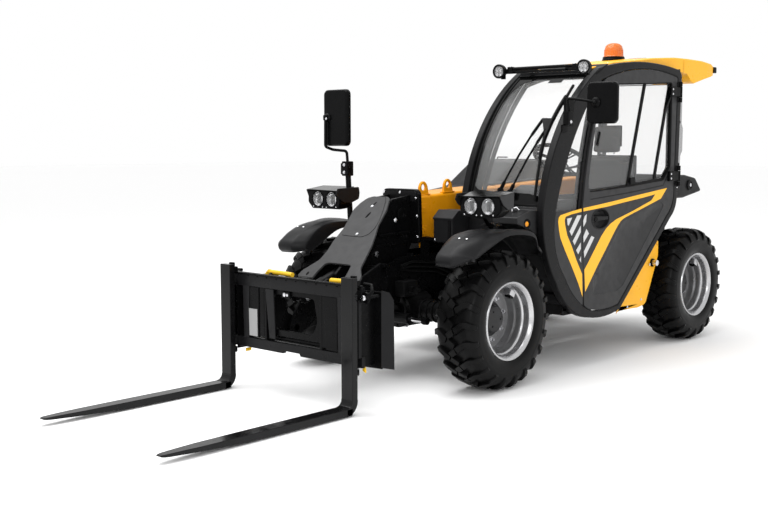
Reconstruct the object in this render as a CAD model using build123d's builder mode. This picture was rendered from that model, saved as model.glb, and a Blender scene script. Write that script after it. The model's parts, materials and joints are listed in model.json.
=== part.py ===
from build123d import *
import os
from math import atan2, cos, degrees, hypot, radians, sin

os.makedirs("parts", exist_ok=True)

# Compact telescopic handler with a side cab, a boom along the middle and a
# pallet fork frame on a quick coupler.  Millimetres, +Z up.
# Machine axes used while modelling: X = 0 on the centre plane with +X to the
# machine's left (the cab side), -Y forwards, Y = 0 midway between the axles,
# Z = 0 on the ground.  Each finished piece is moved once by TO_ROW, which puts
# the origin under the middle of the whole machine's outline.

# ---------------------------------------------------------------- dimensions
WHEELBASE = 2130.0
FRONT_AXLE_Y = -WHEELBASE / 2
REAR_AXLE_Y = WHEELBASE / 2
TYRE_R = 380.0
TYRE_HALF_W = 130.0
WHEEL_X = 615.0
HUB_Z = TYRE_R
BEAD_R = 200.0
KINGPIN_X = 455.0
SPINDLE_R = 40.0
HUB_BORE_R = 40.05

FORK_TIP_Y = -3170.0
REAR_END_Y = 1500.0
MIRROR_REACH_X = 1030.0
TYRE_OUTER_X = WHEEL_X + TYRE_HALF_W

# the boom's box runs nose-down towards the front by BOOM_PITCH
BOOM_PITCH = 2.5
BOOM_X = -115.0
BOOM_W = 250.0
BOOM_H = 270.0
BOOM_WALL = 8.0
BOOM_PIVOT = (1130.0, 991.0)          # Y, Z
BOOM_FRONT_U = 2125.0                 # pivot to the front end of the outer box
BOOM_REAR_U = -85.0
HEAD_GAP = 8.0
INNER_GAP = 6.0
CARRIAGE_PIVOT = (-1790.0, 335.0)     # Y, Z of the coupler's pins
TILT_ROD_PIN = (-1850.0, 520.0)
TILT_BASE_PIN = (-1330.0, 715.0)
TILT_X = -75.0
LIFT_BASE_PIN = (850.0, 430.0)
LIFT_ROD_PIN = (0.0, 745.0)

FORK_X = 466.6
FORK_W = 80.0
FORK_T = 36.0
FORK_FACE_Y = -2052.0
FORK_BOTTOM_Z = 6.0
FORK_TOP_Z = 683.0

CAB_LEFT_X = 700.0
CAB_RIGHT_X = 100.0
CAB_RAIL = 45.0                       # width of the side rings across the cab
CAB_MID_X = (CAB_LEFT_X + CAB_RIGHT_X) / 2
DOOR_T = 42.0
DOOR_HINGE = (712.0, 822.0)           # X, Y
SEAT_X = 388.0
CONSOLE_X = 172.0
STEER_C = (375.0, -60.0, 1236.0)
STEER_RAKE = 32.0                     # steering wheel plane, from level

FRAME_X0, FRAME_X1 = -267.0, 37.0     # outsides of the two frame plates
FRAME_PLATE = 15.0
TOW_PIN_Y, TOW_PIN_R = 1415.0, 16.0
HOOD_HINGE = (865.0, 938.0)           # Y, Z

TO_ROW = Location((-(MIRROR_REACH_X - TYRE_OUTER_X) / 2,
                   -(FORK_TIP_Y + REAR_END_Y) / 2, 0))


# ------------------------------------------------------------- small helpers
def side(points, x0, x1, mode=Mode.ADD):
    """Extrude a (Y, Z) polygon from X = x0 to X = x1."""
    with BuildSketch(Plane.YZ.offset(x0)) as face:
        with BuildLine():
            Polyline(*points, close=True)
        make_face()
    extrude(face.sketch, amount=x1 - x0, mode=mode)


def front(points, y0, y1, mode=Mode.ADD):
    """Extrude an (X, Z) polygon from Y = y0 forwards to Y = y1 (y1 < y0)."""
    with BuildSketch(Plane.XZ.offset(-y0)) as face:
        with BuildLine():
            Polyline(*points, close=True)
        make_face()
    extrude(face.sketch, amount=y0 - y1, mode=mode)


def flat(points, z0, z1, mode=Mode.ADD):
    """Extrude an (X, Y) polygon from Z = z0 to Z = z1."""
    with BuildSketch(Plane.XY.offset(z0)) as face:
        with BuildLine():
            Polyline(*points, close=True)
        make_face()
    extrude(face.sketch, amount=z1 - z0, mode=mode)


def block(x0, x1, y0, y1, z0, z1, mode=Mode.ADD):
    """A box between two corners."""
    with Locations(((x0 + x1) / 2, (y0 + y1) / 2, (z0 + z1) / 2)):
        Box(x1 - x0, y1 - y0, z1 - z0, mode=mode)


def bar(start, end, radius, mode=Mode.ADD):
    """A round bar between two points."""
    run = Vector(*end) - Vector(*start)
    with BuildSketch(Plane(origin=start, z_dir=run)) as face:
        Circle(radius)
    extrude(face.sketch, amount=run.length, mode=mode)


def ring_profile(plane, points, close=True):
    with BuildSketch(plane) as face:
        with BuildLine():
            Polyline(*points, close=close)
        make_face()
    return face.sketch


def bent_tube(points, radius, bends):
    """A tube along straight runs joined by arcs."""
    with BuildLine() as path:
        FilletPolyline(*points, radius=bends)
    start = path.line @ 0
    with BuildSketch(Plane(origin=start, z_dir=path.line % 0)) as face:
        Circle(radius)
    sweep(face.sketch, path=path.line)


def in_boom(u, v):
    """(Y, Z) of a point u ahead of the boom pivot and v above its axis."""
    a = radians(BOOM_PITCH)
    return (BOOM_PIVOT[0] - u * cos(a) - v * sin(a),
            BOOM_PIVOT[1] - u * sin(a) + v * cos(a))


def between(a, b, t):
    return (a[0] + (b[0] - a[0]) * t, a[1] + (b[1] - a[1]) * t)


def at(x, yz):
    return (x, yz[0], yz[1])


pieces = {}

# ------------------------------------------------------------------- chassis
# Two upright plates carry the boom between them.  Their lower edges arch over
# both axle beams, and at the rear they rise into the boom's tower.
frame_outline = [
    (-1330, 430), (-1330, 640), (-1180, 690), (900, 690), (1000, 1050),
    (1060, 1100), (1200, 1100), (1270, 1040), (1290, 800), (1290, 430),
    (1190, 430), (1170, 495), (925, 495), (905, 340), (-905, 340),
    (-925, 495), (-1170, 495), (-1190, 430)]
with BuildPart() as main_frame:
    for x0 in (FRAME_X0, FRAME_X1 - FRAME_PLATE):
        side(frame_outline, x0, x0 + FRAME_PLATE)
    inner0, inner1 = FRAME_X0 + FRAME_PLATE, FRAME_X1 - FRAME_PLATE
    block(inner0, inner1, -1330, -1315, 430, 480)
    block(inner0, inner1, 1275, 1290, 430, 800)
    block(inner0, inner1, -895, -880, 340, 560)
    block(inner0, inner1, -880, 690, 340, 350)
    # bosses of the boom pin and of the lift cylinder's base pin
    for x0, x1 in ((inner0, -246), (16, inner1)):
        bar((x0, *BOOM_PIVOT), (x1, *BOOM_PIVOT), 62)
    bar((FRAME_X0 - 6, *BOOM_PIVOT), (FRAME_X1 + 6, *BOOM_PIVOT), 30)
    bar((inner0, *LIFT_BASE_PIN), (inner1, *LIFT_BASE_PIN), 22)
    # rubber-mount blocks that carry the cab and the engine bay
    for y0, z0, z1 in ((-520, 420, 500), (0, 420, 500), (560, 560, 660)):
        block(FRAME_X1, CAB_RIGHT_X, y0, y0 + 80, z0, z1)
        block(-283, FRAME_X0, y0, y0 + 80, z0, z1)
    # outriggers of the front fenders, headlamps and cowl
    for s, x0 in ((1, FRAME_X1), (-1, FRAME_X0)):
        block(min(x0, s * 470), max(x0, s * 470), -1000, -960, 776, 796)
        block(min(x0, x0 + s * 20), max(x0, x0 + s * 20), -1010, -950, 640, 796)
pieces["main_frame"] = main_frame

with BuildPart() as rear_counterweight:
    side([(1290, 330), (REAR_END_Y - 60, 330), (REAR_END_Y, 400),
          (REAR_END_Y, 760), (1290, 760)], -255, 255)
    side([(1290, 785), (REAR_END_Y - 10, 785), (REAR_END_Y - 10, 900),
          (REAR_END_Y - 60, 955), (1290, 955)], -300, 300)
    block(-255, 255, 1290, REAR_END_Y - 20, 760, 785)
    # tow jaw with its pin hole
    block(-60, 60, TOW_PIN_Y - 50, REAR_END_Y, 470, 560, mode=Mode.SUBTRACT)
    bar((0, TOW_PIN_Y, 320), (0, TOW_PIN_Y, 640), TOW_PIN_R, mode=Mode.SUBTRACT)
pieces["rear_counterweight"] = rear_counterweight

# ----------------------------------------------------- axles, knuckles, wheels
#            name          axle Y        side of the steering cylinder
AXLES = (("front_axle", FRONT_AXLE_Y, 1),
         ("rear_axle", REAR_AXLE_Y, -1))
for axle_name, axle_y, toward in AXLES:
    with BuildPart() as axle:
        bar((-395, axle_y, HUB_Z), (395, axle_y, HUB_Z), 55)
        bar((0, axle_y - 105, HUB_Z), (0, axle_y + 105, HUB_Z), 102)
        bar((0, axle_y + toward * 105, HUB_Z),
            (0, axle_y + toward * 118, HUB_Z), 45)
        for s in (1, -1):
            block(min(s * 385, s * 402), max(s * 385, s * 402),
                  axle_y - 40, axle_y + 40, 258, 502)
            for z0, z1 in ((258, 290), (470, 502)):
                block(min(s * 385, s * 455), max(s * 385, s * 455),
                      axle_y - 50, axle_y + 50, z0, z1)
                bar((s * KINGPIN_X, axle_y, z0), (s * KINGPIN_X, axle_y, z1), 50)
            bar((s * KINGPIN_X, axle_y, 270), (s * KINGPIN_X, axle_y, 300), 18)
            bar((s * KINGPIN_X, axle_y, 460), (s * KINGPIN_X, axle_y, 490), 18)
        # pads under the frame plates
        block(FRAME_X1 - FRAME_PLATE, FRAME_X1, axle_y - 60, axle_y + 60, HUB_Z, 495)
        block(FRAME_X0, FRAME_X0 + FRAME_PLATE, axle_y - 60, axle_y + 60, HUB_Z, 495)
        # steering cylinder along the beam, with its two rod ends
        cy = axle_y - toward * 165
        for s in (1, -1):
            block(min(s * 70, s * 100), max(s * 70, s * 100),
                  min(cy, axle_y), max(cy, axle_y), 340, 360)
        bar((-150, cy, 350), (150, cy, 350), 30)
        bar((-270, cy, 350), (270, cy, 350), 14)
    pieces[axle_name] = axle

#           name          side  axle Y        arm points
CORNERS = (("front_left", 1, FRONT_AXLE_Y, -1),
           ("front_right", -1, FRONT_AXLE_Y, -1),
           ("rear_left", 1, REAR_AXLE_Y, 1),
           ("rear_right", -1, REAR_AXLE_Y, 1))
tyre_points = [(-88, BEAD_R), (-106, BEAD_R), (-106, 217), (-124, 236),
               (-130, 285), (-127, 330), (-112, 362), (-70, TYRE_R),
               (70, TYRE_R), (112, 362), (127, 330), (130, 285), (124, 236),
               (106, 217), (106, BEAD_R), (88, BEAD_R), (98, 225), (108, 285),
               (102, 325), (86, 338), (-86, 338), (-102, 325), (-108, 285),
               (-98, 225)]
# the dished disc sits inboard of the wheel's middle plane
rim_points = [(-118, 205), (-118, 213.5), (-106, 213.5), (-106, BEAD_R),
              (-84, BEAD_R), (-62, 182), (30, 182), (56, BEAD_R), (106, BEAD_R),
              (106, 213.5), (122, 213.5), (122, 205), (110, 191), (60, 191),
              (34, 174), (-26, 174), (-26, 72), (18, 72), (18, 0), (-2, 0),
              (-2, HUB_BORE_R), (-62, HUB_BORE_R), (-62, 74), (-38, 74),
              (-38, 174), (-64, 174), (-86, 191), (-110, 191)]
for corner, s, axle_y, back in CORNERS:
    wheel_plane = Plane(origin=(s * WHEEL_X, axle_y, HUB_Z),
                        x_dir=(s, 0, 0), z_dir=(0, -s, 0))
    wheel_axis = Axis((s * WHEEL_X, axle_y, HUB_Z), (1, 0, 0))
    with BuildPart() as tyre:
        revolve(ring_profile(wheel_plane, tyre_points), axis=wheel_axis)
    pieces[corner + "_tyre"] = tyre
    with BuildPart() as rim:
        revolve(ring_profile(wheel_plane, rim_points), axis=wheel_axis)
        # wheel bolt holes round the disc
        with Locations(wheel_plane.location):
            with Locations(Rotation(0, 90, 0)):
                with PolarLocations(115, 8):
                    Cylinder(9, 200, mode=Mode.SUBTRACT)
    pieces[corner + "_rim"] = rim
    # swivel barrel, spindle, flange and steering arm
    with BuildPart() as knuckle:
        bar((s * KINGPIN_X, axle_y, 295), (s * KINGPIN_X, axle_y, 465), 42)
        bar((s * KINGPIN_X, axle_y, 290), (s * KINGPIN_X, axle_y, 470), 18.05,
            mode=Mode.SUBTRACT)
        bar((s * (KINGPIN_X + 20), axle_y, HUB_Z),
            (s * (WHEEL_X - 12), axle_y, HUB_Z), SPINDLE_R)
        bar((s * (KINGPIN_X + 30), axle_y, HUB_Z),
            (s * (WHEEL_X - 76), axle_y, HUB_Z), 66)
        kx, ky = s * KINGPIN_X, axle_y
        flat([(kx - s * 5, ky + back * 30), (kx + s * 30, ky + back * 30),
              (kx + s * 14, ky + back * 100), (kx - s * 30, ky + back * 165),
              (kx - s * 70, ky + back * 165), (kx - s * 24, ky + back * 100)],
             330, 352)
        bar((s * KINGPIN_X, axle_y, 290), (s * KINGPIN_X, axle_y, 470), 18.05,
            mode=Mode.SUBTRACT)
    pieces[corner + "_knuckle"] = knuckle

# ------------------------------------------------------------------- fenders
# Thin shells over the front wheels: a crown, a deep nose in front and a
# shallower skirt on the outer side.  Each is one lofted hood less its inside.
#                Y      crown Z  skirt Z   (front to rear)
FENDER_ROWS = ((-1508, 745, 712),
               (-1480, 800, 708),
               (-1420, 852, 714),
               (-1290, 885, 750),
               (-1150, 886, 806),
               (-1000, 872, 824),
               (-860, 851, 800),
               (-740, 808, 748),
               (-650, 745, 700))
FENDER_IN, FENDER_OUT, FENDER_T = 505.0, 728.0, 7.0


def fender_solid(t):
    """The fender's outside (t = 0) or its inside, t further in."""
    last = len(FENDER_ROWS) - 1
    ends = [t if i == 0 else -t if i == last else 0 for i in range(last + 1)]
    top = [(y + e, z - t) for e, (y, z, _) in zip(ends, FENDER_ROWS)]
    low = [(y + e, zs - (30 if t else 0)) for e, (y, _, zs) in zip(ends, FENDER_ROWS)]
    with BuildPart() as shape:
        side(top + low[::-1], FENDER_IN - (1 if t else 0), FENDER_OUT - t)
        # the nose is rounded in plan on both sides
        flat([(500, -1395 + t), (505, -1395 + t), (572, -1500 + t), (572, -1600),
              (500, -1600)], 600, 950, mode=Mode.SUBTRACT)
        flat([(729, -1420 + t), (727 - t, -1420 + t), (680, -1500 + t), (680, -1600),
              (729, -1600)], 600, 950, mode=Mode.SUBTRACT)
        # ends ahead of the cab's left pillar
        flat([(648 - t, -716 - t), (760, -716 - t), (760, -600), (648 - t, -600)],
             600, 950, mode=Mode.SUBTRACT)
    return shape.part


fender_out, fender_in = fender_solid(0), fender_solid(FENDER_T)
with BuildPart() as front_fenders:
    add(fender_out)
    add(fender_in, mode=Mode.SUBTRACT)
    # bracket down to the outrigger
    block(FENDER_IN - 35, FENDER_IN, -1000, -960, 776, 850)
    block(FENDER_IN - 35, FENDER_IN + 120, -1000, -960, 840, 860)
    mirror(about=Plane.YZ)
pieces["front_fenders"] = front_fenders

# ------------------------------------------------------------------ cowl, lamps
with BuildPart() as front_cowl:
    # raised housing beside the boom, then the long shelf under the windscreen
    side([(-1004, 766), (-1004, 916), (-950, 958), (-850, 958), (-850, 766)], 128, 274)
    side([(-850, 800), (-850, 925), (-727, 935), (-727, 800)], 60, 150)
    side([(-850, 800), (-850, 925), (-672, 940), (-672, 800)], 150, 480)
    side([(-888, 886), (-888, 930), (-760, 962), (-672, 962), (-672, 800),
          (-700, 822), (-760, 852)], 470, 644)
    add(main_frame.part, mode=Mode.SUBTRACT)
    add(front_fenders.part, mode=Mode.SUBTRACT)
pieces["front_cowl"] = front_cowl

LAMP_X0, LAMP_X1 = 462.0, 732.0
with BuildPart() as headlamps:
    for s in (1, -1):
        x0, x1 = sorted((s * LAMP_X0, s * LAMP_X1))
        side([(-1170, 938), (-1190, 1010), (-1185, 1068), (-1085, 1078),
              (-1035, 1045), (-1045, 965), (-1080, 938)], x0, x1)
        for cx in (s * 537, s * 654):
            bar((cx, -1150, 1002), (cx, -1230, 1002), 44, mode=Mode.SUBTRACT)
    # stalk of the left pair; the right pair hangs on the mirror's post
    bar((560, -1080, 945), (560, -1015, 876), 14)
    add(front_fenders.part, mode=Mode.SUBTRACT)
pieces["headlamps"] = headlamps

# ------------------------------------------------------------------------ cab
R1, R2, R3 = (800, 1824), (330, 1846), (-150, 1785)
F1, F2, F3, F4 = (-548, 1415), (-722, 975), (-700, 765), (-590, 545)
F5, B1, B2, B3 = (-437, 374), (-218, 296), (-60, 284), (127, 311)
S1, S2, S3, S4 = (750, 851), (806, 905), (832, 975), (862, 1765)


def cab_outline():
    with BuildLine() as outline:
        ThreePointArc(R1, R2, R3)
        ThreePointArc(R3, F1, F2)
        ThreePointArc(F2, F3, F4)
        ThreePointArc(F4, F5, B1)
        ThreePointArc(B1, B2, B3)
        Line(B3, S1)
        ThreePointArc(S1, S2, S3)
        Line(S3, S4)
        ThreePointArc(S4, (846, 1808), R1)
    return outline.line


# inside edge of the side rings
IR1, IR2, IR3 = (790, 1776), (330, 1804), (-128, 1716)
IF1, IF2, IF3, IF4 = (-430, 1345), (-585, 985), (-606, 790), (-494, 562)
IF5, IB1, IB2, IB3 = (-380, 432), (-220, 340), (-60, 326), (100, 342)
IS1, IS2, IS3, IS4 = (702, 872), (756, 925), (782, 990), (806, 1762)


def cab_inside():
    with BuildLine() as outline:
        ThreePointArc(IR1, IR2, IR3)
        ThreePointArc(IR3, IF1, IF2)
        ThreePointArc(IF2, IF3, IF4)
        ThreePointArc(IF4, IF5, IB1)
        ThreePointArc(IB1, IB2, IB3)
        Line(IB3, IS1)
        ThreePointArc(IS1, IS2, IS3)
        Line(IS3, IS4)
        Line(IS4, IR1)
    return outline.line


def prism(outline, x0, x1, mode=Mode.ADD):
    with BuildSketch(Plane.YZ.offset(x0)) as face:
        with BuildLine():
            add(outline)
        make_face()
    extrude(face.sketch, amount=x1 - x0, mode=mode)


OUTLINE, INSIDE = cab_outline(), cab_inside()
# door seam: the door closes the rear part of the left ring
seam = [(-104, 1712), (-171, 1606), (-221, 1441), (-262, 1300), (-298, 1124),
        (-323, 949), (-318, 772), (-298, 532), (-290, 378)]

with BuildPart() as cab_frame:
    for x0, x1 in ((CAB_LEFT_X - CAB_RAIL, CAB_LEFT_X),
                   (CAB_RIGHT_X, CAB_RIGHT_X + CAB_RAIL)):
        prism(OUTLINE, x0, x1)
        prism(INSIDE, x0, x1, mode=Mode.SUBTRACT)
    # slim post ahead of the door
    side([(p[0] - 4, p[1]) for p in seam[::-1]] + [(p[0] - 32, p[1]) for p in seam],
         CAB_LEFT_X - CAB_RAIL, CAB_LEFT_X - 8)
    # cross tubes: header, rear header, rear foot, front foot
    in0, in1 = CAB_RIGHT_X + CAB_RAIL, CAB_LEFT_X - CAB_RAIL
    block(in0, in1, -190, -120, 1722, 1776)
    block(in0, in1, 780, 840, 1740, 1795)
    block(in0, in1, -490, -440, 400, 460)
pieces["cab_frame"] = cab_frame

with BuildPart() as cab_floor:
    flat([(in0, -440), (in1, -440), (in1, 120), (in0, 120)], 330, 345)
    side([(-452, 345), (-440, 330), (-440, 400), (-452, 400)], in0, in1)
    # seat box on the raised rear floor
    side([(120, 330), (720, 852), (720, 872), (100, 345)], in0, in1)
    side([(150, 380), (150, 740), (390, 740), (390, 585)], SEAT_X - 165, SEAT_X + 170)
    block(SEAT_X - 180, SEAT_X + 200, 0, 390, 740, 756)
pieces["cab_floor"] = cab_floor

with BuildPart() as cab_front_panel:
    side([(-640, 940), (-660, 940), (-648, 780), (-545, 560), (-470, 460),
          (-452, 460), (-526, 565), (-630, 784)], in0, in1)
pieces["cab_front_panel"] = cab_front_panel

with BuildPart() as cab_rear_panel:
    side([(720, 852), (745, 880), (790, 985), (806, 1130), (786, 1130),
          (770, 988), (728, 892), (706, 872)], in0, in1)
    add(cab_floor.part, mode=Mode.SUBTRACT)
pieces["cab_rear_panel"] = cab_rear_panel

# panel between the left pillar and the door, and the right wall below its glass
lower_front = [(-323, 949), (-318, 772), (-298, 532), (-290, 378)]
with BuildPart() as right_wall:
    prism(INSIDE, CAB_RIGHT_X + 8, CAB_RIGHT_X + 33)
    block(0, 200, -900, 900, 1000, 1900, mode=Mode.SUBTRACT)

with BuildPart() as cab_side_panels:
    prism(INSIDE, CAB_LEFT_X - CAB_RAIL, CAB_LEFT_X)
    block(600, 760, -900, 900, 945, 1900, mode=Mode.SUBTRACT)
    side([(-319, 960), (-322, 949), (-314, 772), (-294, 532), (-286, 200),
          (900, 200), (900, 960)], 600, 760, mode=Mode.SUBTRACT)
    add(right_wall.part)
    add(cab_frame.part, mode=Mode.SUBTRACT)
pieces["cab_side_panels"] = cab_side_panels

# right window and left quarter light
with BuildPart() as right_light:
    prism(INSIDE, CAB_RIGHT_X + 16, CAB_RIGHT_X + 22)
    block(0, 200, -900, 900, 200, 1000, mode=Mode.SUBTRACT)

with BuildPart() as quarter_light:
    prism(INSIDE, CAB_LEFT_X - 24, CAB_LEFT_X - 18)
    block(600, 760, -900, 900, 200, 946, mode=Mode.SUBTRACT)
    side([(p[0] - 32, p[1]) for p in seam[:6]] + [(-290, 900), (900, 900),
         (900, 1900), (-60, 1900)], 600, 760, mode=Mode.SUBTRACT)

with BuildPart() as cab_glass:
    # windscreen: a curved sheet between the front pillars
    with BuildSketch(Plane.YZ.offset(in0)) as face:
        with BuildLine():
            ThreePointArc((-195, 1740), (-528, 1400), (-690, 975))
            Line((-690, 975), (-684, 975))
            ThreePointArc((-684, 975), (-522, 1400), (-190, 1735))
            Line((-190, 1735), (-195, 1740))
        make_face()
    extrude(face.sketch, amount=in1 - in0)
    # rear window
    side([(806, 1135), (830, 1740), (824, 1740), (800, 1135)], in0, in1)
    add(right_light.part)
    add(quarter_light.part)
    add(cab_frame.part, mode=Mode.SUBTRACT)
    add(cab_side_panels.part, mode=Mode.SUBTRACT)
pieces["cab_glass"] = cab_glass

with BuildPart() as cab_roof:
    # roof skin between the rails, then a tail that reaches back
    side([(-150, 1790), (100, 1835), (448, 1870), (574, 1888), (865, 1908),
          (1263, 1906), (1430, 1886), (1464, 1835), (1440, 1815), (1270, 1778),
          (1126, 1745), (1037, 1808), (868, 1822), (500, 1800), (0, 1770),
          (-120, 1776)], CAB_RIGHT_X + CAB_RAIL, 645)
    block(60, 700, -400, 850, 1700, 1800, mode=Mode.SUBTRACT)
    block(100, 330, 990, 1600, 1700, 2000, mode=Mode.SUBTRACT)
    add(cab_frame.part, mode=Mode.SUBTRACT)
    add(cab_glass.part, mode=Mode.SUBTRACT)
pieces["cab_roof"] = cab_roof

with BuildPart() as beacon:
    bar((360, 560, 1884), (360, 560, 1916), 66)
    bar((360, 560, 1916), (360, 560, 1972), 56)
    with Locations((360, 560, 1972)):
        Sphere(56, arc_size1=0, arc_size2=90)
    block(200, 500, 400, 700, 2000, 2100, mode=Mode.SUBTRACT)
    add(cab_roof.part, mode=Mode.SUBTRACT)
pieces["beacon"] = beacon

with BuildPart() as work_lamps:
    block(150, 710, -372, -340, 1762, 1782)
    for cx in (130, 735):
        bar((cx, -395, 1776), (cx, -330, 1776), 42)
    for cx in (220, 600):
        side([(-372, 1765), (-340, 1782), (-130, 1800), (-130, 1776), (-190, 1776)],
             cx, cx + 20)
    add(cab_frame.part, mode=Mode.SUBTRACT)
pieces["work_lamps"] = work_lamps

# left mirror on its arm from the pillar, right mirror on a post by the fender
with BuildPart() as mirrors:
    block(838, MIRROR_REACH_X, -520, -480, 1447, 1680)
    bent_tube([(690, -470, 1600), (740, -505, 1600), (870, -505, 1575)], 9, 30)
    block(-672, -466, -1108, -1070, 1322, 1664)
    bar((-500, -1040, 796), (-528, -1040, 1235), 17)
    bent_tube([(-526, -1040, 1225), (-532, -1040, 1296), (-646, -1040, 1306),
               (-650, -1040, 1490)], 9, [30, 20])
    bar((-650, -1075, 1490), (-650, -1030, 1490), 20)
    block(-525, -465, -1060, -960, 776, 800)
    # arm from the post to the right headlamps
    block(-530, -480, -1050, -1030, 985, 1035)
    add(headlamps.part, mode=Mode.SUBTRACT)
    add(cab_frame.part, mode=Mode.SUBTRACT)
    add(main_frame.part, mode=Mode.SUBTRACT)
    add(front_fenders.part, mode=Mode.SUBTRACT)
pieces["mirrors"] = mirrors

# door: hinged at its rear edge, a whole shell with its window cut
DOOR_GAP = 5.0
with BuildPart() as door:
    with BuildSketch(Plane.YZ.offset(CAB_LEFT_X - DOOR_T)) as face:
        with BuildLine():
            add(INSIDE)
        make_face()
        offset(amount=-DOOR_GAP)
    extrude(face.sketch, amount=DOOR_T)
    side([(-60, 1900), (-99, 1712), (-166, 1606), (-216, 1441), (-257, 1300),
          (-293, 1124), (-318, 949), (-313, 772), (-293, 532), (-285, 200),
          (-900, 200), (-900, 1900)], 600, 760, mode=Mode.SUBTRACT)
    window = [(-238, 1046), (-258, 1110), (-190, 1441), (-145, 1600),
              (-85, 1668), (60, 1700), (735, 1735), (735, 1179), (648, 1096),
              (218, 1069)]
    side(window, 600, 760, mode=Mode.SUBTRACT)
    # handle bowl
    bar((CAB_LEFT_X - 14, -138, 890), (CAB_LEFT_X + 1, -138, 890), 46,
        mode=Mode.SUBTRACT)
    # hinge leaves at the rear edge
    for z in (1090, 1640):
        block(CAB_LEFT_X, 718, 690, 760, z, z + 70)
        block(706, 718, 690, 822, z, z + 70)
        bar((*DOOR_HINGE, z), (*DOOR_HINGE, z + 70), 11)
pieces["door"] = door

with BuildPart() as door_glass:
    side(window, CAB_LEFT_X - 24, CAB_LEFT_X - 18)
pieces["door_glass"] = door_glass

# hinge posts on the cab frame, above and below each leaf
with BuildPart() as door_hinges:
    for z in (1090, 1640):
        for z0, z1 in ((z - 32, z - 1), (z + 71, z + 102)):
            bar((*DOOR_HINGE, z0), (*DOOR_HINGE, z1), 11)
            block(CAB_LEFT_X, 708, 815, 850, z0, z1)
    add(cab_frame.part, mode=Mode.SUBTRACT)
pieces["door_hinges"] = door_hinges

# ------------------------------------------------------------------ cab inside
steer_n = (0, sin(radians(STEER_RAKE)), cos(radians(STEER_RAKE)))


def on_column(t):
    """A point t down the steering column from the wheel's middle."""
    return tuple(c - t * n for c, n in zip(STEER_C, steer_n))


with BuildPart() as dashboard:
    side([(-640, 940), (-480, 1010), (-330, 1010), (-300, 960), (-440, 900),
          (-500, 800), (-560, 760), (-620, 790)], 155, 645)
    # steering column
    bar(on_column(330), on_column(18), 34)
    block(SEAT_X - 55, SEAT_X + 55, -345, -215, 345, 975)
    # right-hand console with the boom lever
    side([(-60, 345), (-40, 900), (380, 900), (400, 600), (160, 400), (100, 345)],
         CONSOLE_X - 25, CONSOLE_X + 25)
    bar((CONSOLE_X, 40, 895), (CONSOLE_X, 10, 1010), 12)
    with Locations((CONSOLE_X, 6, 1025)):
        Sphere(24)
    add(cab_front_panel.part, mode=Mode.SUBTRACT)
    add(cab_glass.part, mode=Mode.SUBTRACT)
    add(cab_floor.part, mode=Mode.SUBTRACT)
pieces["dashboard"] = dashboard

steer_plane = Plane(origin=STEER_C, x_dir=(1, 0, 0), z_dir=steer_n)
with BuildPart() as steering_wheel:
    with BuildSketch(Plane(origin=STEER_C, x_dir=(1, 0, 0), z_dir=(
            0, cos(radians(STEER_RAKE)), -sin(radians(STEER_RAKE))))) as face:
        with Locations((175, 0)):
            Circle(14)
    revolve(face.sketch, axis=Axis(STEER_C, steer_n))
    with Locations(steer_plane.location):
        Cylinder(40, 26)
        with PolarLocations(100, 3, start_angle=90):
            Box(150, 26, 12)
pieces["steering_wheel"] = steering_wheel

with BuildPart() as seat_cushion:
    block(SEAT_X - 180, SEAT_X + 220, -20, 400, 757, 850)
    fillet(seat_cushion.edges(), 25)
pieces["seat_cushion"] = seat_cushion

with BuildPart() as seat_backrest:
    side([(400, 860), (340, 870), (410, 1290), (480, 1290), (500, 860)],
         SEAT_X - 180, SEAT_X + 215)
    fillet(seat_backrest.edges().filter_by(Axis.X), 15)
    side([(420, 1290), (425, 1465), (490, 1465), (478, 1290)], SEAT_X - 110, SEAT_X + 110)
pieces["seat_backrest"] = seat_backrest

# ---------------------------------------------------------------- rear and side
with BuildPart() as rear_cover:
    side([(885, 965), (885, 1120), (1139, 1123), (1288, 1099), (1383, 1005),
          (1119, 965)], 60, 600)
    block(43, 60, 1000, 1200, 980, 1080)
pieces["rear_cover"] = rear_cover

# yellow tank panel below and behind the door
with BuildPart() as lower_side_panel:
    side([(110, 280), (440, 277), (540, 300), (690, 600), (690, 700),
          (610, 700), (165, 300)], 590, 650)
    block(95, 650, 170, 430, 277, 300)
    add(cab_frame.part, mode=Mode.SUBTRACT)
    add(cab_floor.part, mode=Mode.SUBTRACT)
pieces["lower_side_panel"] = lower_side_panel

# ------------------------------------------------------------- engine and hood
with BuildPart() as engine_bay:
    side([(-560, 330), (-560, 925), (100, 925), (500, 925), (850, 925),
          (850, 880), (640, 700), (560, 330)], -700, -283)
    side([(-552, 338), (-552, 940), (842, 940), (842, 888), (632, 704),
          (553, 338)], -692, -291, mode=Mode.SUBTRACT)
    # hinge lugs of the hood
    for x0 in (-664, -579, -464, -379):
        block(x0, x0 + 43, 850, 872, 890, 920)
        block(x0, x0 + 43, 857, 872, 920, 938)
        bar((x0, *HOOD_HINGE), (x0 + 43, *HOOD_HINGE), 9)
    # brackets that hold the engine up off the bay's floor
    for y0 in (-300, 200):
        block(-600, -380, y0, y0 + 60, 338, 420)
pieces["engine_bay"] = engine_bay

with BuildPart() as engine_block:
    block(-640, -340, -340, 330, 420, 850)
pieces["engine_block"] = engine_block

with BuildPart() as engine_hood:
    side([(-560, 930), (-560, 960), (-300, 1000), (100, 1045), (360, 1205),
          (450, 1222), (800, 1222), (850, 1190), (850, 930)], -700, -300)
    side([(-552, 929), (-552, 953), (-300, 992), (103, 1037), (364, 1197),
          (452, 1214), (796, 1214), (842, 1186), (842, 929)], -692, -308,
         mode=Mode.SUBTRACT)
    for x0 in (-620, -420):
        bar((x0, *HOOD_HINGE), (x0 + 40, *HOOD_HINGE), 9)
        block(x0, x0 + 40, 849, 865, 932, 947)
pieces["engine_hood"] = engine_hood

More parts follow.
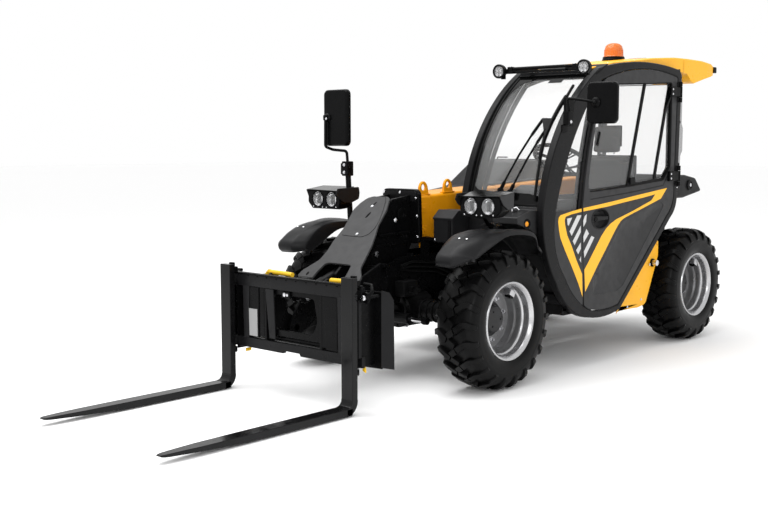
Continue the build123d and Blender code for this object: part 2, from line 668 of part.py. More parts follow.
# ------------------------------------------------------------------------ boom
# Side profiles are laid out along the boom: u ahead of the pivot, v above the
# axis.  The outer box is hollow from end to end with a collar at its mouth.
half_h = BOOM_H / 2
bx0, bx1 = BOOM_X - BOOM_W / 2, BOOM_X + BOOM_W / 2
with BuildPart() as outer_boom:
    side([in_boom(BOOM_REAR_U, -half_h), in_boom(BOOM_REAR_U, half_h),
          in_boom(BOOM_FRONT_U, half_h), in_boom(BOOM_FRONT_U, -half_h)], bx0, bx1)
    w = BOOM_WALL
    side([in_boom(BOOM_REAR_U - 1, -half_h + w), in_boom(BOOM_REAR_U - 1, half_h - w),
          in_boom(BOOM_FRONT_U + 1, half_h - w), in_boom(BOOM_FRONT_U + 1, -half_h + w)],
         bx0 + w, bx1 - w, mode=Mode.SUBTRACT)
    # pin sleeves in both side walls
    for x0, x1 in ((bx0, bx0 + 40), (bx1 - 40, bx1)):
        bar((x0, *BOOM_PIVOT), (x1, *BOOM_PIVOT), 60)
    # lifting eyes on the left top edge
    for u in (1835, 2060):
        side([in_boom(u - 45, half_h), in_boom(u - 40, half_h + 50),
              in_boom(u - 20, half_h + 82), in_boom(u + 20, half_h + 82),
              in_boom(u + 40, half_h + 50), in_boom(u + 45, half_h)], bx1 - 26, bx1 - 10)
        bar(at(bx1 - 30, in_boom(u, half_h + 45)), at(bx1, in_boom(u, half_h + 45)), 19,
            mode=Mode.SUBTRACT)
    # clevis under the box for the lift cylinder
    for x0 in (BOOM_X - 52, BOOM_X + 34):
        side([in_boom(1010, -half_h), in_boom(1060, -half_h - 50),
              (LIFT_ROD_PIN[0] + 30, LIFT_ROD_PIN[1] - 40),
              (LIFT_ROD_PIN[0] - 30, LIFT_ROD_PIN[1] - 40),
              in_boom(1200, -half_h - 50), in_boom(1250, -half_h)], x0, x0 + 18)
    bar((bx0 - 1, *BOOM_PIVOT), (bx1 + 1, *BOOM_PIVOT), 30.05, mode=Mode.SUBTRACT)
pieces["outer_boom"] = outer_boom

g = BOOM_WALL + INNER_GAP
with BuildPart() as inner_boom:
    side([in_boom(230, -half_h + g), in_boom(230, half_h - g),
          in_boom(BOOM_FRONT_U + HEAD_GAP, half_h - g), in_boom(BOOM_FRONT_U + HEAD_GAP, -half_h + g)],
         bx0 + g, bx1 - g)
    side([in_boom(229, -half_h + g + 8), in_boom(229, half_h - g - 8),
          in_boom(BOOM_FRONT_U + HEAD_GAP + 1, half_h - g - 8),
          in_boom(BOOM_FRONT_U + HEAD_GAP + 1, -half_h + g + 8)],
         bx0 + g + 8, bx1 - g - 8, mode=Mode.SUBTRACT)
pieces["inner_boom"] = inner_boom

# Head: two side cheeks, a sloping face plate that widens downwards, and cross
# tubes.  It hangs from the inner box and carries the coupler's pins.
flange_u = BOOM_FRONT_U + HEAD_GAP
with BuildPart() as boom_head:
    # flange against the inner box
    side([in_boom(flange_u, -half_h - 6), in_boom(flange_u, half_h + 22),
          in_boom(flange_u + 30, half_h + 22), in_boom(flange_u + 30, -half_h - 6)],
         bx0 + 2, bx1 + 6)
    cheek_top = [in_boom(flange_u + 30, half_h + 10), (-1190, 1026)]
    cheek_back = [(-1400, 500), (-1265, 534), (-1190, 556), (-1060, 700),
                  in_boom(flange_u + 30, -half_h)]
    right_cheek = cheek_top + [(-1694, 598), (-1760, 480), (-1842, 345), (-1830, 300),
                               (-1790, 287), (-1745, 300), (-1600, 390)] + cheek_back
    left_cheek = cheek_top + [(-1650, 635), (-1640, 520), (-1600, 390)] + cheek_back
    left_foot = [(-1655, 631), (-1694, 598), (-1760, 480), (-1842, 345), (-1830, 300),
                 (-1790, 287), (-1745, 300), (-1600, 390), (-1440, 560), (-1440, 680),
                 (-1500, 690)]
    side(right_cheek, -195, -177)
    side(left_cheek, -33, -15)
    side(left_foot, 162, 180)
    # face plate on the slope from the top of the head to its foot
    face_plane = Plane(origin=(0, -1196, 1018), x_dir=(1, 0, 0),
                       z_dir=(0, -0.6476, 0.7619))
    with BuildSketch(face_plane) as face:
        with BuildLine():
            Polyline((-214, -40), (-170, 8), (-36, 8), (-22, -30), (140, -450),
                     (196, -600), (204, -655), (82, -655), (70, -535), (-128, -535),
                     (-146, -655), (-272, -655), (-262, -600),
                     (-190, -452), (-200, -250), (-234, -100), close=True)
        make_face()
    extrude(face.sketch, amount=14)
    # cross tubes, the tilt cylinder's base pin and the coupler's pins
    bar((-195, -1590, 450), (180, -1590, 450), 26)
    bar((-33, -1475, 644), (180, -1475, 644), 24)
    bar((-195, *TILT_BASE_PIN), (-15, *TILT_BASE_PIN), 16)
    for x0, x1 in ((-232, -177), (162, 232)):
        bar((x0, *CARRIAGE_PIVOT), (x1, *CARRIAGE_PIVOT), 20)
pieces["boom_head"] = boom_head

# -------------------------------------------------------- coupler, frame, forks
with BuildPart() as quick_coupler:
    # four uprights, webs between each outer pair, tied by two tubes
    for s in (1, -1):
        side([(-1985, 610), (-1940, 650), (-1900, 640), (-1860, 560), (-1830, 420),
              (-1748, 372), (-1742, 320), (-1790, 285), (-1880, 262), (-1985, 262)],
             min(s * 205, s * 223), max(s * 205, s * 223))
        side([(-1985, 610), (-1950, 640), (-1910, 600), (-1900, 262), (-1985, 262)],
             min(s * 380, s * 398), max(s * 380, s * 398))
        block(min(s * 223, s * 380), max(s * 223, s * 380), -1985, -1965, 300, 600)
        bar((s * 190, *CARRIAGE_PIVOT), (s * 240, *CARRIAGE_PIVOT), 20.05,
            mode=Mode.SUBTRACT)
    bar((-398, -1930, 605), (398, -1930, 605), 24)
    bar((-398, -1930, 300), (398, -1930, 300), 24)
    # ears for the tilt cylinder's rod
    for x0 in (TILT_X - 48, TILT_X + 30):
        side([(-1955, 620), (-1905, 632), (-1822, 550), (-1822, 500), (-1870, 490),
              (-1955, 585)], x0, x0 + 18)
pieces["quick_coupler"] = quick_coupler

with BuildPart() as fork_frame:
    # top and bottom rails, uprights, and the coupler's receiving channel
    block(-510, 510, -2014, -1990, 568, 634)
    block(-510, 510, -2014, -1990, 230, 287)
    block(-70, 60, -2015, -1989, 225, 245, mode=Mode.SUBTRACT)
    for x0 in (-510, -385, 345, 470):
        block(x0, x0 + 40, -2014, -1990, 230, 634)
    for s in (1, -1):
        flat([(s * 432, -1990), (s * 432, -1882), (s * 540, -1868), (s * 580, -1830),
              (s * 587, -1836), (s * 545, -1878), (s * 440, -1892), (s * 440, -1990)],
             214, 598)
pieces["fork_frame"] = fork_frame

with BuildPart() as forks:
    for s in (1, -1):
        fx = s * FORK_X
        top_z = FORK_BOTTOM_Z + FORK_T
        side([(FORK_FACE_Y + FORK_T, FORK_BOTTOM_Z + 26), (FORK_FACE_Y + FORK_T, FORK_TOP_Z),
              (FORK_FACE_Y, FORK_TOP_Z), (FORK_FACE_Y, top_z),
              (FORK_TIP_Y, top_z), (FORK_TIP_Y, top_z - 12),
              (-2720, FORK_BOTTOM_Z), (FORK_FACE_Y + 10, FORK_BOTTOM_Z),
              (FORK_FACE_Y + 28, FORK_BOTTOM_Z + 8)],
             fx - FORK_W / 2, fx + FORK_W / 2)
        # narrowed tip
        for t in (1, -1):
            flat([(fx + t * 41, -2960), (fx + t * 22, FORK_TIP_Y - 1),
                  (fx + t * 41, FORK_TIP_Y - 1)], 0, 60, mode=Mode.SUBTRACT)
    # hooks over the rails' back edge
    add(fork_frame.part, mode=Mode.SUBTRACT)
pieces["forks"] = forks


# ------------------------------------------------------------------- cylinders
def cylinder_pair(base, eye, x):
    """Length between two pins, and points along the line from base to eye."""
    run = (eye[0] - base[0], eye[1] - base[1])
    length = hypot(*run)
    d = (run[0] / length, run[1] / length)

    def along(t):
        return (x, base[0] + d[0] * t, base[1] + d[1] * t)
    return length, along


lift_len, lift_at = cylinder_pair(LIFT_BASE_PIN, LIFT_ROD_PIN, BOOM_X)
with BuildPart() as lift_cylinder:
    bar(lift_at(30), lift_at(790), 48)
    bar((BOOM_X - 34, *LIFT_BASE_PIN), (BOOM_X + 34, *LIFT_BASE_PIN), 42)
    bar(lift_at(60), lift_at(791), 38, mode=Mode.SUBTRACT)
    bar(lift_at(760), lift_at(800), 48)
    bar(lift_at(740), lift_at(801), 25.05, mode=Mode.SUBTRACT)
    bar((BOOM_X - 40, *LIFT_BASE_PIN), (BOOM_X + 40, *LIFT_BASE_PIN), 22.05,
        mode=Mode.SUBTRACT)
pieces["lift_cylinder"] = lift_cylinder

with BuildPart() as lift_rod:
    bar(lift_at(90), lift_at(lift_len - 30), 25)
    bar(lift_at(90), lift_at(125), 37.9)
    bar((BOOM_X - 28, *LIFT_ROD_PIN), (BOOM_X + 28, *LIFT_ROD_PIN), 36)
    bar((BOOM_X - 30, *LIFT_ROD_PIN), (BOOM_X + 30, *LIFT_ROD_PIN), 20, mode=Mode.SUBTRACT)
pieces["lift_rod"] = lift_rod

tilt_len, tilt_at = cylinder_pair(TILT_BASE_PIN, TILT_ROD_PIN, TILT_X)
with BuildPart() as tilt_cylinder:
    bar(tilt_at(20), tilt_at(430), 32)
    bar((TILT_X - 30, *TILT_BASE_PIN), (TILT_X + 30, *TILT_BASE_PIN), 30)
    bar(tilt_at(45), tilt_at(400), 25, mode=Mode.SUBTRACT)
    bar(tilt_at(395), tilt_at(431), 16.05, mode=Mode.SUBTRACT)
    bar((TILT_X - 31, *TILT_BASE_PIN), (TILT_X + 31, *TILT_BASE_PIN), 16.05,
        mode=Mode.SUBTRACT)
pieces["tilt_cylinder"] = tilt_cylinder

with BuildPart() as tilt_rod:
    bar(tilt_at(110), tilt_at(tilt_len - 20), 16)
    bar(tilt_at(110), tilt_at(135), 24.9)
    bar((TILT_X - 24, *TILT_ROD_PIN), (TILT_X + 24, *TILT_ROD_PIN), 27)
    bar((TILT_X - 25, *TILT_ROD_PIN), (TILT_X + 25, *TILT_ROD_PIN), 15,
        mode=Mode.SUBTRACT)
pieces["tilt_rod"] = tilt_rod

for name, piece in pieces.items():
    piece.part.label = name
    piece.part.move(TO_ROW)
    export_step(piece.part, f"parts/{name}.step")
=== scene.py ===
import json
import random
import bpy
import bmesh
from math import sin, cos, radians, pi, hypot, atan2, sqrt
from mathutils import Vector, Matrix
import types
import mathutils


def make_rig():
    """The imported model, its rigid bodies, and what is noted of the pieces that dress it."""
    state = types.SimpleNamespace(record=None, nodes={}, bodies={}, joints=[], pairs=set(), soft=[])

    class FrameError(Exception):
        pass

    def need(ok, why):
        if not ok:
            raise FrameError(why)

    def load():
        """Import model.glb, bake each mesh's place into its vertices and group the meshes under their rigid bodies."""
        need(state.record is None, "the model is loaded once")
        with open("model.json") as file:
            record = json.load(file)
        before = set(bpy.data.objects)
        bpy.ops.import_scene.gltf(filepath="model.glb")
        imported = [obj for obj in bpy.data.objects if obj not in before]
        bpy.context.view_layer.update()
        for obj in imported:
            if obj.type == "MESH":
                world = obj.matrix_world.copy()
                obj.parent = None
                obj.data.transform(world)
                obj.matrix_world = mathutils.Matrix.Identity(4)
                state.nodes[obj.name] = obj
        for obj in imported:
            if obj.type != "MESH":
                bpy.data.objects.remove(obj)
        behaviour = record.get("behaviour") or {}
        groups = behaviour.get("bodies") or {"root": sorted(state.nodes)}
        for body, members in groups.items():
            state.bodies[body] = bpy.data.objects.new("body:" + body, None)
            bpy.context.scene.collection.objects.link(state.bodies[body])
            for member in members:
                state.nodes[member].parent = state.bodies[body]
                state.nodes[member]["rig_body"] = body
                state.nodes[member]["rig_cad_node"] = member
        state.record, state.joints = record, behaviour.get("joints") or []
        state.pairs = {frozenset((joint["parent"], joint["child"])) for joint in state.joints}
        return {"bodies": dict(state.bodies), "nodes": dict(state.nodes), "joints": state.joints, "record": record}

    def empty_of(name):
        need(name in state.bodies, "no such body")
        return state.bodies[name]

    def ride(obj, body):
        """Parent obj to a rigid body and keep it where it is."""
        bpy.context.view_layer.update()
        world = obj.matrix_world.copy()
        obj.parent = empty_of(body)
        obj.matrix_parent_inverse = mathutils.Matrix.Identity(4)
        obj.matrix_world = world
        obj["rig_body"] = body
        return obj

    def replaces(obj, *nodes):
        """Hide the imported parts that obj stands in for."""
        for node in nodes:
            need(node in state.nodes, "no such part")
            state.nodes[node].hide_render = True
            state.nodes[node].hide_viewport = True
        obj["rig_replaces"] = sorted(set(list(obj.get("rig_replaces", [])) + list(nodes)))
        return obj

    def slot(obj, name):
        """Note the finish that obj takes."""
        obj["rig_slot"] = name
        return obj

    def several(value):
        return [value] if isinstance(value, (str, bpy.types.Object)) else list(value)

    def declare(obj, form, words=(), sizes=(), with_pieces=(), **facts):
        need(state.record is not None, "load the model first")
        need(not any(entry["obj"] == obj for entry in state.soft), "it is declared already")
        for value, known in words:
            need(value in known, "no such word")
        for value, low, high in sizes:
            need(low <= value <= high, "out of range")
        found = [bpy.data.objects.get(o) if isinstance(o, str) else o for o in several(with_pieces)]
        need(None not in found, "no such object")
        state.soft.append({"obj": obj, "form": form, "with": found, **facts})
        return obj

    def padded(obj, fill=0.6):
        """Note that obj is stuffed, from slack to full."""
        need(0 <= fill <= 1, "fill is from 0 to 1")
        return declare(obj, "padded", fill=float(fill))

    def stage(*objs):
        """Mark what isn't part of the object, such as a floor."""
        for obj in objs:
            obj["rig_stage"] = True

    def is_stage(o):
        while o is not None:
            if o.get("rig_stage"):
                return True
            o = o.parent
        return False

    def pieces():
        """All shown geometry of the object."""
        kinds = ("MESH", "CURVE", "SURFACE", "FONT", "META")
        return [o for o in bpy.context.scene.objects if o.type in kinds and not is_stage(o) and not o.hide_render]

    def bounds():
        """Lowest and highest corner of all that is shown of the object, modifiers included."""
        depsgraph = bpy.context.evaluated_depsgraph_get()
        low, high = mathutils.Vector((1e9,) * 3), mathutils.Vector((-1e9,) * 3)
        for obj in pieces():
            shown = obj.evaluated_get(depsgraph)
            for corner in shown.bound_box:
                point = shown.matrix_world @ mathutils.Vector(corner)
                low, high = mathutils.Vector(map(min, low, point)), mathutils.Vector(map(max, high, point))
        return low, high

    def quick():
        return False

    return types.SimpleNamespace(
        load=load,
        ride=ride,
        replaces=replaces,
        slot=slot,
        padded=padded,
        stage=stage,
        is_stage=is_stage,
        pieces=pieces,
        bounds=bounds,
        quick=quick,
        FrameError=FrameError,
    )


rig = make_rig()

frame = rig.load()
CAD_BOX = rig.bounds()
random.seed(7)

# Machine millimetres (X = 0 on the centre plane, -Y forwards, Y = 0 midway between
# the axles) are used for all shapes, and moved once into the shared frame.
ROW = Vector((-0.1425, 0.835, 0.0))


def W(x, y, z):
    return Vector((x / 1000.0, y / 1000.0, z / 1000.0)) + ROW


scene = bpy.context.scene
scene.view_settings.view_transform = "Standard"
scene.view_settings.look = "None"

# ------------------------------------------------------------------ materials
MATS = {}


def material(name, color, rough=0.5, metal=0.0, vary=0.12, grain=0.0, grain_scale=900.0,
             wave=0.0, wave_scale=30.0, rough_vary=0.08, coat=0.0, alpha=1.0,
             transmission=0.0, ior=1.5, emission=None, spec=0.5, sheen=0.0):
    m = bpy.data.materials.new(name)
    m.use_nodes = True
    nt = m.node_tree
    b = nt.nodes["Principled BSDF"]
    b.inputs["Metallic"].default_value = metal
    b.inputs["IOR"].default_value = ior
    b.inputs["Specular IOR Level"].default_value = spec
    if coat:
        b.inputs["Coat Weight"].default_value = coat
        b.inputs["Coat Roughness"].default_value = 0.08
    if sheen:
        b.inputs["Sheen Weight"].default_value = sheen
    if alpha < 1:
        b.inputs["Alpha"].default_value = alpha
    if transmission:
        b.inputs["Transmission Weight"].default_value = transmission
    if emission:
        b.inputs["Emission Color"].default_value = (*emission[0], 1)
        b.inputs["Emission Strength"].default_value = emission[1]
    tc = nt.nodes.new("ShaderNodeTexCoord")
    n1 = nt.nodes.new("ShaderNodeTexNoise")
    n1.inputs["Scale"].default_value = 7.0
    n1.inputs["Detail"].default_value = 6.0
    n1.inputs["Roughness"].default_value = 0.6
    nt.links.new(tc.outputs["Object"], n1.inputs["Vector"])
    ramp = nt.nodes.new("ShaderNodeValToRGB")
    c = Vector(color[:3])
    lo = c * (1 - vary)
    hi = Vector([min(1.0, v * (1 + vary) + 0.004 * vary) for v in c])
    ramp.color_ramp.elements[0].position = 0.3
    ramp.color_ramp.elements[1].position = 0.7
    ramp.color_ramp.elements[0].color = (*lo, 1)
    ramp.color_ramp.elements[1].color = (*hi, 1)
    nt.links.new(n1.outputs["Fac"], ramp.inputs["Fac"])
    nt.links.new(ramp.outputs["Color"], b.inputs["Base Color"])
    n2 = nt.nodes.new("ShaderNodeTexNoise")
    n2.inputs["Scale"].default_value = 23.0
    n2.inputs["Detail"].default_value = 4.0
    nt.links.new(tc.outputs["Object"], n2.inputs["Vector"])
    mr = nt.nodes.new("ShaderNodeMapRange")
    mr.inputs["From Min"].default_value = 0.3
    mr.inputs["From Max"].default_value = 0.7
    mr.inputs["To Min"].default_value = max(0.02, rough - rough_vary)
    mr.inputs["To Max"].default_value = min(1.0, rough + rough_vary)
    nt.links.new(n2.outputs["Fac"], mr.inputs["Value"])
    nt.links.new(mr.outputs["Result"], b.inputs["Roughness"])
    last = None
    if not grain and not wave:
        grain, grain_scale = 0.02, 260.0
    if grain:
        g = nt.nodes.new("ShaderNodeTexNoise")
        g.inputs["Scale"].default_value = grain_scale
        g.inputs["Detail"].default_value = 2.0
        nt.links.new(tc.outputs["Object"], g.inputs["Vector"])
        bp = nt.nodes.new("ShaderNodeBump")
        bp.inputs["Strength"].default_value = grain
        bp.inputs["Distance"].default_value = 0.0006
        nt.links.new(g.outputs["Fac"], bp.inputs["Height"])
        last = bp
    if wave:
        g = nt.nodes.new("ShaderNodeTexNoise")
        g.inputs["Scale"].default_value = wave_scale
        g.inputs["Detail"].default_value = 1.0
        nt.links.new(tc.outputs["Object"], g.inputs["Vector"])
        bp = nt.nodes.new("ShaderNodeBump")
        bp.inputs["Strength"].default_value = wave
        bp.inputs["Distance"].default_value = 0.004
        nt.links.new(g.outputs["Fac"], bp.inputs["Height"])
        if last:
            nt.links.new(last.outputs["Normal"], bp.inputs["Normal"])
        last = bp
    if last:
        nt.links.new(last.outputs["Normal"], b.inputs["Normal"])
    MATS[name] = m
    return m


charcoal = material("charcoal_coat", (0.0095, 0.0095, 0.0102), 0.4, vary=0.1, grain=0.05, grain_scale=1400, spec=0.11)
frame_coat = material("frame_coat", (0.0065, 0.0065, 0.007), 0.33, vary=0.1, grain=0.05, grain_scale=1200, spec=0.1)
panel_grey = material("panel_grey", (0.027, 0.027, 0.028), 0.45, vary=0.08, grain=0.05, grain_scale=1300, spec=0.18)
plastic = material("grained_plastic", (0.0105, 0.0105, 0.0112), 0.4, vary=0.12, grain=0.14, grain_scale=1700, spec=0.12)
black = material("black_coat", (0.0022, 0.0022, 0.0024), 0.3, vary=0.15, grain=0.05, wave=0.03, spec=0.07)
black_gloss = material("black_gloss", (0.003, 0.003, 0.003), 0.14, vary=0.1, wave=0.02, spec=0.14)
fork_coat = material("fork_coat", (0.0045, 0.0045, 0.0048), 0.16, vary=0.15, grain=0.02, wave=0.03, wave_scale=60, spec=0.16)
head_coat = material("head_coat", (0.040, 0.040, 0.041), 0.5, vary=0.06, grain=0.05, spec=0.18)
# the boom's yellow paint, darkened below the body yellow as painted shade of the boom's shaded sides
boom_paint_and_shade = material("boom_yellow_paint", (0.70, 0.275, 0.004), 0.34, vary=0.04, grain=0.03, wave=0.04, wave_scale=45, spec=0.15)
body_yellow = material("body_yellow_plastic", (0.94, 0.46, 0.018), 0.34, vary=0.03, grain=0.04, grain_scale=1500, spec=0.2)
stripe_yellow = material("stripe_yellow", (0.95, 0.49, 0.03), 0.4, vary=0.02, spec=0.2)
lever_yellow = material("lever_yellow_paint", (0.82, 0.50, 0.02), 0.33, vary=0.06, wave=0.04, spec=0.25)
slash_grey = material("slash_grey", (0.60, 0.60, 0.60), 0.45, vary=0.03, spec=0.2)
light_grey = material("light_grey_coat", (0.30, 0.30, 0.30), 0.45, vary=0.05, grain=0.1)
tyre_rubber = material("tyre_rubber", (0.003, 0.003, 0.0031), 0.34, vary=0.2, grain=0.1, grain_scale=600, rough_vary=0.06, spec=0.09)
rubber = material("seal_rubber", (0.0028, 0.0028, 0.0028), 0.5, vary=0.15, grain=0.08, spec=0.1)
rim_paint = material("rim_silver", (0.50, 0.50, 0.51), 0.26, metal=0.9, vary=0.02, grain=0.015, rough_vary=0.02)
# darker than the rim silver: painted shade of the disc, which lies in shadow inside the wheel; the work lamps'
# reflectors reuse it
rim_disc = material("rim_disc", (0.27, 0.27, 0.275), 0.3, metal=0.8, vary=0.03, grain=0.015, rough_vary=0.03)
zinc = material("zinc_bolt", (0.66, 0.66, 0.68), 0.25, metal=1.0, vary=0.08)
chrome = material("lamp_chrome", (0.60, 0.60, 0.61), 0.08, metal=1.0, vary=0.02, rough_vary=0.02)
rod_chrome = material("rod_chrome", (0.72, 0.72, 0.74), 0.1, metal=1.0, vary=0.03, rough_vary=0.03)
glass = material("cab_glass_clear", (0.80, 0.81, 0.81), 0.03, vary=0.01, alpha=0.07, rough_vary=0.01, spec=0.3)
lamp_bowl = material("lamp_bowl", (0.80, 0.80, 0.81), 0.22, metal=0.85, vary=0.02, rough_vary=0.03)
lens = material("lamp_lens", (0.90, 0.91, 0.92), 0.05, vary=0.01, alpha=0.07, rough_vary=0.01)
frit = material("glass_frit", (0.004, 0.004, 0.004), 0.12, vary=0.05, rough_vary=0.02, spec=0.15)
amber = material("amber_lens", (0.95, 0.36, 0.02), 0.15, vary=0.06, rough_vary=0.03, spec=0.3)
beacon_lens = material("beacon_lens", (0.62, 0.155, 0.02), 0.1, vary=0.1, alpha=0.84, rough_vary=0.03, spec=0.35)
red_lens = material("red_lens", (0.55, 0.02, 0.015), 0.15, vary=0.08, rough_vary=0.03)
seat_vinyl = material("seat_vinyl", (0.030, 0.030, 0.031), 0.5, vary=0.12, grain=0.25, grain_scale=420, spec=0.2)
floor_mat_m = material("floor_rubber", (0.012, 0.012, 0.012), 0.6, vary=0.1, grain=0.3, spec=0.2)
cast = material("black_casting", (0.0035, 0.0035, 0.0037), 0.42, vary=0.2, grain=0.3, grain_scale=350, wave=0.1, spec=0.12)
blank_plate = material("blank_plate", (0.30, 0.30, 0.30), 0.4, vary=0.03, spec=0.3)
hose_rubber = material("hose_rubber", (0.0025, 0.0025, 0.0025), 0.4, vary=0.1, grain=0.2, grain_scale=300, spec=0.07)
mirror_m = material("mirror_face", (0.82, 0.84, 0.85), 0.03, metal=1.0, vary=0.01, rough_vary=0.01)


# ------------------------------------------------------------------ shape tools
def mesh_from(verts, faces, name="m"):
    me = bpy.data.meshes.new(name)
    me.from_pydata([tuple(v) for v in verts], [], faces)
    me.update()
    return me


def clean(me, dist=0.00002):
    bm = bmesh.new()
    bm.from_mesh(me)
    bmesh.ops.remove_doubles(bm, verts=bm.verts, dist=dist)
    bmesh.ops.recalc_face_normals(bm, faces=bm.faces)
    bm.to_mesh(me)
    bm.free()
    return me


def rounded(points, r, seg=5, close=True):
    """Corners of a 2-D or 3-D point list turned into arcs; r is a number or one per point."""
    out = []
    n = len(points)
    P = [Vector(p) for p in points]
    for i in range(n):
        ri = r[i] if isinstance(r, (list, tuple)) else r
        if (not close and i in (0, n - 1)) or ri <= 0:
            out.append(P[i])
            continue
        a, b, c = P[i - 1], P[i], P[(i + 1) % n]
        u, v = (a - b), (c - b)
        lu, lv = u.length, v.length
        if lu < 1e-6 or lv < 1e-6:
            out.append(b)
            continue
        u.normalize(); v.normalize()
        ang = u.angle(v)
        if ang > pi - 0.02 or ang < 0.02:
            out.append(b)
            continue
        t = min(ri / math_tan(ang / 2), lu * 0.49, lv * 0.49)
        rr = t * math_tan(ang / 2)
        p0, p1 = b + u * t, b + v * t
        bis = (u + v).normalized()
        centre = b + bis * (rr / sin(ang / 2))
        w0, w1 = p0 - centre, p1 - centre
        total = w0.angle(w1)
        k = max(1, int(seg * total / (pi / 2) + 0.5))
        for j in range(k + 1):
            f = j / k
            s = sin(total)
            if s < 1e-6:
                out.append(p0.lerp(p1, f))
            else:
                out.append(centre + w0 * (sin((1 - f) * total) / s) + w1 * (sin(f * total) / s))
    return out


def math_tan(a):
    return sin(a) / cos(a)


def plane_matrix(axis, at):
    """Local (u, v) of a flat outline to machine axes: 'X' -> (Y, Z), 'Y' -> (X, Z), 'Z' -> (X, Y)."""
    if axis == "X":
        m = Matrix(((0, 0, 1, at), (1, 0, 0, 0), (0, 1, 0, 0), (0, 0, 0, 1)))
    elif axis == "Y":
        m = Matrix(((1, 0, 0, 0), (0, 0, -1, at), (0, 1, 0, 0), (0, 0, 0, 1)))
    else:
        m = Matrix(((1, 0, 0, 0), (0, 1, 0, 0), (0, 0, 1, at), (0, 0, 0, 1)))
    return m


def to_row(me, m=None):
    """Machine millimetres (through m, if given) to the shared frame in metres."""
    s = Matrix.Translation(ROW) @ Matrix.Scale(0.001, 4)
    me.transform(s @ m if m is not None else s)
    return me


def plate(axis, outline, t0, t1, holes=(), bevel=1.5, res=2, m=None):
    """A flat plate with rounded edges: outline in the plane across axis, from t0 to t1 along it.
    m, if given, places a plate built in its own (u, v, w) axes."""
    cu = bpy.data.curves.new("plate", "CURVE")
    cu.dimensions = "2D"
    cu.fill_mode = "BOTH"
    half = abs(t1 - t0) / 2
    bevel = min(bevel, half * 0.98)
    cu.extrude = half - bevel
    cu.bevel_depth = bevel
    cu.bevel_resolution = res
    cu.offset = -bevel
    for pts in [outline] + list(holes):
        sp = cu.splines.new("POLY")
        sp.points.add(len(pts) - 1)
        for q, p in zip(sp.points, pts):
            q.co = (p[0], p[1], 0, 1)
        sp.use_cyclic_u = True
    ob = bpy.data.objects.new("plate", cu)
    scene.collection.objects.link(ob)
    dg = bpy.context.evaluated_depsgraph_get()
    me = bpy.data.meshes.new_from_object(ob.evaluated_get(dg))
    bpy.data.objects.remove(ob)
    bpy.data.curves.remove(cu)
    mid = (t0 + t1) / 2
    mm = m @ Matrix.Translation((0, 0, mid)) if m is not None else plane_matrix(axis, mid)
    me.materials.clear()
    to_row(me, mm)
    return clean(me)


def slab(x0, x1, y0, y1, z0, z1, bevel=2.0, seg=2, m=None):
    bm = bmesh.new()
    bmesh.ops.create_cube(bm, size=1.0)
    for v in bm.verts:
        v.co = Vector(((x0 + x1) / 2 + v.co.x * (x1 - x0), (y0 + y1) / 2 + v.co.y * (y1 - y0),
                       (z0 + z1) / 2 + v.co.z * (z1 - z0)))
    b = min(bevel, 0.45 * min(abs(x1 - x0), abs(y1 - y0), abs(z1 - z0)))
    if b > 0:
        bmesh.ops.bevel(bm, geom=list(bm.edges), offset=b, segments=seg, profile=0.5, affect="EDGES")
    bmesh.ops.recalc_face_normals(bm, faces=bm.faces)
    me = bpy.data.meshes.new("slab")
    bm.to_mesh(me)
    bm.free()
    return to_row(me, m)


def poly_solid(points, faces, bevel=2.0, seg=2, m=None):
    """A closed solid from machine-mm points and faces, edges rounded."""
    bm = bmesh.new()
    vs = [bm.verts.new(p) for p in points]
    for f in faces:
        bm.faces.new([vs[i] for i in f])
    bmesh.ops.recalc_face_normals(bm, faces=bm.faces)
    if bevel > 0:
        bmesh.ops.bevel(bm, geom=[e for e in bm.edges if e.calc_face_angle(0) > 0.3],
                        offset=bevel, segments=seg, profile=0.5, affect="EDGES", clamp_overlap=True)
    me = bpy.data.meshes.new("solid")
    bm.to_mesh(me)
    bm.free()
    return to_row(me, m)


def loft(sections, closed=True, caps=True, m=None, loop=False):
    """Skin over rows of equally many points; closed joins each row's ends."""
    verts, faces = [], []
    n = len(sections[0])
    for s in sections:
        verts += [tuple(p) for p in s]
    rows = len(sections)
    for i in range(rows if loop else rows - 1):
        a, b = i * n, ((i + 1) % rows) * n
        for j in range(n if closed else n - 1):
            k = (j + 1) % n
            faces.append((a + j, a + k, b + k, b + j))
    if caps and closed and not loop:
        faces.append(tuple(range(n))[::-1])
        faces.append(tuple(range((rows - 1) * n, rows * n)))
    me = mesh_from(verts, faces)
    bm = bmesh.new()
    bm.from_mesh(me)
    bmesh.ops.recalc_face_normals(bm, faces=bm.faces)
    bm.to_mesh(me)
    bm.free()
    return to_row(me, m)


def frames_along(path, closed=False):
    """Tangent, normal, binormal at each point, turned as little as possible."""
    P = [Vector(p) for p in path]
    n = len(P)
    T = []
    for i in range(n):
        if closed:
            t = (P[(i + 1) % n] - P[i - 1])
        else:
            t = P[min(i + 1, n - 1)] - P[max(i - 1, 0)]
        T.append(t.normalized())
    ref = Vector((0, 0, 1)) if abs(T[0].z) < 0.9 else Vector((1, 0, 0))
    nrm = (ref - T[0] * ref.dot(T[0])).normalized()
    out = []
    for i in range(n):
        nrm = (nrm - T[i] * nrm.dot(T[i])).normalized()
        out.append((P[i], T[i], nrm, T[i].cross(nrm)))
    return out


def tube(points, r, bend=0.0, res=12, closed=False, seg=6):
    """A round tube along points (machine mm), corners bent at radius bend."""
    path = rounded(points, bend, seg, close=closed) if bend else [Vector(p) for p in points]
    rings = []
    fr = frames_along(path, closed)
    for p, t, u, v in fr:
        rings.append([p + (u * cos(2 * pi * k / res) + v * sin(2 * pi * k / res)) * r for k in range(res)])
    return loft(rings, closed=True, caps=not closed, loop=closed)


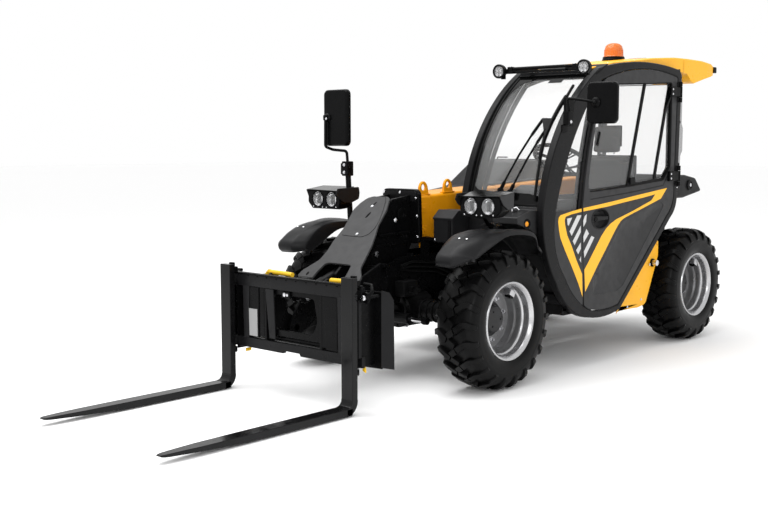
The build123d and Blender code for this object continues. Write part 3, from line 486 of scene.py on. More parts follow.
def strip(points, normals, prof, closed=False):
    """A section prof [(a, b)...] carried along points: a along side, b along normal."""
    P = [Vector(p) for p in points]
    n = len(P)
    rows = []
    for i in range(n):
        t = (P[(i + 1) % n] - P[i - 1]) if closed else (P[min(i + 1, n - 1)] - P[max(i - 1, 0)])
        t.normalize()
        nn = Vector(normals[i]) if isinstance(normals, list) else Vector(normals)
        nn = (nn - t * nn.dot(t)).normalized()
        s = t.cross(nn)
        rows.append([P[i] + s * a + nn * b for a, b in prof])
    return loft(rows, closed=True, caps=not closed, loop=closed)


def lathe(profile, origin, axis=(1, 0, 0), seg=48, close=True):
    """profile [(a, r)...] turned about axis through origin (machine mm)."""
    ax = Vector(axis).normalized()
    ref = Vector((0, 0, 1)) if abs(ax.z) < 0.9 else Vector((1, 0, 0))
    u = (ref - ax * ref.dot(ax)).normalized()
    v = ax.cross(u)
    o = Vector(origin)
    verts, faces = [], []
    n = len(profile)
    for k in range(seg):
        a = 2 * pi * k / seg
        d = u * cos(a) + v * sin(a)
        for t, r in profile:
            verts.append(o + ax * t + d * r)
    for k in range(seg):
        b0, b1 = k * n, ((k + 1) % seg) * n
        for j in range(n if close else n - 1):
            j2 = (j + 1) % n
            faces.append((b0 + j, b0 + j2, b1 + j2, b1 + j))
    me = mesh_from(verts, faces)
    to_row(me)
    return clean(me, 0.000005)


def rod(p0, p1, r, seg=20, bevel=1.0):
    """A round bar with softened ends."""
    a, b = Vector(p0), Vector(p1)
    L = (b - a).length
    bv = min(bevel, r * 0.4, L * 0.4)
    return lathe([(0, 0), (0, r - bv), (bv * 0.3, r - bv * 0.3), (bv, r), (L - bv, r),
                  (L - bv * 0.3, r - bv * 0.3), (L, r - bv), (L, 0)], a, b - a, seg, close=False)


def pipe(p0, p1, r, ri, seg=28, bevel=1.0):
    a, b = Vector(p0), Vector(p1)
    L = (b - a).length
    bv = min(bevel, (r - ri) * 0.4)
    return lathe([(0, ri + bv), (0, r - bv), (bv, r), (L - bv, r), (L, r - bv), (L, ri + bv),
                  (L - bv, ri), (bv, ri)], a, b - a, seg, close=True)


def bolt(p, n, r=8.0, h=6.0, washer=True):
    """A hexagon bolt head standing on p along n."""
    p, n = Vector(p), Vector(n).normalized()
    ref = Vector((0, 0, 1)) if abs(n.z) < 0.9 else Vector((1, 0, 0))
    u = (ref - n * ref.dot(n)).normalized()
    v = n.cross(u)
    rows = []
    for t, k in ((0, 1.0), (h * 0.8, 1.0), (h, 0.86)):
        rows.append([p + n * t + (u * cos(pi * j / 3) + v * sin(pi * j / 3)) * r * k for j in range(6)])
    parts = [loft(rows)]
    if washer:
        parts.append(lathe([(-0.5, 0), (-0.5, r * 1.45), (1.2, r * 1.45), (1.6, r * 1.38), (1.6, 0)],
                           p, n, 16, close=False))
    return merge_meshes(parts)


def dome_bolt(p, n, r=7.0, h=4.0):
    return lathe([(-0.5, 0), (-0.5, r), (h * 0.35, r * 0.97), (h * 0.75, r * 0.72), (h, r * 0.3), (h, 0)],
                 p, n, 14, close=False)


def merge_meshes(list_of):
    bm = bmesh.new()
    for me in list_of:
        bm.from_mesh(me)
    out = bpy.data.meshes.new("merged")
    bm.to_mesh(out)
    bm.free()
    return out


def piece(name, parts, body, slot, replaces=(), angle=34, weighted=True, subsurf=0):
    """Joins [(mesh, material)...] into one object that rides on body."""
    bm = bmesh.new()
    mats = []
    for me, mt in parts:
        if mt not in mats:
            mats.append(mt)
        k = mats.index(mt)
        for p in me.polygons:
            p.material_index = k
        bm.from_mesh(me)
    out = bpy.data.meshes.new(name)
    bm.to_mesh(out)
    bm.free()
    for mt in mats:
        out.materials.append(mt)
    out.shade_smooth()
    out.set_sharp_from_angle(angle=radians(angle))
    ob = bpy.data.objects.new(name, out)
    scene.collection.objects.link(ob)
    if subsurf:
        s = ob.modifiers.new("sub", "SUBSURF")
        s.levels = s.render_levels = subsurf
    if weighted:
        w = ob.modifiers.new("wn", "WEIGHTED_NORMAL")
        w.keep_sharp = True
        w.mode = "FACE_AREA_WITH_ANGLE"
    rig.ride(ob, body)
    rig.slot(ob, slot)
    if replaces:
        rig.replaces(ob, *replaces)
    return ob


def mirrored(me):
    """The same mesh on the other side of the machine's centre plane."""
    out = me.copy()
    bm = bmesh.new()
    bm.from_mesh(out)
    for v in bm.verts:
        v.co.x = 2 * ROW.x - v.co.x
    bmesh.ops.reverse_faces(bm, faces=bm.faces)
    bm.to_mesh(out)
    bm.free()
    return out


def moved(me, dx=0, dy=0, dz=0):
    out = me.copy()
    out.transform(Matrix.Translation((dx / 1000, dy / 1000, dz / 1000)))
    return out


# ---------------------------------------- finishes of the CAD nodes that stay shown
SLOT_MATS = {"charcoal_paint": charcoal, "charcoal_plastic": plastic, "black_paint": black,
             "head_paint": head_coat, "boom_yellow": boom_paint_and_shade, "body_yellow": body_yellow,
             "clear_glass": glass, "lamp_chrome": chrome, "amber_lens": beacon_lens,
             "tyre": tyre_rubber, "rim_silver": rim_paint, "rod_chrome": rod_chrome,
             "seat_vinyl": seat_vinyl, "mirror_shell": plastic, "cast_black": cast}
for node_name, ob in frame["nodes"].items():
    for sl in ob.material_slots:
        base = (sl.material.name if sl.material else "").split(".")[0]
        hit = None
        for k in SLOT_MATS:
            if base == k or base.endswith(k):
                hit = SLOT_MATS[k]
        if hit is None:
            hit = charcoal
        sl.material = hit
    # only edges of the shaded surface are softened; the mesh itself is untouched
    bv = ob.modifiers.new("edge", "BEVEL")
    bv.width = 0.0012
    bv.segments = 1
    bv.limit_method = "ANGLE"
    bv.angle_limit = radians(50)
    bv.harden_normals = False

# ---------------------------------------------------------------------- wheels
WHEEL_X, TYRE_R, HUB_Z, AXLE = 615.0, 380.0, 380.0, 1065.0


def wheel_point(x, r, s):
    """A point at x across, r out and s round the tread from the front, of a wheel at the origin."""
    a = s / TYRE_R
    return Vector((x, -r * cos(a), r * sin(a)))


def lug(side, s0):
    """One long bent tread bar with its separate block on the centre line."""
    out = []
    #            top x,  r,    base x, r,   round s, half width
    arm = [(30, 381.0, 30, 352, 4, 19),
           (52, 380.5, 52, 351, 20, 18),
           (74, 377.5, 74, 348, 36, 17.5),
           (90, 373.0, 90, 344, 42, 17),
           (104, 367.0, 104, 339, 41, 17),
           (117, 358.5, 114, 332, 36, 17),
           (127, 345.0, 119, 324, 31, 17),
           (132, 328.0, 122, 313, 29, 16),
           (134, 312.0, 124, 301, 28, 13)]
    centre = [(-19, 380.5, -19, 352, -28, 17),
              (-3, 381.0, -3, 352, -17, 18.5),
              (22, 381.0, 22, 352, 0, 19)]
    for rows in (arm, centre):
        secs = []
        for i, (xt, rt, xb, rb, s, w) in enumerate(rows):
            nxt, prv = rows[min(i + 1, len(rows) - 1)], rows[max(i - 1, 0)]
            dx, ds = nxt[0] - prv[0], nxt[4] - prv[4]
            L = hypot(dx, ds) or 1
            # the bar's sides stand across its run; steep runs lean round the tread
            nx, ns = -ds / L, dx / L
            if i > 4:
                nx, ns = 0.0, 1.0
            ring = []
            for k, f, d in ((-1.16, 0.0, -6), (-1.02, 0.86, 0), (-0.9, 1.0, 0), (0.9, 1.0, 0),
                            (1.02, 0.86, 0), (1.16, 0.0, -6)):
                x = xb + (xt - xb) * f + nx * w * k * 0.8
                r = rb + d + (rt - rb - d * 0) * f
                ring.append((side * x, r, s0 + s + ns * w * k))
            secs.append([wheel_point(*q) for q in ring])
        out.append(secs)
    return out


def loft_raw(sections):
    verts, faces = [], []
    n = len(sections[0])
    for q in sections:
        verts += q
    for i in range(len(sections) - 1):
        for j in range(n):
            k = (j + 1) % n
            faces.append((i * n + j, i * n + k, (i + 1) * n + k, (i + 1) * n + j))
    faces.append(tuple(range(n))[::-1])
    faces.append(tuple(range((len(sections) - 1) * n, len(sections) * n)))
    me = mesh_from(verts, faces)
    bm = bmesh.new()
    bm.from_mesh(me)
    bmesh.ops.recalc_face_normals(bm, faces=bm.faces)
    bm.to_mesh(me)
    bm.free()
    return me


def raw_lathe(profile, seg):
    verts, faces = [], []
    n = len(profile)
    for k in range(seg):
        a = 2 * pi * k / seg
        for t, r in profile:
            verts.append((t, -r * cos(a), r * sin(a)))
    for k in range(seg):
        b0, b1 = k * n, ((k + 1) % seg) * n
        for j in range(n):
            j2 = (j + 1) % n
            faces.append((b0 + j, b0 + j2, b1 + j2, b1 + j))
    me = mesh_from(verts, faces)
    return clean(me, 0.0001)


half = [(108, 200), (112, 206), (114, 213), (118, 219), (124, 230), (127.5, 242), (129.5, 256), (130, 272),
        (129.3, 284), (130.0, 286), (129.7, 289), (128.4, 300), (125.5, 316), (120.5, 330), (113, 341),
        (102, 349), (84, 354.5), (60, 357), (30, 358)]
inner_half = [(98, 200), (98, 222), (108, 285), (102, 325), (86, 338), (40, 340)]
carcass_prof = ([(-x, r) for x, r in half] + half[::-1] +
                inner_half + [(-x, r) for x, r in inner_half[::-1]])
carcass = raw_lathe(carcass_prof, 96)
tread = []
N_LUG = 22
PITCH = 2 * pi * TYRE_R / N_LUG
for k in range(N_LUG):
    for secs in lug(1, k * PITCH):
        tread.append(loft_raw(secs))
    for secs in lug(-1, (k + 0.5) * PITCH):
        tread.append(loft_raw(secs))
tyre_local = merge_meshes([carcass] + tread)

rim_prof = [(-118, 203), (-118, 210), (-115, 214), (-108, 214), (-105, 211), (-103, 203), (-88, 200),
            (-70, 186), (-62, 182), (30, 182), (46, 190), (60, 198), (92, 200), (104, 203), (107, 212),
            (110, 215.5), (116, 217), (121, 214), (122.5, 209), (120, 204), (113, 199), (106, 193.5),
            (100, 191.5), (88, 190.5), (74, 190), (68, 188.5), (60, 180), (54, 177), (34, 176), (24, 175),
            (18, 171), (6, 168), (-14, 167), (-24, 163), (-26, 156), (-26, 96), (-24, 90), (-24, 40),
            (-40, 40), (-40, 170), (-62, 174), (-82, 189), (-104, 192), (-112, 197)]
rim_local = raw_lathe(rim_prof, 96)
# the disc between rim and hub, in the darker metal that paints the shade inside the wheel
disc_front = [(62, 180.4), (54, 176.2), (34, 175.2), (24, 174.2), (18.8, 170.2), (6.8, 167.2), (-13.2, 166.2), (-23.2, 162.2),
              (-25.2, 155.5), (-25.2, 92)]
disc_local = raw_lathe(disc_front + [(x - 1.2, r + 1.2) for x, r in disc_front[::-1]], 96)


def holes_disc(r0, r1, x0, x1, n, hr, rc):
    """Centres and radii of n dark round wells round the disc."""
    out = []
    for k in range(n):
        a = 2 * pi * (k + 0.5) / n
        c = (0, rc * cos(a), rc * sin(a))
        out.append((c, hr))
    return out


def local_lathe(profile, origin, axis=(1, 0, 0), seg=24):
    me = lathe(profile, origin, axis, seg, close=False)
    me.transform(Matrix.Translation(-ROW))
    me.transform(Matrix.Scale(1000, 4))
    return me


hub_parts = [local_lathe([(-30, 0), (-30, 98), (-22, 98), (-18, 94), (-16, 80), (2, 76), (10, 74), (15, 68),
                          (17, 50), (18.5, 20), (19, 0)], (0, 0, 0), seg=48)]
# eight nuts round the hub and three cap screws on the cover
nuts = []
for k in range(8):
    a = 2 * pi * k / 8 + 0.2
    c = Vector((-26, 124 * cos(a), 124 * sin(a)))
    m = bolt(c, (1, 0, 0), 9.5, 12, True)
    m.transform(Matrix.Translation(-ROW))
    m.transform(Matrix.Scale(1000, 4))
    nuts.append(m)
caps = []
for k in range(3):
    a = 2 * pi * k / 3 + 2.0
    c = Vector((16.5, 46 * cos(a), 46 * sin(a)))
    caps.append(local_lathe([(0, 0), (0, 5.5), (2.2, 5.5), (3.2, 4.4), (3.2, 0)], c, seg=12))
# valve guard, and a black block below it that is its painted shadow
a = radians(118)
vc = Vector((52, -152 * cos(a), 152 * sin(a)))


def local_slab(x0, x1, y0, y1, z0, z1, bevel, m):
    me = slab(x0, x1, y0, y1, z0, z1, bevel, 3, m)
    me.transform(Matrix.Translation(-ROW))
    me.transform(Matrix.Scale(1000, 4))
    return me


turn = Matrix.Translation(vc) @ Matrix.Rotation(pi / 2 - a, 4, "X")
guard = local_slab(-28, 26, -23, 23, -10, 26, 5.0, turn)
# black block below the guard: painted shadow
guard_painted_shadow = local_slab(-16, 24, -15, 15, -20, -8, 4, turn)


def place_wheel(me, s, axle_y, turn_by):
    out = me.copy()
    # right wheels are turned half round, so that the dish still faces out
    m = Matrix.Rotation(turn_by, 4, "X")
    if s < 0:
        m = Matrix.Rotation(pi, 4, "Z") @ m
        m = Matrix.Rotation(pi, 4, "X") @ m
        out.transform(Matrix.Scale(-1, 4, (0, 0, 1)))
        bm = bmesh.new()
        bm.from_mesh(out)
        bmesh.ops.reverse_faces(bm, faces=bm.faces)
        bm.to_mesh(out)
        bm.free()
    out.transform(m)
    out.transform(Matrix.Translation((s * WHEEL_X, axle_y, HUB_Z)))
    return to_row(out)


for corner, s, ay, t in (("front_left", 1, -AXLE, 0.06), ("front_right", -1, -AXLE, 0.21),
                         ("rear_left", 1, AXLE, -0.05), ("rear_right", -1, AXLE, 0.4)):
    piece(corner + "_tyre_lugged", [(place_wheel(tyre_local, s, ay, t), tyre_rubber)],
          corner + "_wheel", "tyre", (corner + "_tyre",), angle=28)
    tr = t * 0.3
    piece(corner + "_rim_detailed",
          [(place_wheel(rim_local, s, ay, 0), rim_paint), (place_wheel(disc_local, s, ay, 0), rim_disc),
           (place_wheel(merge_meshes(hub_parts), s, ay, 0), panel_grey),
           (place_wheel(merge_meshes(nuts), s, ay, tr), zinc),
           (place_wheel(merge_meshes(caps), s, ay, tr), black),
           (place_wheel(guard, s, ay, 0), rim_paint),
           (place_wheel(guard_painted_shadow, s, ay, 0), black)],
          corner + "_wheel", "rim_silver", (corner + "_rim",), angle=32)

# ------------------------------------------------------------------------- cab
def arc3(p, q, r, n=12):
    """Points from p through q to r on one circle, r left out."""
    (ax, ay), (bx, by), (cx, cy) = p, q, r
    d = 2 * (ax * (by - cy) + bx * (cy - ay) + cx * (ay - by))
    ux = ((ax * ax + ay * ay) * (by - cy) + (bx * bx + by * by) * (cy - ay) + (cx * cx + cy * cy) * (ay - by)) / d
    uy = ((ax * ax + ay * ay) * (cx - bx) + (bx * bx + by * by) * (ax - cx) + (cx * cx + cy * cy) * (bx - ax)) / d
    rad = hypot(ax - ux, ay - uy)
    a0, a1, a2 = (atan2(y - uy, x - ux) for x, y in (p, q, r))

    def norm(a):
        while a < -pi:
            a += 2 * pi
        while a > pi:
            a -= 2 * pi
        return a
    sweep = norm(a1 - a0) + norm(a2 - a1)
    return [(ux + rad * cos(a0 + sweep * k / n), uy + rad * sin(a0 + sweep * k / n)) for k in range(n)]


def inset(points, d):
    """Moves a closed (u, v) outline inwards by d."""
    area2 = sum(points[i - 1][0] * points[i][1] - points[i][0] * points[i - 1][1] for i in range(len(points)))
    sgn = 1 if area2 > 0 else -1
    out = []
    n = len(points)
    for i in range(n):
        a, b, c = Vector(points[i - 1]), Vector(points[i]), Vector(points[(i + 1) % n])
        u, v = (b - a).normalized(), (c - b).normalized()
        nu, nv = Vector((-u.y, u.x)) * sgn, Vector((-v.y, v.x)) * sgn
        m = (nu + nv)
        if m.length < 1e-6:
            out.append(b + nu * d)
            continue
        m.normalize()
        out.append(b + m * (d / max(0.4, m.dot(nu))))
    return [(p.x, p.y) for p in out]


OUT = (arc3((800, 1824), (330, 1846), (-150, 1785), 16) + arc3((-150, 1785), (-548, 1415), (-722, 975), 18) +
       arc3((-722, 975), (-700, 765), (-590, 545), 10) + arc3((-590, 545), (-437, 374), (-218, 296), 10) +
       arc3((-218, 296), (-60, 284), (127, 311), 8) + [(127, 311)] +
       arc3((750, 851), (806, 905), (832, 975), 6) + [(832, 975)] + arc3((862, 1765), (846, 1808), (800, 1824), 6))
INS = (arc3((790, 1776), (330, 1804), (-128, 1716), 16) + arc3((-128, 1716), (-430, 1345), (-585, 985), 16) +
       arc3((-585, 985), (-606, 790), (-494, 562), 10) + arc3((-494, 562), (-380, 432), (-220, 340), 8) +
       arc3((-220, 340), (-60, 326), (100, 342), 8) + [(100, 342)] +
       arc3((702, 872), (756, 925), (782, 990), 6) + [(782, 990), (806, 1762)])
INS = [p for i, p in enumerate(INS) if hypot(p[0] - INS[i - 1][0], p[1] - INS[i - 1][1]) > 3]

ring_l = plate("X", OUT, 655, 700, [inset(INS, -0.5)], bevel=7, res=3)
ring_r = plate("X", OUT, 100, 145, [inset(INS, -0.5)], bevel=7, res=3)
seal_out = plate("X", inset(INS, -3), 690, 697.5, [inset(INS, 3.2)], bevel=1.5)
SEAM = [(-104, 1712), (-171, 1606), (-221, 1441), (-262, 1300), (-298, 1124), (-323, 949), (-318, 772),
        (-298, 532), (-290, 378)]
post_outline = [(p[0] - 3, p[1]) for p in SEAM] + [(p[0] - 33, p[1]) for p in SEAM[::-1]]
post = plate("X", rounded([(q[0], q[1], 0) for q in post_outline], 0), 655, 691, bevel=2.5)
header = [slab(144, 656, -190, -120, 1722, 1776, 8), slab(144, 656, 780, 840, 1740, 1795, 8),
          slab(144, 656, -490, -440, 400, 460, 8)]
# inner trim of the pillars and the wide grey trim on the far rear post
trim = [plate("X", inset(INS, -4), 146, 150, [inset(INS, 34)], bevel=1),
        plate("X", [(640, 1780), (800, 1780), (800, 1500), (690, 1500), (672, 1560), (640, 1600), (620, 1700)],
              147, 153, bevel=1.5)]
# joints of the ring: the dark line where the outer skin meets the tube
groove = plate("X", inset(OUT, 15.5), 699.2, 700.6, [inset(OUT, 17.5)], bevel=0.3)
strikers = [slab(662, 690, -322, -296, 1180, 1230, 3), slab(662, 688, -300, -278, 430, 470, 3)]
studs = []
for y, z in ((848, 1732), (843, 1639), (838, 1141), (835, 1049)):
    studs.append(dome_bolt((701, y - 12, z), (1, 0, 0), 6.5, 4))
piece("cab_frame_formed", [(ring_l, frame_coat), (ring_r, frame_coat), (post, black), (seal_out, rubber),
                           (header[0], frame_coat), (header[1], frame_coat), (header[2], frame_coat),
                           (trim[0], panel_grey), (trim[1], light_grey), (strikers[0], black), (strikers[1], black)] +
      [(s, zinc) for s in studs], "chassis", "charcoal_paint", ("cab_frame",), angle=30)

# rear post cover: a light scalloped edge strip
edge_strip = plate("X", [(868, 1768), (905, 1705), (900, 1660), (884, 1640), (880, 1530), (900, 1510), (902, 1455),
                         (880, 1425), (876, 1232), (898, 1208), (900, 1085), (874, 1030), (856, 1030), (858, 1760)],
                   640, 646, bevel=1.5)
piece("rear_edge_strip", [(edge_strip, light_grey)], "chassis", "charcoal_plastic")

# ------------------------------------------------------------------------ door
lower_ins = [p for p in INS]
# the part of the inside edge behind the seam, from the seam's top round to its foot
start = min(range(len(lower_ins)), key=lambda i: hypot(lower_ins[i][0] + 104, lower_ins[i][1] - 1725))
ordered = lower_ins[start:] + lower_ins[:start]
behind = []
for p in (ordered + [ordered[0]])[::-1]:
    y_seam = None
    for (y0, z0), (y1, z1) in zip(SEAM[:-1], SEAM[1:]):
        if z1 <= p[1] <= z0:
            y_seam = y0 + (y1 - y0) * (z0 - p[1]) / (z0 - z1)
    if p[1] > SEAM[0][1]:
        ok = p[0] > -100
    elif p[1] < SEAM[-1][1]:
        ok = p[0] > -286
    else:
        ok = y_seam is not None and p[0] > y_seam + 20
    if ok:
        behind.append(p)
behind = inset(INS, 5.5)
sel = []
for p in behind:
    if p[1] > 1712:
        ok = p[0] > -97
    elif p[1] < 378:
        ok = p[0] > -283
    else:
        ok = p[0] > 0
    if ok:
        sel.append(p)
# sel runs round from the header down the front in INS order: split where it wraps
k0 = max(range(len(sel)), key=lambda i: hypot(sel[i][0] - sel[i - 1][0], sel[i][1] - sel[i - 1][1]))
cand = sel[k0:] + sel[:k0]
seam_door = [(p[0] + 5.5, p[1]) for p in SEAM]
if hypot(cand[0][0] - seam_door[-1][0], cand[0][1] - seam_door[-1][1]) < hypot(cand[0][0] - seam_door[0][0], cand[0][1] - seam_door[0][1]):
    DOOR = seam_door + cand
else:
    DOOR = seam_door[::-1] + cand
REC_O = [(136, 851), (68, 784), (-144, 565), (-195, 543), (-187, 432), (81, 429), (151, 455), (656, 938), (608, 959)]
REC_I = [(158, 802), (105, 767), (-101, 558), (-136, 552), (-133, 488), (56, 485), (110, 504), (464, 864), (439, 861)]
WIN = rounded([(q[0], q[1], 0) for q in [(-238, 1048), (-259, 1105), (-190, 1441), (-147, 1596), (-70, 1670),
                                        (60, 1700), (735, 1735), (735, 1182), (645, 1098), (218, 1069)]],
              [18, 18, 60, 40, 60, 60, 22, 30, 30, 60], 4)
WIN = [(p.x, p.y) for p in WIN]
BOWL = [(-118 + 96 * cos(2 * pi * k / 32), 886 + 60 * sin(2 * pi * k / 32)) for k in range(32)]
rec_hole = rounded([(q[0], q[1], 0) for q in REC_O], [30, 40, 20, 18, 16, 60, 40, 14, 14], 4)
rec_hole = [(p.x, p.y) for p in rec_hole]
rec_floor = rounded([(q[0], q[1], 0) for q in REC_I], [30, 40, 20, 18, 16, 60, 40, 14, 14], 4)
rec_floor = [(p.x, p.y) for p in rec_floor]
skin = plate("X", DOOR, 684, 700, [WIN, BOWL, rec_hole], bevel=2.5, res=2)
back = plate("X", inset(DOOR, 4), 659, 683.5, [WIN, BOWL], bevel=2)


def dish(rows, mat_rows=None):
    """Rows of (outline, x) joined into one sloped recess, the last one filled."""
    secs = [[(x, y, z) for y, z in o] for o, x in rows]
    verts, faces = [], []
    n = len(secs[0])
    for q in secs:
        verts += q
    for i in range(len(secs) - 1):
        for j in range(n):
            k = (j + 1) % n
            faces.append((i * n + j, i * n + k, (i + 1) * n + k, (i + 1) * n + j))
    faces.append(tuple(range((len(secs) - 1) * n, len(secs) * n)))
    me = mesh_from(verts, faces)
    bm = bmesh.new()
    bm.from_mesh(me)
    bmesh.ops.recalc_face_normals(bm, faces=bm.faces)
    bmesh.ops.triangulate(bm, faces=[f for f in bm.faces if len(f.verts) > 4])
    # the open dish has to face outwards
    tot = sum(f.normal.x * f.calc_area() for f in bm.faces)
    if tot < 0:
        bmesh.ops.reverse_faces(bm, faces=bm.faces)
    bm.to_mesh(me)
    bm.free()
    return to_row(me)


def resample(points, n):
    P = [Vector(p) for p in points]
    L = [0]
    for i in range(len(P)):
        L.append(L[-1] + (P[(i + 1) % len(P)] - P[i]).length)
    out = []
    for k in range(n):
        t = L[-1] * k / n
        i = max(j for j in range(len(P)) if L[j] <= t + 1e-9)
        f = (t - L[i]) / max(1e-9, L[i + 1] - L[i])
        out.append(tuple(P[i].lerp(P[(i + 1) % len(P)], f)))
    return out


def matched(points_a, points_b, per=8):
    """The same count of points on both corner lists, edge by edge."""
    a, b = [], []
    n = len(points_a)
    for i in range(n):
        for k in range(per):
            f = k / per
            a.append(tuple(Vector(points_a[i]).lerp(Vector(points_a[(i + 1) % n]), f)))
            b.append(tuple(Vector(points_b[i]).lerp(Vector(points_b[(i + 1) % n]), f)))
    return a, b


if len(rec_hole) == len(rec_floor):
    ra, rb = rec_hole, rec_floor
else:
    ra, rb = matched(REC_O, REC_I)
recess = dish([(inset(ra, -2), 698.8), (ra, 697.6), (rb, 686.0)])
bowl_rows = []
for f, x in ((1.03, 699.3), (1.0, 697.5), (0.97, 690), (0.9, 680), (0.72, 672), (0.4, 669)):
    bowl_rows.append(([(-118 + 96 * f * cos(2 * pi * k / 32), 886 + 60 * f * sin(2 * pi * k / 32)) for k in range(32)], x))
bowl = dish(bowl_rows)
bowl_rim = plate("X", [(-118 + 102 * cos(2 * pi * k / 40), 886 + 65 * sin(2 * pi * k / 40)) for k in range(40)],
                 698, 702.2, [[(-118 + 93 * cos(2 * pi * k / 40), 886 + 57 * sin(2 * pi * k / 40)) for k in range(40)]],
                 bevel=1.6)
paddle = poly_solid([(700, -205, 872), (700, -205, 905), (703, -36, 897), (703, -36, 880), (684, -205, 868),
                     (684, -205, 908), (686, -36, 902), (686, -36, 876)],
                    [(0, 1, 2, 3), (4, 5, 6, 7), (0, 1, 5, 4), (1, 2, 6, 5), (2, 3, 7, 6), (3, 0, 4, 7)], 2.5)
lock = lathe([(-3, 0), (-3, 17), (3, 17), (4.5, 15), (4.5, 9), (3.6, 8), (3.6, 0)], (700, -172, 886), (1, 0, 0), 28, close=False)


def win_strip(points, x, w, d, mt):
    """A round-cornered rubber or frame strip along a window's edge."""
    P = [(x, y, z) for y, z in points]
    return (strip(P, (1, 0, 0), [(-w / 2, -d / 2), (-w / 2, d * 0.3), (-w * 0.3, d / 2), (w * 0.3, d / 2),
                                 (w / 2, d * 0.3), (w / 2, -d / 2)], closed=True), mt)


gasket = win_strip(inset(WIN, 3), 688, 11, 14, rubber)
gasket2 = win_strip(inset(WIN, 14), 682, 5, 5, frit)
bars = []
for (ya, za), (yb, zb) in (((405, 1716), (209, 1071)), ((727, 1737), (542, 1098))):
    d = Vector((0, yb - ya, zb - za)).normalized()
    nrm = Vector((0, -d.z, d.y))
    for off, w, x0, x1 in ((0, 11, 676, 688), (-13, 3, 683, 686), (13, 3, 683, 686)):
        c0, c1 = Vector((0, ya, za)) + nrm * off, Vector((0, yb, zb)) + nrm * off
        q = [(c0 + nrm * w), (c0 - nrm * w), (c1 - nrm * w), (c1 + nrm * w)]
        bars.append(plate("X", [(v.y, v.z) for v in q], x0, x1, bevel=1.2))
lower_rail = plate("X", [(205, 1075), (648, 1104), (735, 1185), (722, 1188), (640, 1117), (209, 1089)], 680, 690, bevel=1.5)
slide_latch = plate("X", [(738, 1655), (720, 1655), (634, 1552), (660, 1552)], 688, 700, bevel=3)
slide_latch2 = plate("X", [(228, 1126), (285, 1128), (287, 1087), (230, 1083)], 686, 697, bevel=3)
inner_pull = plate("X", [(-126, 1408), (-112, 1406), (-136, 1326), (-152, 1330)], 668, 690, bevel=3)
# a dark strip along the crease under the window: painted shade of the fold
crease_painted_shade = plate("X", [(-236, 1010), (-232, 1004), (212, 1029), (640, 1062), (745, 1180), (741, 1186), (632, 1070),
                     (212, 1037)], 699.3, 700.7, bevel=0.4)
STR_DOOR = [(-309, 959), (-157, 971), (61, 990), (289, 1012), (690, 1048), (613, 982), (496, 955), (352, 922),
            (247, 899), (155, 877), (116, 861), (83, 836), (34, 789), (-40, 711), (-146, 603), (-228, 512),
            (-277, 459), (-289, 592), (-252, 629), (-191, 693), (-108, 780), (-55, 823), (-1, 852), (65, 875),
            (155, 894), (246, 914), (352, 940), (489, 974), (537, 1012), (409, 998), (174, 977), (-49, 956), (-309, 939)]
STR_PANEL = [(-329, 957), (-436, 945), (-549, 928), (-566, 915), (-571, 891), (-561, 841), (-546, 796), (-500, 726),
             (-427, 626), (-353, 518), (-305, 432), (-313, 568), (-377, 656), (-430, 744), (-477, 808), (-501, 870),
             (-506, 898), (-495, 917), (-435, 928), (-329, 938)]
SL_PANEL = [[(-480, 905), (-428, 909), (-464, 863), (-474, 869)],
            [(-375, 918), (-334, 919), (-334, 911), (-430, 803), (-453, 829)],
            [(-335, 857), (-335, 818), (-398, 746), (-418, 771)],
            [(-333, 757), (-331, 720), (-358, 689), (-381, 715)],
            [(-329, 675), (-326, 637), (-343, 656)]]
SL_DOOR = [[(-294, 911), (-273, 922), (-279, 876), (-306, 848), (-309, 885)],
           [(-274, 834), (-246, 805), (-302, 754), (-305, 792)],
           [(-218, 789), (-185, 778), (-290, 663), (-298, 701)]]


def decal(points, x=700.0):
    """A thin film with clean edges."""
    return plate("X", points, x - 0.3, x + 0.7, bevel=0.2, res=1)


door_parts = [(skin, panel_grey), (back, frame_coat), (recess, panel_grey), (bowl, plastic), (bowl_rim, plastic),
              (paddle, plastic), (lock, black), gasket, gasket2, (lower_rail, black), (slide_latch, black),
              (slide_latch2, black), (inner_pull, black), (crease_painted_shade, frame_coat), (decal(STR_DOOR), stripe_yellow)]
door_parts += [(b, black) for b in bars]
door_parts += [(decal(s), slash_grey) for s in SL_DOOR]
piece("door_shell", door_parts, "door", "charcoal_paint", (), angle=26)
hinge_leaf = []
for z in (1090, 1640):
    hinge_leaf += [(slab(700.5, 719, 690, 768, z + 2, z + 68, 4), black), (slab(706, 719, 760, 822, z + 5, z + 65, 4), black),
                   (rod((712, 822, z + 0.5), (712, 822, z + 69.5), 12.5, 20, 2), black)]
    hinge_leaf += [(dome_bolt((719, 710, z + 20), (1, 0, 0), 7, 4), zinc), (dome_bolt((719, 710, z + 50), (1, 0, 0), 7, 4), zinc)]
piece("door_hinge_leaves", hinge_leaf, "door", "black_paint", ("door",), angle=30)
posts = []
for z in (1090, 1640):
    for z0, z1 in ((z - 32, z - 1), (z + 71, z + 102)):
        posts += [(rod((712, 822, z0), (712, 822, z1), 12.5, 20, 2), black),
                  (poly_solid([(700, 806, z0), (709, 812, z0), (709, 851, z0), (700, 851, z0),
                               (700, 806, z1), (709, 812, z1), (709, 851, z1), (700, 851, z1)],
                              [(0, 1, 2, 3), (4, 5, 6, 7), (0, 1, 5, 4), (1, 2, 6, 5), (2, 3, 7, 6), (3, 0, 4, 7)], 2), black)]
piece("door_hinge_posts", posts, "chassis", "black_paint", ("door_hinges",), angle=30)

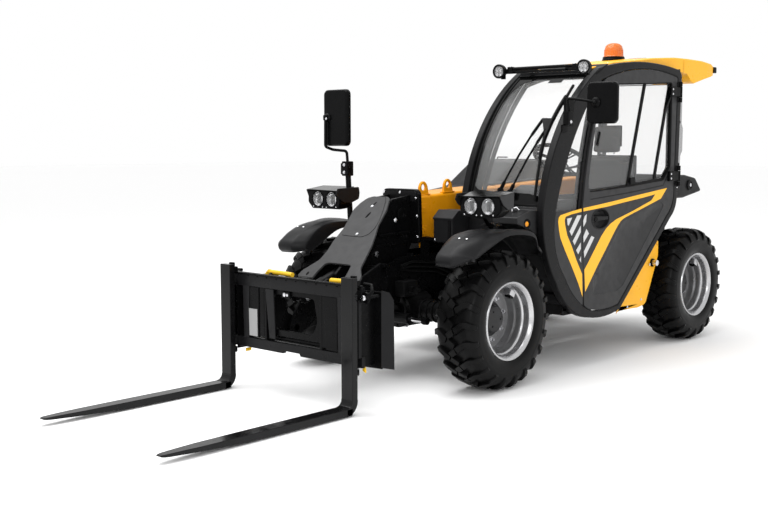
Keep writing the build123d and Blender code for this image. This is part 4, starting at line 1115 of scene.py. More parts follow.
# fixed panel ahead of the door with its stripe and slashes
PANEL = ([(-598, 947)] + [p for p in inset(INS, 1.0) if p[0] < -290 and p[1] < 944] + [(-296, 532), (-316, 772), (-323, 947)])
side_panel = plate("X", PANEL, 672, 699.6, bevel=2.5)
right_panel = plate("X", [p for p in inset(INS, 1.0) if p[1] < 998] + [(782, 1000), (-590, 1000)], 108, 132, bevel=3)
panel_parts = [(side_panel, panel_grey), (right_panel, panel_grey), (decal(STR_PANEL, 699.8), stripe_yellow)]
panel_parts += [(decal(s, 699.8), slash_grey) for s in SL_PANEL]
piece("cab_side_panels_skin", panel_parts, "chassis", "charcoal_paint", ("cab_side_panels",), angle=26)

# ------------------------------------------------------------ glass furnishings
GC, GR = (435.6, 789.3), 1140.8


def on_glass(x, z, off=0.0):
    """A point of the windscreen's curve, off outside it."""
    r = GR + off
    a = math_asin((z - GC[1]) / GR)
    return (x, GC[0] - r * cos(a), GC[1] + r * sin(a))


def math_asin(v):
    return atan2(v, sqrt(max(0.0, 1 - v * v)))


def glass_patch(outline, off, thick=1.2):
    """A printed band lying on the windscreen: outline in (X, Z)."""
    bm = bmesh.new()
    vs = [bm.verts.new((x, 0, z)) for x, z in outline]
    bm.faces.new(vs)
    bm.normal_update()
    bmesh.ops.triangulate(bm, faces=bm.faces)
    for _ in range(5):
        long = [e for e in bm.edges if e.calc_length() > 45]
        if not long:
            break
        bmesh.ops.subdivide_edges(bm, edges=long, cuts=1)
        bmesh.ops.triangulate(bm, faces=[f for f in bm.faces if len(f.verts) > 3])
    g = bmesh.ops.extrude_face_region(bm, geom=list(bm.faces))
    top = [v for v in g["geom"] if isinstance(v, bmesh.types.BMVert)]
    top_set = set(top)
    for v in bm.verts:
        p = on_glass(v.co.x, v.co.z, off + (thick if v in top_set else 0))
        v.co = Vector(p)
    bmesh.ops.recalc_face_normals(bm, faces=bm.faces)
    me = bpy.data.meshes.new("patch")
    bm.to_mesh(me)
    bm.free()
    return to_row(me)


# dark print round the windscreen: a frame with rounded top corners, and the mirror tab
band_out = [(146, 978), (654, 978), (654, 1738), (146, 1738)]
opening = rounded([(168, 1112, 0), (636, 1085, 0), (636, 1712, 0), (168, 1712, 0)], [30, 40, 40, 120], 6)
frame_strips = []
frame_strips.append(glass_patch([(146, 978), (166, 978), (172, 1150), (172, 1600), (176, 1650), (195, 1690), (232, 1713),
                                 (300, 1722), (600, 1722), (636, 1718), (636, 978), (654, 978), (654, 1738), (146, 1738)], 0.3))
frit_tab = glass_patch([(398, 1724), (398, 1700), (494, 1700), (494, 1724)], 0.6)
frit_low = glass_patch([(166, 978), (636, 978), (636, 1040), (560, 1052), (330, 1056), (200, 1066), (168, 1090)], 0.4)
rail_l = strip([on_glass(151, z, 3) for z in range(980, 1745, 38)], [Vector(on_glass(151, z, 4)) - Vector(on_glass(151, z, 3)) for z in range(980, 1745, 38)],
               [(-7, -4), (-7, 3), (-4, 5), (4, 5), (7, 3), (7, -4)])
rail_r = strip([on_glass(649, z, 3) for z in range(980, 1745, 38)], [Vector(on_glass(649, z, 4)) - Vector(on_glass(649, z, 3)) for z in range(980, 1745, 38)],
               [(-7, -4), (-7, 3), (-4, 5), (4, 5), (7, 3), (7, -4)])
rail_b = strip([on_glass(x, 985, 3) for x in range(150, 655, 50)], [Vector(on_glass(x, 985, 4)) - Vector(on_glass(x, 985, 3)) for x in range(150, 655, 50)],
               [(-6, -4), (-6, 3), (-4, 5), (4, 5), (6, 3), (6, -4)])
piece("windscreen_print", [(frame_strips[0], frit), (frit_tab, frit), (frit_low, frit), (rail_l, rubber), (rail_r, rubber),
                           (rail_b, rubber)], "chassis", "black_paint", (), angle=40)

# pantograph wiper: two arms from the shelf, a bracket and one long curved blade
BL = [(625, 1669), (630, 1599), (618, 1458), (612, 1356), (618, 1279), (632, 1104), (635, 1010)]
blade_pts = []
for (x0, z0), (x1, z1) in zip(BL[:-1], BL[1:]):
    for k in range(5):
        f = k / 5
        blade_pts.append(on_glass(x0 + (x1 - x0) * f - 14, z0 + (z1 - z0) * f, 9))
blade_pts.append(on_glass(BL[-1][0] - 14, BL[-1][1], 9))
nrms = [(Vector(p) - Vector((p[0], GC[0], GC[1]))).normalized() for p in blade_pts]
blade = strip(blade_pts, nrms, [(-2, -8), (-7, -1), (-9, 5), (-5, 10), (5, 10), (9, 5), (7, -1), (2, -8)])
spine = strip(blade_pts[5:22], nrms[5:22], [(-11, 8), (-11, 15), (-5, 20), (5, 20), (11, 15), (11, 8)])
arms = []
for (xa, za), (xb, zb), ra, rb in (((380, 1062), (540, 1462), 7, 5.5), ((450, 1052), (590, 1405), 7, 5.5)):
    pts = [on_glass(xa + (xb - xa) * f, za + (zb - za) * f, 24) for f in (0, 0.12, 0.14, 0.5, 0.75, 0.78, 1.0)]
    arms.append(tube(pts, 6.5, 0, 10))
    arms.append(tube(pts[:2], 11.0, 0, 10))
    arms.append(tube(pts[5:], 9.5, 0, 10))
tri = [on_glass(536, 1466, 26), on_glass(612, 1464, 26), on_glass(606, 1352, 26)]
tri_n = (Vector(tri[0]) - Vector((tri[0][0], GC[0], GC[1]))).normalized()
tri_solid = poly_solid([Vector(p) for p in tri] + [Vector(p) + tri_n * 7 for p in tri],
                       [(0, 1, 2), (3, 4, 5), (0, 1, 4, 3), (1, 2, 5, 4), (2, 0, 3, 5)], 2)
base_box = slab(350, 480, -716, -690, 1018, 1064, 8)
piece("wiper", [(blade, rubber), (spine, black), (tri_solid, black), (base_box, black)] + [(m, black) for m in arms] +
      [(rod(on_glass(380, 1062, 6), on_glass(380, 1062, 40), 12), black), (rod(on_glass(450, 1052, 6), on_glass(450, 1052, 40), 12), black)],
      "chassis", "black_paint", (), angle=35)

# --------------------------------------------------------------------- fenders
def apply_mods(me, *mods):
    """me after modifiers: each a (type, {setting: value})."""
    ob = bpy.data.objects.new("tmp", me)
    scene.collection.objects.link(ob)
    for i, (t, kw) in enumerate(mods):
        m = ob.modifiers.new("m%d" % i, t)
        for k, v in kw.items():
            setattr(m, k, v)
    dg = bpy.context.evaluated_depsgraph_get()
    out = bpy.data.meshes.new_from_object(ob.evaluated_get(dg))
    bpy.data.objects.remove(ob)
    return out


def lerp_rows(rows, t):
    """Smooth value at t of a table of rows whose first number rises."""
    if t <= rows[0][0]:
        return rows[0][1:]
    for a, b in zip(rows[:-1], rows[1:]):
        if t <= b[0]:
            f = (t - a[0]) / (b[0] - a[0])
            return tuple(x + (y - x) * f for x, y in zip(a[1:], b[1:]))
    return rows[-1][1:]


def spline(pts, n):
    """n + 1 points on a smooth curve through pts (tuples of equal length)."""
    out = []
    m = len(pts) - 1
    for k in range(n + 1):
        t = k / n * m
        i = min(int(t), m - 1)
        f = t - i
        p0, p1, p2, p3 = pts[max(i - 1, 0)], pts[i], pts[i + 1], pts[min(i + 2, m)]
        out.append(tuple(0.5 * (2 * b + (c - a) * f + (2 * a - 5 * b + 4 * c - d) * f * f +
                                (3 * b - a - 3 * c + d) * f ** 3) for a, b, c, d in zip(p0, p1, p2, p3)))
    return out


#          Y     crown  inner and outer skirt
crown = [(-640, 700, 684, 728), (-652, 736, 690, 738), (-690, 774, 712, 752), (-740, 804, 745, 776),
         (-860, 845, 802, 828), (-1000, 862, 830, 846), (-1100, 868, 828, 841), (-1180, 866, 806, 815),
         (-1290, 848, 748, 774), (-1395, 812, 712, 752), (-1455, 776, 702, 742), (-1482, 754, 698, 738),
         (-1492, 730, 696, 734), (-1486, 707, 695, 731), (-1468, 695, 693, 729)]
prof = [(504, -34), (504, -10), (508, -2), (520, 1.5), (548, 3.5), (553, 6), (560, 7), (600, 8), (646, 7.5), (656, 4.5),
        (664, 2.5), (680, 0), (698, -5), (712, -12), (722, -22), (727, -34), (728, -48)]
cols = [(506, 1.0), (505.4, 0.66), (504.8, 0.33)] + prof + [(727.6, 0.33), (727.2, 0.66), (726.8, 1.0)]


def ease(t):
    t = min(1.0, max(0.0, t))
    return t * t * (3 - 2 * t)


secs = []
for y, zc, zi, zo in spline(crown, 56):
    nose, tail = ease((-y - 1250) / 243.0), ease((860 + y) / 220.0)
    soft = 1 - 0.45 * max(nose, tail)
    zi_edge = max(zc + prof[0][1] * soft, zi + 1)
    zo_edge = max(zc + prof[-1][1] * soft, zo + 1)
    sec = []
    for k, (x, dz) in enumerate(cols):
        inner = min(1.0, max(0.0, (572 - x) / 67.0))
        outer = min(1.0, max(0.0, (x - 650) / 78.0))
        far = min(1.0, max(0.0, (x - 590) / 138.0))
        yy = y + (75 * inner ** 1.6 + 95 * outer ** 1.9) * nose - (45 * inner ** 1.6 + 130 * far ** 1.5) * tail
        if 3 <= k < len(cols) - 3:
            z = zc + dz * soft + (zi_edge - zc - prof[0][1] * soft) * inner ** 1.4 \
                + (zo_edge - zc - prof[-1][1] * soft) * outer ** 1.4
        elif k < 3:
            z = zi_edge + (zi - zi_edge) * dz
        else:
            z = zo_edge + (zo - zo_edge) * dz
        sec.append((x, yy, z))
    secs.append(sec)
fender_skin = loft(secs, closed=False, caps=False)
bm = bmesh.new()
bm.from_mesh(fender_skin)
up = sum(f.normal.z * f.calc_area() for f in bm.faces)
if up < 0:
    bmesh.ops.reverse_faces(bm, faces=bm.faces)
bm.to_mesh(fender_skin)
bm.free()
fender = apply_mods(fender_skin, ("SOLIDIFY", {"thickness": 0.005, "offset": -1.0}),
                    ("BEVEL", {"width": 0.0015, "segments": 2, "limit_method": "ANGLE", "angle_limit": radians(50)}))
edge_l = [(q[-1][0] - 1.0, q[-1][1], q[-1][2] + 1) for q in secs[2:-1]]
lip = tube(edge_l, 3.2, 0, 8)
edge_i = [(q[0][0] + 1.0, q[0][1], q[0][2] + 1) for q in secs[2:-1]]
lip_i = tube(edge_i, 3.2, 0, 8)
lip_n = tube([(q[0], q[1] + 1, q[2]) for q in secs[-1][4:-4]], 2.8, 0, 8)
lip_t = tube([(q[0], q[1] - 1, q[2]) for q in secs[0][4:-4]], 2.8, 0, 8)
fb = [dome_bolt((600, -1345, 840), (0, -0.4, 0.92), 7, 3.5), dome_bolt((650, -1345, 840), (0, -0.4, 0.92), 7, 3.5),
      dome_bolt((668, -930, 856), (0.1, 0, 1), 6, 3)]
under = [slab(470, 625, -1000, -960, 832, 852, 3), slab(472, 500, -998, -962, 778, 842, 3),
         slab(540, 560, -1220, -960, 840, 848, 2)]
left_f = [(fender, plastic), (lip, plastic), (lip_i, plastic), (lip_n, plastic), (lip_t, plastic)] + [(b, zinc) for b in fb] + [(u, black) for u in under]
piece("front_fenders_moulded", left_f + [(mirrored(m), t) for m, t in left_f], "chassis", "charcoal_plastic",
      ("front_fenders",), angle=40)


# ------------------------------------------------------------------- headlamps
def lamp(cx, y0, z, r=46.5):
    """A round lamp: chrome bowl, bulb bar across it, ring and clear lens."""
    o = (cx, y0, z)
    ax = (0, -1, 0)
    bowl_m = lathe([(2, r - 4), (-4, r - 6), (-18, r * 0.72), (-28, r * 0.42), (-33, r * 0.2), (-34, 0), (-37, 0),
                    (-36, r * 0.25), (-31, r * 0.5), (-20, r * 0.8), (-4, r - 3), (2, r - 2)], o, ax, 40)
    ring = lathe([(-3, r - 3.5), (3, r - 3.5), (7, r - 2), (8, r - 0.5), (6, r + 2), (-3, r + 2)], o, ax, 44)
    bulb = slab(cx - 6.5, cx + 6.5, y0 - 4, y0 + 24, z - r * 0.62, z + r * 0.62, 4)
    # a black arc inside the top of the bowl: painted shade from the visor and a painted dark reflection
    painted_shade_arc = tube([(cx + (r - 11) * cos(radians(t)), y0 + 1, z + (r - 11) * sin(radians(t))) for t in range(28, 153, 8)],
                3.2, 0, 8)
    glass_m = lathe([(1, 0), (1, r * 0.4), (0, r * 0.75), (-2, r - 5), (-3.5, r - 5), (-1.5, r * 0.75), (-0.6, r * 0.4), (-0.6, 0)],
                    (cx, y0 - 5, z), ax, 40)
    return [(bowl_m, lamp_bowl), (ring, black), (bulb, black), (painted_shade_arc, black), (glass_m, lens)]


def work_lamp(c, ax, r=40.0):
    """A small flood lamp: a finned shell, a faceted reflector and a lens."""
    o, a = Vector(c), Vector(ax).normalized()
    shell_m = lathe([(0, r - 8), (5, r - 6), (7, r), (4, r + 3), (-12, r + 3), (-14, r - 1), (-18, r - 1), (-20, r + 0.5),
                     (-26, r + 0.5), (-28, r - 2), (-32, r - 2), (-40, r * 0.8), (-48, r * 0.5), (-50, 0), (-44, 0),
                     (-10, 0), (-4, r - 6)], o, a, 40)
    parts = [(shell_m, black)]
    u = a.cross(Vector((0, 0, 1))).normalized()
    v = u.cross(a)
    parts.append((lathe([(-8, 0), (-8, r - 10), (1, r - 8), (1, r - 9.5), (-9.5, r - 11)], o, a, 32, close=False), rim_disc))
    for k in range(4):
        t = pi / 4 + k * pi / 2
        c2 = o + (u * cos(t) + v * sin(t)) * r * 0.42
        parts.append((lathe([(-8, 0), (-7, 5), (-1, r * 0.36), (-0.5, r * 0.37), (-0.5, r * 0.34), (-6, 4.5), (-7, 0)],
                            c2, a, 20), rim_disc))
    parts.append((lathe([(1.5, 0), (1.5, r * 0.6), (0.5, r - 5), (-0.8, r - 5), (0.2, r * 0.6), (0.4, 0)], o, a, 32), lens))
    return parts


def headlamp_pair(wing_in):
    """The left pair: housing, visor with side wings, two lamps."""
    box_o = [(478, 942), (704, 942), (742, 980), (739, 1054), (468, 1056), (463, 976)]
    body_secs = []
    for y, g, dz in ((-1166, 1.0, 0), (-1150, 1.02, 0), (-1095, 0.98, 4), (-1052, 0.86, 10), (-1042, 0.78, 12)):
        cx0 = 597.0
        body_secs.append([(cx0 + (x - cx0) * g, y, 1000 + dz * 0.3 + (z - 1000) * g)
                          for x, z in [(q.x, q.y) for q in rounded([(a, b, 0) for a, b in box_o], 16, 4)]])
    # an open bucket: outer skin, back wall, then the inner skin back to the front edge
    front = body_secs[0]

    def ring(y, g):
        return [(597.0 + (p[0] - 597.0) * g, y, 1000 + (p[2] - 1000) * g) for p in front]

    body = loft(body_secs + [ring(-1042, 0.02), ring(-1046, 0.02), ring(-1046, 0.74), ring(-1095, 0.93),
                             ring(-1166, 0.965), front], caps=False)
    bm3 = bmesh.new()
    bm3.from_mesh(body)
    bmesh.ops.remove_doubles(bm3, verts=bm3.verts, dist=1e-6)
    bmesh.ops.recalc_face_normals(bm3, faces=bm3.faces)
    bm3.to_mesh(body)
    bm3.free()
    fascia = plate("Y", [(q.x, q.y) for q in rounded([(a, b, 0) for a, b in [(480, 946), (702, 946), (738, 982), (735, 1050), (472, 1050), (467, 978)]], 14, 4)],
                   1162, 1172, [[(537 + 48.5 * cos(2 * pi * k / 40), 1001 + 48.5 * sin(2 * pi * k / 40)) for k in range(40)],
                                [(654 + 48.5 * cos(2 * pi * k / 40), 1001 + 48.5 * sin(2 * pi * k / 40)) for k in range(40)]], bevel=2)
    bm2 = bmesh.new()
    bm2.from_mesh(fascia)
    for v in bm2.verts:
        v.co.y = 2 * ROW.y - v.co.y
    bmesh.ops.reverse_faces(bm2, faces=bm2.faces)
    bm2.to_mesh(fascia)
    bm2.free()
    # visor: a folded sheet over the lamps with a wing down the outer side
    top = [(455, -1186, 1052), (470, -1200, 1072), (700, -1200, 1072), (738, -1188, 1048), (748, -1120, 1000)]
    visor_top = poly_solid([(456, -1186, 1054), (740, -1182, 1059), (736, -1046, 1078), (466, -1046, 1078),
                            (456, -1186, 1050), (740, -1182, 1055), (736, -1046, 1073), (466, -1046, 1073)],
                           [(0, 1, 2, 3), (4, 5, 6, 7), (0, 1, 5, 4), (1, 2, 6, 5), (2, 3, 7, 6), (3, 0, 4, 7)], 1.5)
    wing = poly_solid([(744, -1184, 1056), (750, -1158, 1010), (748, -1110, 984), (744, -1062, 992), (736, -1046, 1076),
                       (739, -1184, 1056), (745, -1158, 1010), (743, -1110, 984), (739, -1062, 992), (731, -1046, 1076)],
                      [(0, 1, 2, 3, 4), (5, 6, 7, 8, 9), (0, 1, 6, 5), (1, 2, 7, 6), (2, 3, 8, 7), (3, 4, 9, 8), (4, 0, 5, 9)], 1.2)
    wing_o = [(-1194, 1068), (-1208, 1036), (-1187, 1010), (-1129, 979), (-1070, 982), (-1012, 1001), (-1006, 1037), (-1012, 1074)]
    wing_o = [(q.x, q.y) for q in rounded([(a, b, 0) for a, b in wing_o], [6, 10, 16, 30, 20, 20, 14, 10], 4)]
    wing2 = plate("X", wing_o, 457, 463, (), 1.5)
    parts = [(body, black), (fascia, black), (visor_top, black_gloss), (wing, panel_grey), (wing2, charcoal)]
    parts += lamp(537, -1168, 1001) + lamp(654, -1168, 1001)
    for x, z in ((496, 954), (578, 951), (612, 951), (690, 955)):
        parts.append((dome_bolt((x, -1173, z), (0, -1, 0), 4.5, 2.5), zinc))
    return parts


left_lamps = headlamp_pair(False)
stalk = [(tube([(560, -1082, 945), (560, -1050, 905), (560, -1015, 878)], 14, 0, 14), black),
         (slab(528, 592, -1110, -1060, 930, 946, 4), black),
         (poly_solid([(505, -1052, 884), (615, -1052, 884), (600, -960, 886), (520, -960, 886),
                      (530, -1040, 902), (590, -1040, 902), (584, -985, 902), (536, -985, 902)],
                     [(0, 1, 2, 3), (4, 5, 6, 7), (0, 1, 5, 4), (1, 2, 6, 5), (2, 3, 7, 6), (3, 0, 4, 7)], 3), black)]
piece("headlamps_left", left_lamps + stalk, "chassis", "black_paint", ("headlamps",), angle=32)
piece("headlamps_right", [(mirrored(m), t) for m, t in left_lamps], "chassis", "black_paint", (), angle=32)

# ---------------------------------------------------------------------- beacon
dome_prof = [(0, 0), (0, 66), (4, 68), (10, 66), (14, 63), (54, 60), (74, 54), (86, 42), (93, 24), (95, 0)]
beacon_m = lathe(dome_prof, (360, 560, 1902), (0, 0, 1), 48, close=False)
ribs = []
for k in range(30):
    a = 2 * pi * k / 30
    ribs.append(rod((360 + 61.8 * cos(a), 560 + 61.8 * sin(a), 1918), (360 + 60.4 * cos(a), 560 + 60.4 * sin(a), 1952), 1.6, 6, 0.4))
inner_lamp = lathe([(0, 0), (0, 26), (30, 24), (40, 12), (42, 0)], (360, 560, 1912), (0, 0, 1), 24, close=False)
base_b = lathe([(0, 0), (0, 74), (6, 76), (12, 73), (24, 71), (27, 68), (27, 0)], (360, 560, 1880), (0, 0, 1), 48, close=False)
foot_b = slab(318, 402, 505, 615, 1872, 1884, 4)
piece("beacon_dome", [(beacon_m, beacon_lens), (merge_meshes(ribs), beacon_lens), (inner_lamp, amber), (base_b, black), (foot_b, black)], "chassis",
      "amber_lens", ("beacon",), angle=35)

# ------------------------------------------------------------------ work lamps
wl = work_lamp((130, -388, 1776), (0.05, -1, -0.02)) + work_lamp((735, -388, 1776), (0.1, -1, -0.02))
bar_top = tube([(146, -352, 1778), (210, -352, 1790), (650, -352, 1790), (716, -352, 1778)], 9.5, 20, 14)
bar_rail = slab(150, 702, -368, -345, 1760, 1775, 4)
stay = []
for cx in (216, 596):
    stay.append((poly_solid([(cx, -368, 1762), (cx + 24, -368, 1762), (cx + 24, -120, 1782), (cx, -120, 1782),
                             (cx, -368, 1780), (cx + 24, -368, 1780), (cx + 24, -130, 1800), (cx, -130, 1800)],
                            [(0, 1, 2, 3), (4, 5, 6, 7), (0, 1, 5, 4), (1, 2, 6, 5), (2, 3, 7, 6), (3, 0, 4, 7)], 2.5), black))
clamps = [(slab(176, 214, -366, -338, 1772, 1802, 4), black), (slab(640, 672, -366, -338, 1772, 1800, 4), black),
          (slab(118, 142, -352, -330, 1730, 1772, 3), black), (slab(722, 746, -352, -330, 1730, 1772, 3), black),
          (bolt((195, -352, 1802), (0, 0, 1), 6, 5), zinc), (bolt((656, -352, 1800), (0, 0, 1), 6, 5), zinc)]
# the front header's cover strip
cover = poly_solid([(150, -196, 1736), (700, -196, 1736), (700, -60, 1806), (150, -60, 1806),
                    (150, -206, 1752), (700, -206, 1752), (700, -64, 1814), (150, -64, 1814)],
                   [(0, 1, 2, 3), (4, 5, 6, 7), (0, 1, 5, 4), (1, 2, 6, 5), (2, 3, 7, 6), (3, 0, 4, 7)], 3)
piece("work_lamps_bar", wl + [(bar_top, black), (bar_rail, black), (cover, black)] + stay + clamps, "chassis", "black_paint",
      ("work_lamps",), angle=32)


# --------------------------------------------------------------------- mirrors
def mirror_head(x0, x1, z0, z1, y_face, depth, r=30.0):
    """A rounded mirror shell with its glass facing the rear."""
    o = [(x0, z0), (x1, z0), (x1, z1), (x0, z1)]

    def ring(d, rad):
        q = rounded([(x0 + d, z0 + d, 0), (x1 - d, z0 + d, 0), (x1 - d, z1 - d, 0), (x0 + d, z1 - d, 0)], rad, 5)
        return [(p.x, p.y) for p in q]
    secs = []
    for d, rad, y in ((18, r * 0.6, y_face - depth), (7, r * 0.85, y_face - depth + 3), (1.5, r, y_face - depth + 10),
                      (0, r, y_face - depth + 20), (0, r, y_face - 4), (2, r, y_face), (6, r * 0.9, y_face),
                      (7, r * 0.9, y_face - 3)):
        secs.append([(x, y, z) for x, z in ring(d, rad)])
    return [(loft(secs), black), (loft([[(x, y_face - 4, z) for x, z in ring(8, r * 0.8)],
                                          [(x, y_face - 2, z) for x, z in ring(8, r * 0.8)]]), mirror_m)]


mp = mirror_head(838, 1030, 1447, 1680, -480, 38)
ball = [(lathe([(-2, 0), (-2, 30), (6, 29), (10, 24), (14, 16), (14, 0)], (905, -518, 1565), (0, -1, 0), 28, close=False), black),
        (lathe([(0, 0), (0, 12), (8, 11), (12, 6), (13, 0)], (905, -530, 1565), (0, -1, 0), 20, close=False), black)]
for k in range(4):
    a = pi / 4 + k * pi / 2
    ball.append((dome_bolt((905 + 21 * cos(a), -526, 1565 + 21 * sin(a)), (0, -1, 0), 3.5, 2), zinc))
arm_l = [(tube([(728, -508, 1500), (722, -520, 1560), (726, -530, 1592), (790, -536, 1586), (880, -534, 1572), (900, -530, 1566)], 8, 16, 12), black),
         (slab(702, 738, -545, -482, 1440, 1518, 8), black), (slab(700, 712, -562, -500, 1400, 1445, 5), black),
         (slab(690, 706, -520, -430, 1440, 1600, 3), black), (bolt((738, -512, 1460), (1, 0, 0), 7, 5), zinc)]
mr = mirror_head(-672, -466, 1322, 1664, -1070, 36)
post_r = [(rod((-500, -1040, 800), (-528, -1040, 1228), 17, 24, 3), black),
          (tube([(-526, -1040, 1215), (-532, -1042, 1292), (-630, -1064, 1300), (-636, -1122, 1318), (-634, -1122, 1496)], 9, 20, 12), black),
          (lathe([(0, 0), (0, 26), (6, 28), (12, 22), (20, 18), (26, 0)], (-634, -1104, 1494), (0, -1, 0), 28, close=False), black),
          (slab(-652, -616, -1128, -1106, 1478, 1512, 6), black), (bolt((-622, -1128, 1488), (0, -1, 0), 5, 4), zinc),
          (slab(-552, -502, -1068, -1012, 1140, 1230, 6), black), (slab(-566, -550, -1062, -1018, 1150, 1218, 3), black),
          (bolt((-530, -1068, 1162), (0, -1, 0), 7, 6), zinc), (bolt((-530, -1068, 1208), (0, -1, 0), 7, 6), zinc),
          (slab(-524, -466, -1058, -962, 777, 800, 3), black), (slab(-530, -480, -1052, -1028, 985, 1035, 4), black),
          (bolt((-495, -1000, 800), (0, 0, 1), 8, 6), zinc)]
piece("mirrors_moulded", mp + ball + arm_l + mr + post_r, "chassis", "black_paint", ("mirrors",), angle=34)

# ------------------------------------------------------------------------ cowl
cb = rounded([(129, -1003, 0), (273, -1003, 0), (273, -851, 0), (129, -851, 0)], [14, 14, 4, 4], 4)
cowl_secs = []
for z, g in ((768, 1.0), (905, 1.0)):
    cowl_secs.append([(p.x, p.y, z) for p in cb])
cowl_box = poly_solid([(129, -1003, 768), (273, -1003, 768), (273, -851, 768), (129, -851, 768),
                       (129, -1003, 912), (273, -1003, 912), (273, -950, 956), (129, -950, 956), (273, -851, 956), (129, -851, 956)],
                      [(0, 1, 2, 3), (0, 1, 5, 4), (4, 5, 6, 7), (7, 6, 8, 9), (2, 3, 9, 8), (1, 2, 8, 6, 5), (0, 4, 7, 9, 3)], 9, 3)
cowl_lid = poly_solid([(126, -1006, 912), (276, -1006, 912), (276, -950, 959), (126, -950, 959),
                       (126, -1006, 900), (276, -1006, 900), (276, -950, 948), (126, -950, 948)],
                      [(0, 1, 2, 3), (4, 5, 6, 7), (0, 1, 5, 4), (1, 2, 6, 5), (2, 3, 7, 6), (3, 0, 4, 7)], 3.5)
rib = [slab(252, 262, -1005, -1001, 770, 900, 1.5), slab(240, 244, -1005, -1001, 770, 900, 1.2)]
shelf_secs = [[(x, -850, 800), (x, -850, 918), (x, -846, 925), (x, -727 if x < 150 else -672, 940), (x, -727 if x < 150 else -672, 800)]
              for x in (62, 150)]
shelf_mid = poly_solid([(150, -848, 802), (150, -848, 922), (150, -672, 939), (150, -672, 802),
                        (480, -848, 802), (480, -848, 922), (480, -672, 939), (480, -672, 802)],
                       [(0, 1, 2, 3), (4, 5, 6, 7), (0, 1, 5, 4), (1, 2, 6, 5), (2, 3, 7, 6), (3, 0, 4, 7)], 6)
shelf_in = slab(62, 150, -846, -730, 802, 926, 5)
out_pts = [(-888, 890), (-888, 928), (-760, 962), (-672, 962), (-672, 800), (-700, 822), (-760, 852)]
shelf_out = plate("X", [(q.x, q.y) for q in rounded([(a, b, 0) for a, b in out_pts], [6, 10, 16, 4, 6, 20, 20], 4)], 470, 643,
                  bevel=5, res=3)
shelf_top = poly_solid([(478, -880, 931), (636, -880, 931), (636, -764, 962), (478, -764, 962),
                        (490, -868, 937), (600, -868, 937), (596, -776, 965), (494, -776, 965)],
                       [(0, 1, 2, 3), (4, 5, 6, 7), (0, 1, 5, 4), (1, 2, 6, 5), (2, 3, 7, 6), (3, 0, 4, 7)], 1.5)
mark_ring = lathe([(0, 14), (0, 27), (3, 29), (4, 26), (4, 20), (-6, 15)], (643, -800, 888), (1, -0.12, 0), 32)
mark = lathe([(-4, 0), (-4, 15), (3, 14), (6, 9), (7, 0)], (642, -800, 888), (1, -0.12, 0), 28, close=False)
latch_c = [(tube([(556, -820, 956), (552, -815, 972), (574, -800, 978), (592, -802, 964)], 3.6, 5, 10), zinc),
           (lathe([(0, 0), (0, 13), (3, 13), (4, 11), (4, 0)], (574, -810, 952), (0, -0.25, 0.97), 20, close=False), black)]
piece("front_cowl_moulded", [(cowl_box, plastic), (cowl_lid, charcoal), (rib[0], black), (rib[1], black), (shelf_mid, plastic),
                             (shelf_in, plastic), (shelf_out, panel_grey), (shelf_top, charcoal), (mark_ring, black), (mark, amber),
                             (bolt((142, -1004, 784), (0, -1, 0), 6, 4), zinc), (bolt((500, -884, 905), (0, -1, 0), 5, 3), zinc)] + latch_c,
      "chassis", "charcoal_plastic", ("front_cowl",), angle=34)

# ------------------------------------------------------------------------ boom
PIT = radians(2.5)
PIV_Y, PIV_Z = 1130.0, 991.0


def boom_at(x, u, v):
    return (x, PIV_Y - u * cos(PIT) - v * sin(PIT), PIV_Z - u * sin(PIT) + v * cos(PIT))


def rrect(x0, x1, v0, v1, r, n=4):
    q = rounded([(x0, v0, 0), (x1, v0, 0), (x1, v1, 0), (x0, v1, 0)], r, n)
    return [(p.x, p.y) for p in q]


BX0, BX1, HH = -240.0, 10.0, 135.0


def box_ring(u, g, r):
    return [boom_at(x, u, v) for x, v in rrect(BX0 - g, BX1 + g, -HH - g, HH + g, r)]


outer = loft([box_ring(-85, 0, 20), box_ring(2030, 0, 20), box_ring(2036, 3.5, 22), box_ring(2118, 3.5, 22),
              box_ring(2121, 1.5, 21), box_ring(2121, -7, 14), box_ring(2030, -8, 14), box_ring(-85, -8, 14)],
             caps=False, loop=True)


def boom_plate(outline, x0, x1, holes=(), bevel=2.0):
    """A plate standing along the boom: outline in (u, v)."""
    conv = [boom_at(0, u, v)[1:] for u, v in outline]
    hs = [[boom_at(0, u, v)[1:] for u, v in h] for h in holes]
    return plate("X", conv, x0, x1, hs, bevel)


def circle2(u, v, r, n=28):
    return [(u + r * cos(2 * pi * k / n), v + r * sin(2 * pi * k / n)) for k in range(n)]


eyes = []
for u in (1835, 2060):
    o = [(u - 50, HH - 2), (u - 42, HH + 14), (u - 36, HH + 50), (u - 24, HH + 70), (u - 8, HH + 80), (u + 8, HH + 80),
         (u + 24, HH + 70), (u + 36, HH + 50), (u + 42, HH + 14), (u + 50, HH - 2)]
    o = [(p.x, p.y) for p in rounded([(a, b, 0) for a, b in o], [0, 12, 14, 10, 8, 8, 10, 14, 12, 0], 3)]
    eyes.append((boom_plate(o, BX1 - 26, BX1 - 10, [circle2(u, HH + 45, 19)], 4), boom_paint_and_shade))
    eyes.append((boom_plate([(u - 54, HH - 1), (u - 54, HH + 5), (u + 54, HH + 5), (u + 54, HH - 1)], BX1 - 33, BX1 - 4, (), 2.5), boom_paint_and_shade))
side_bits = []
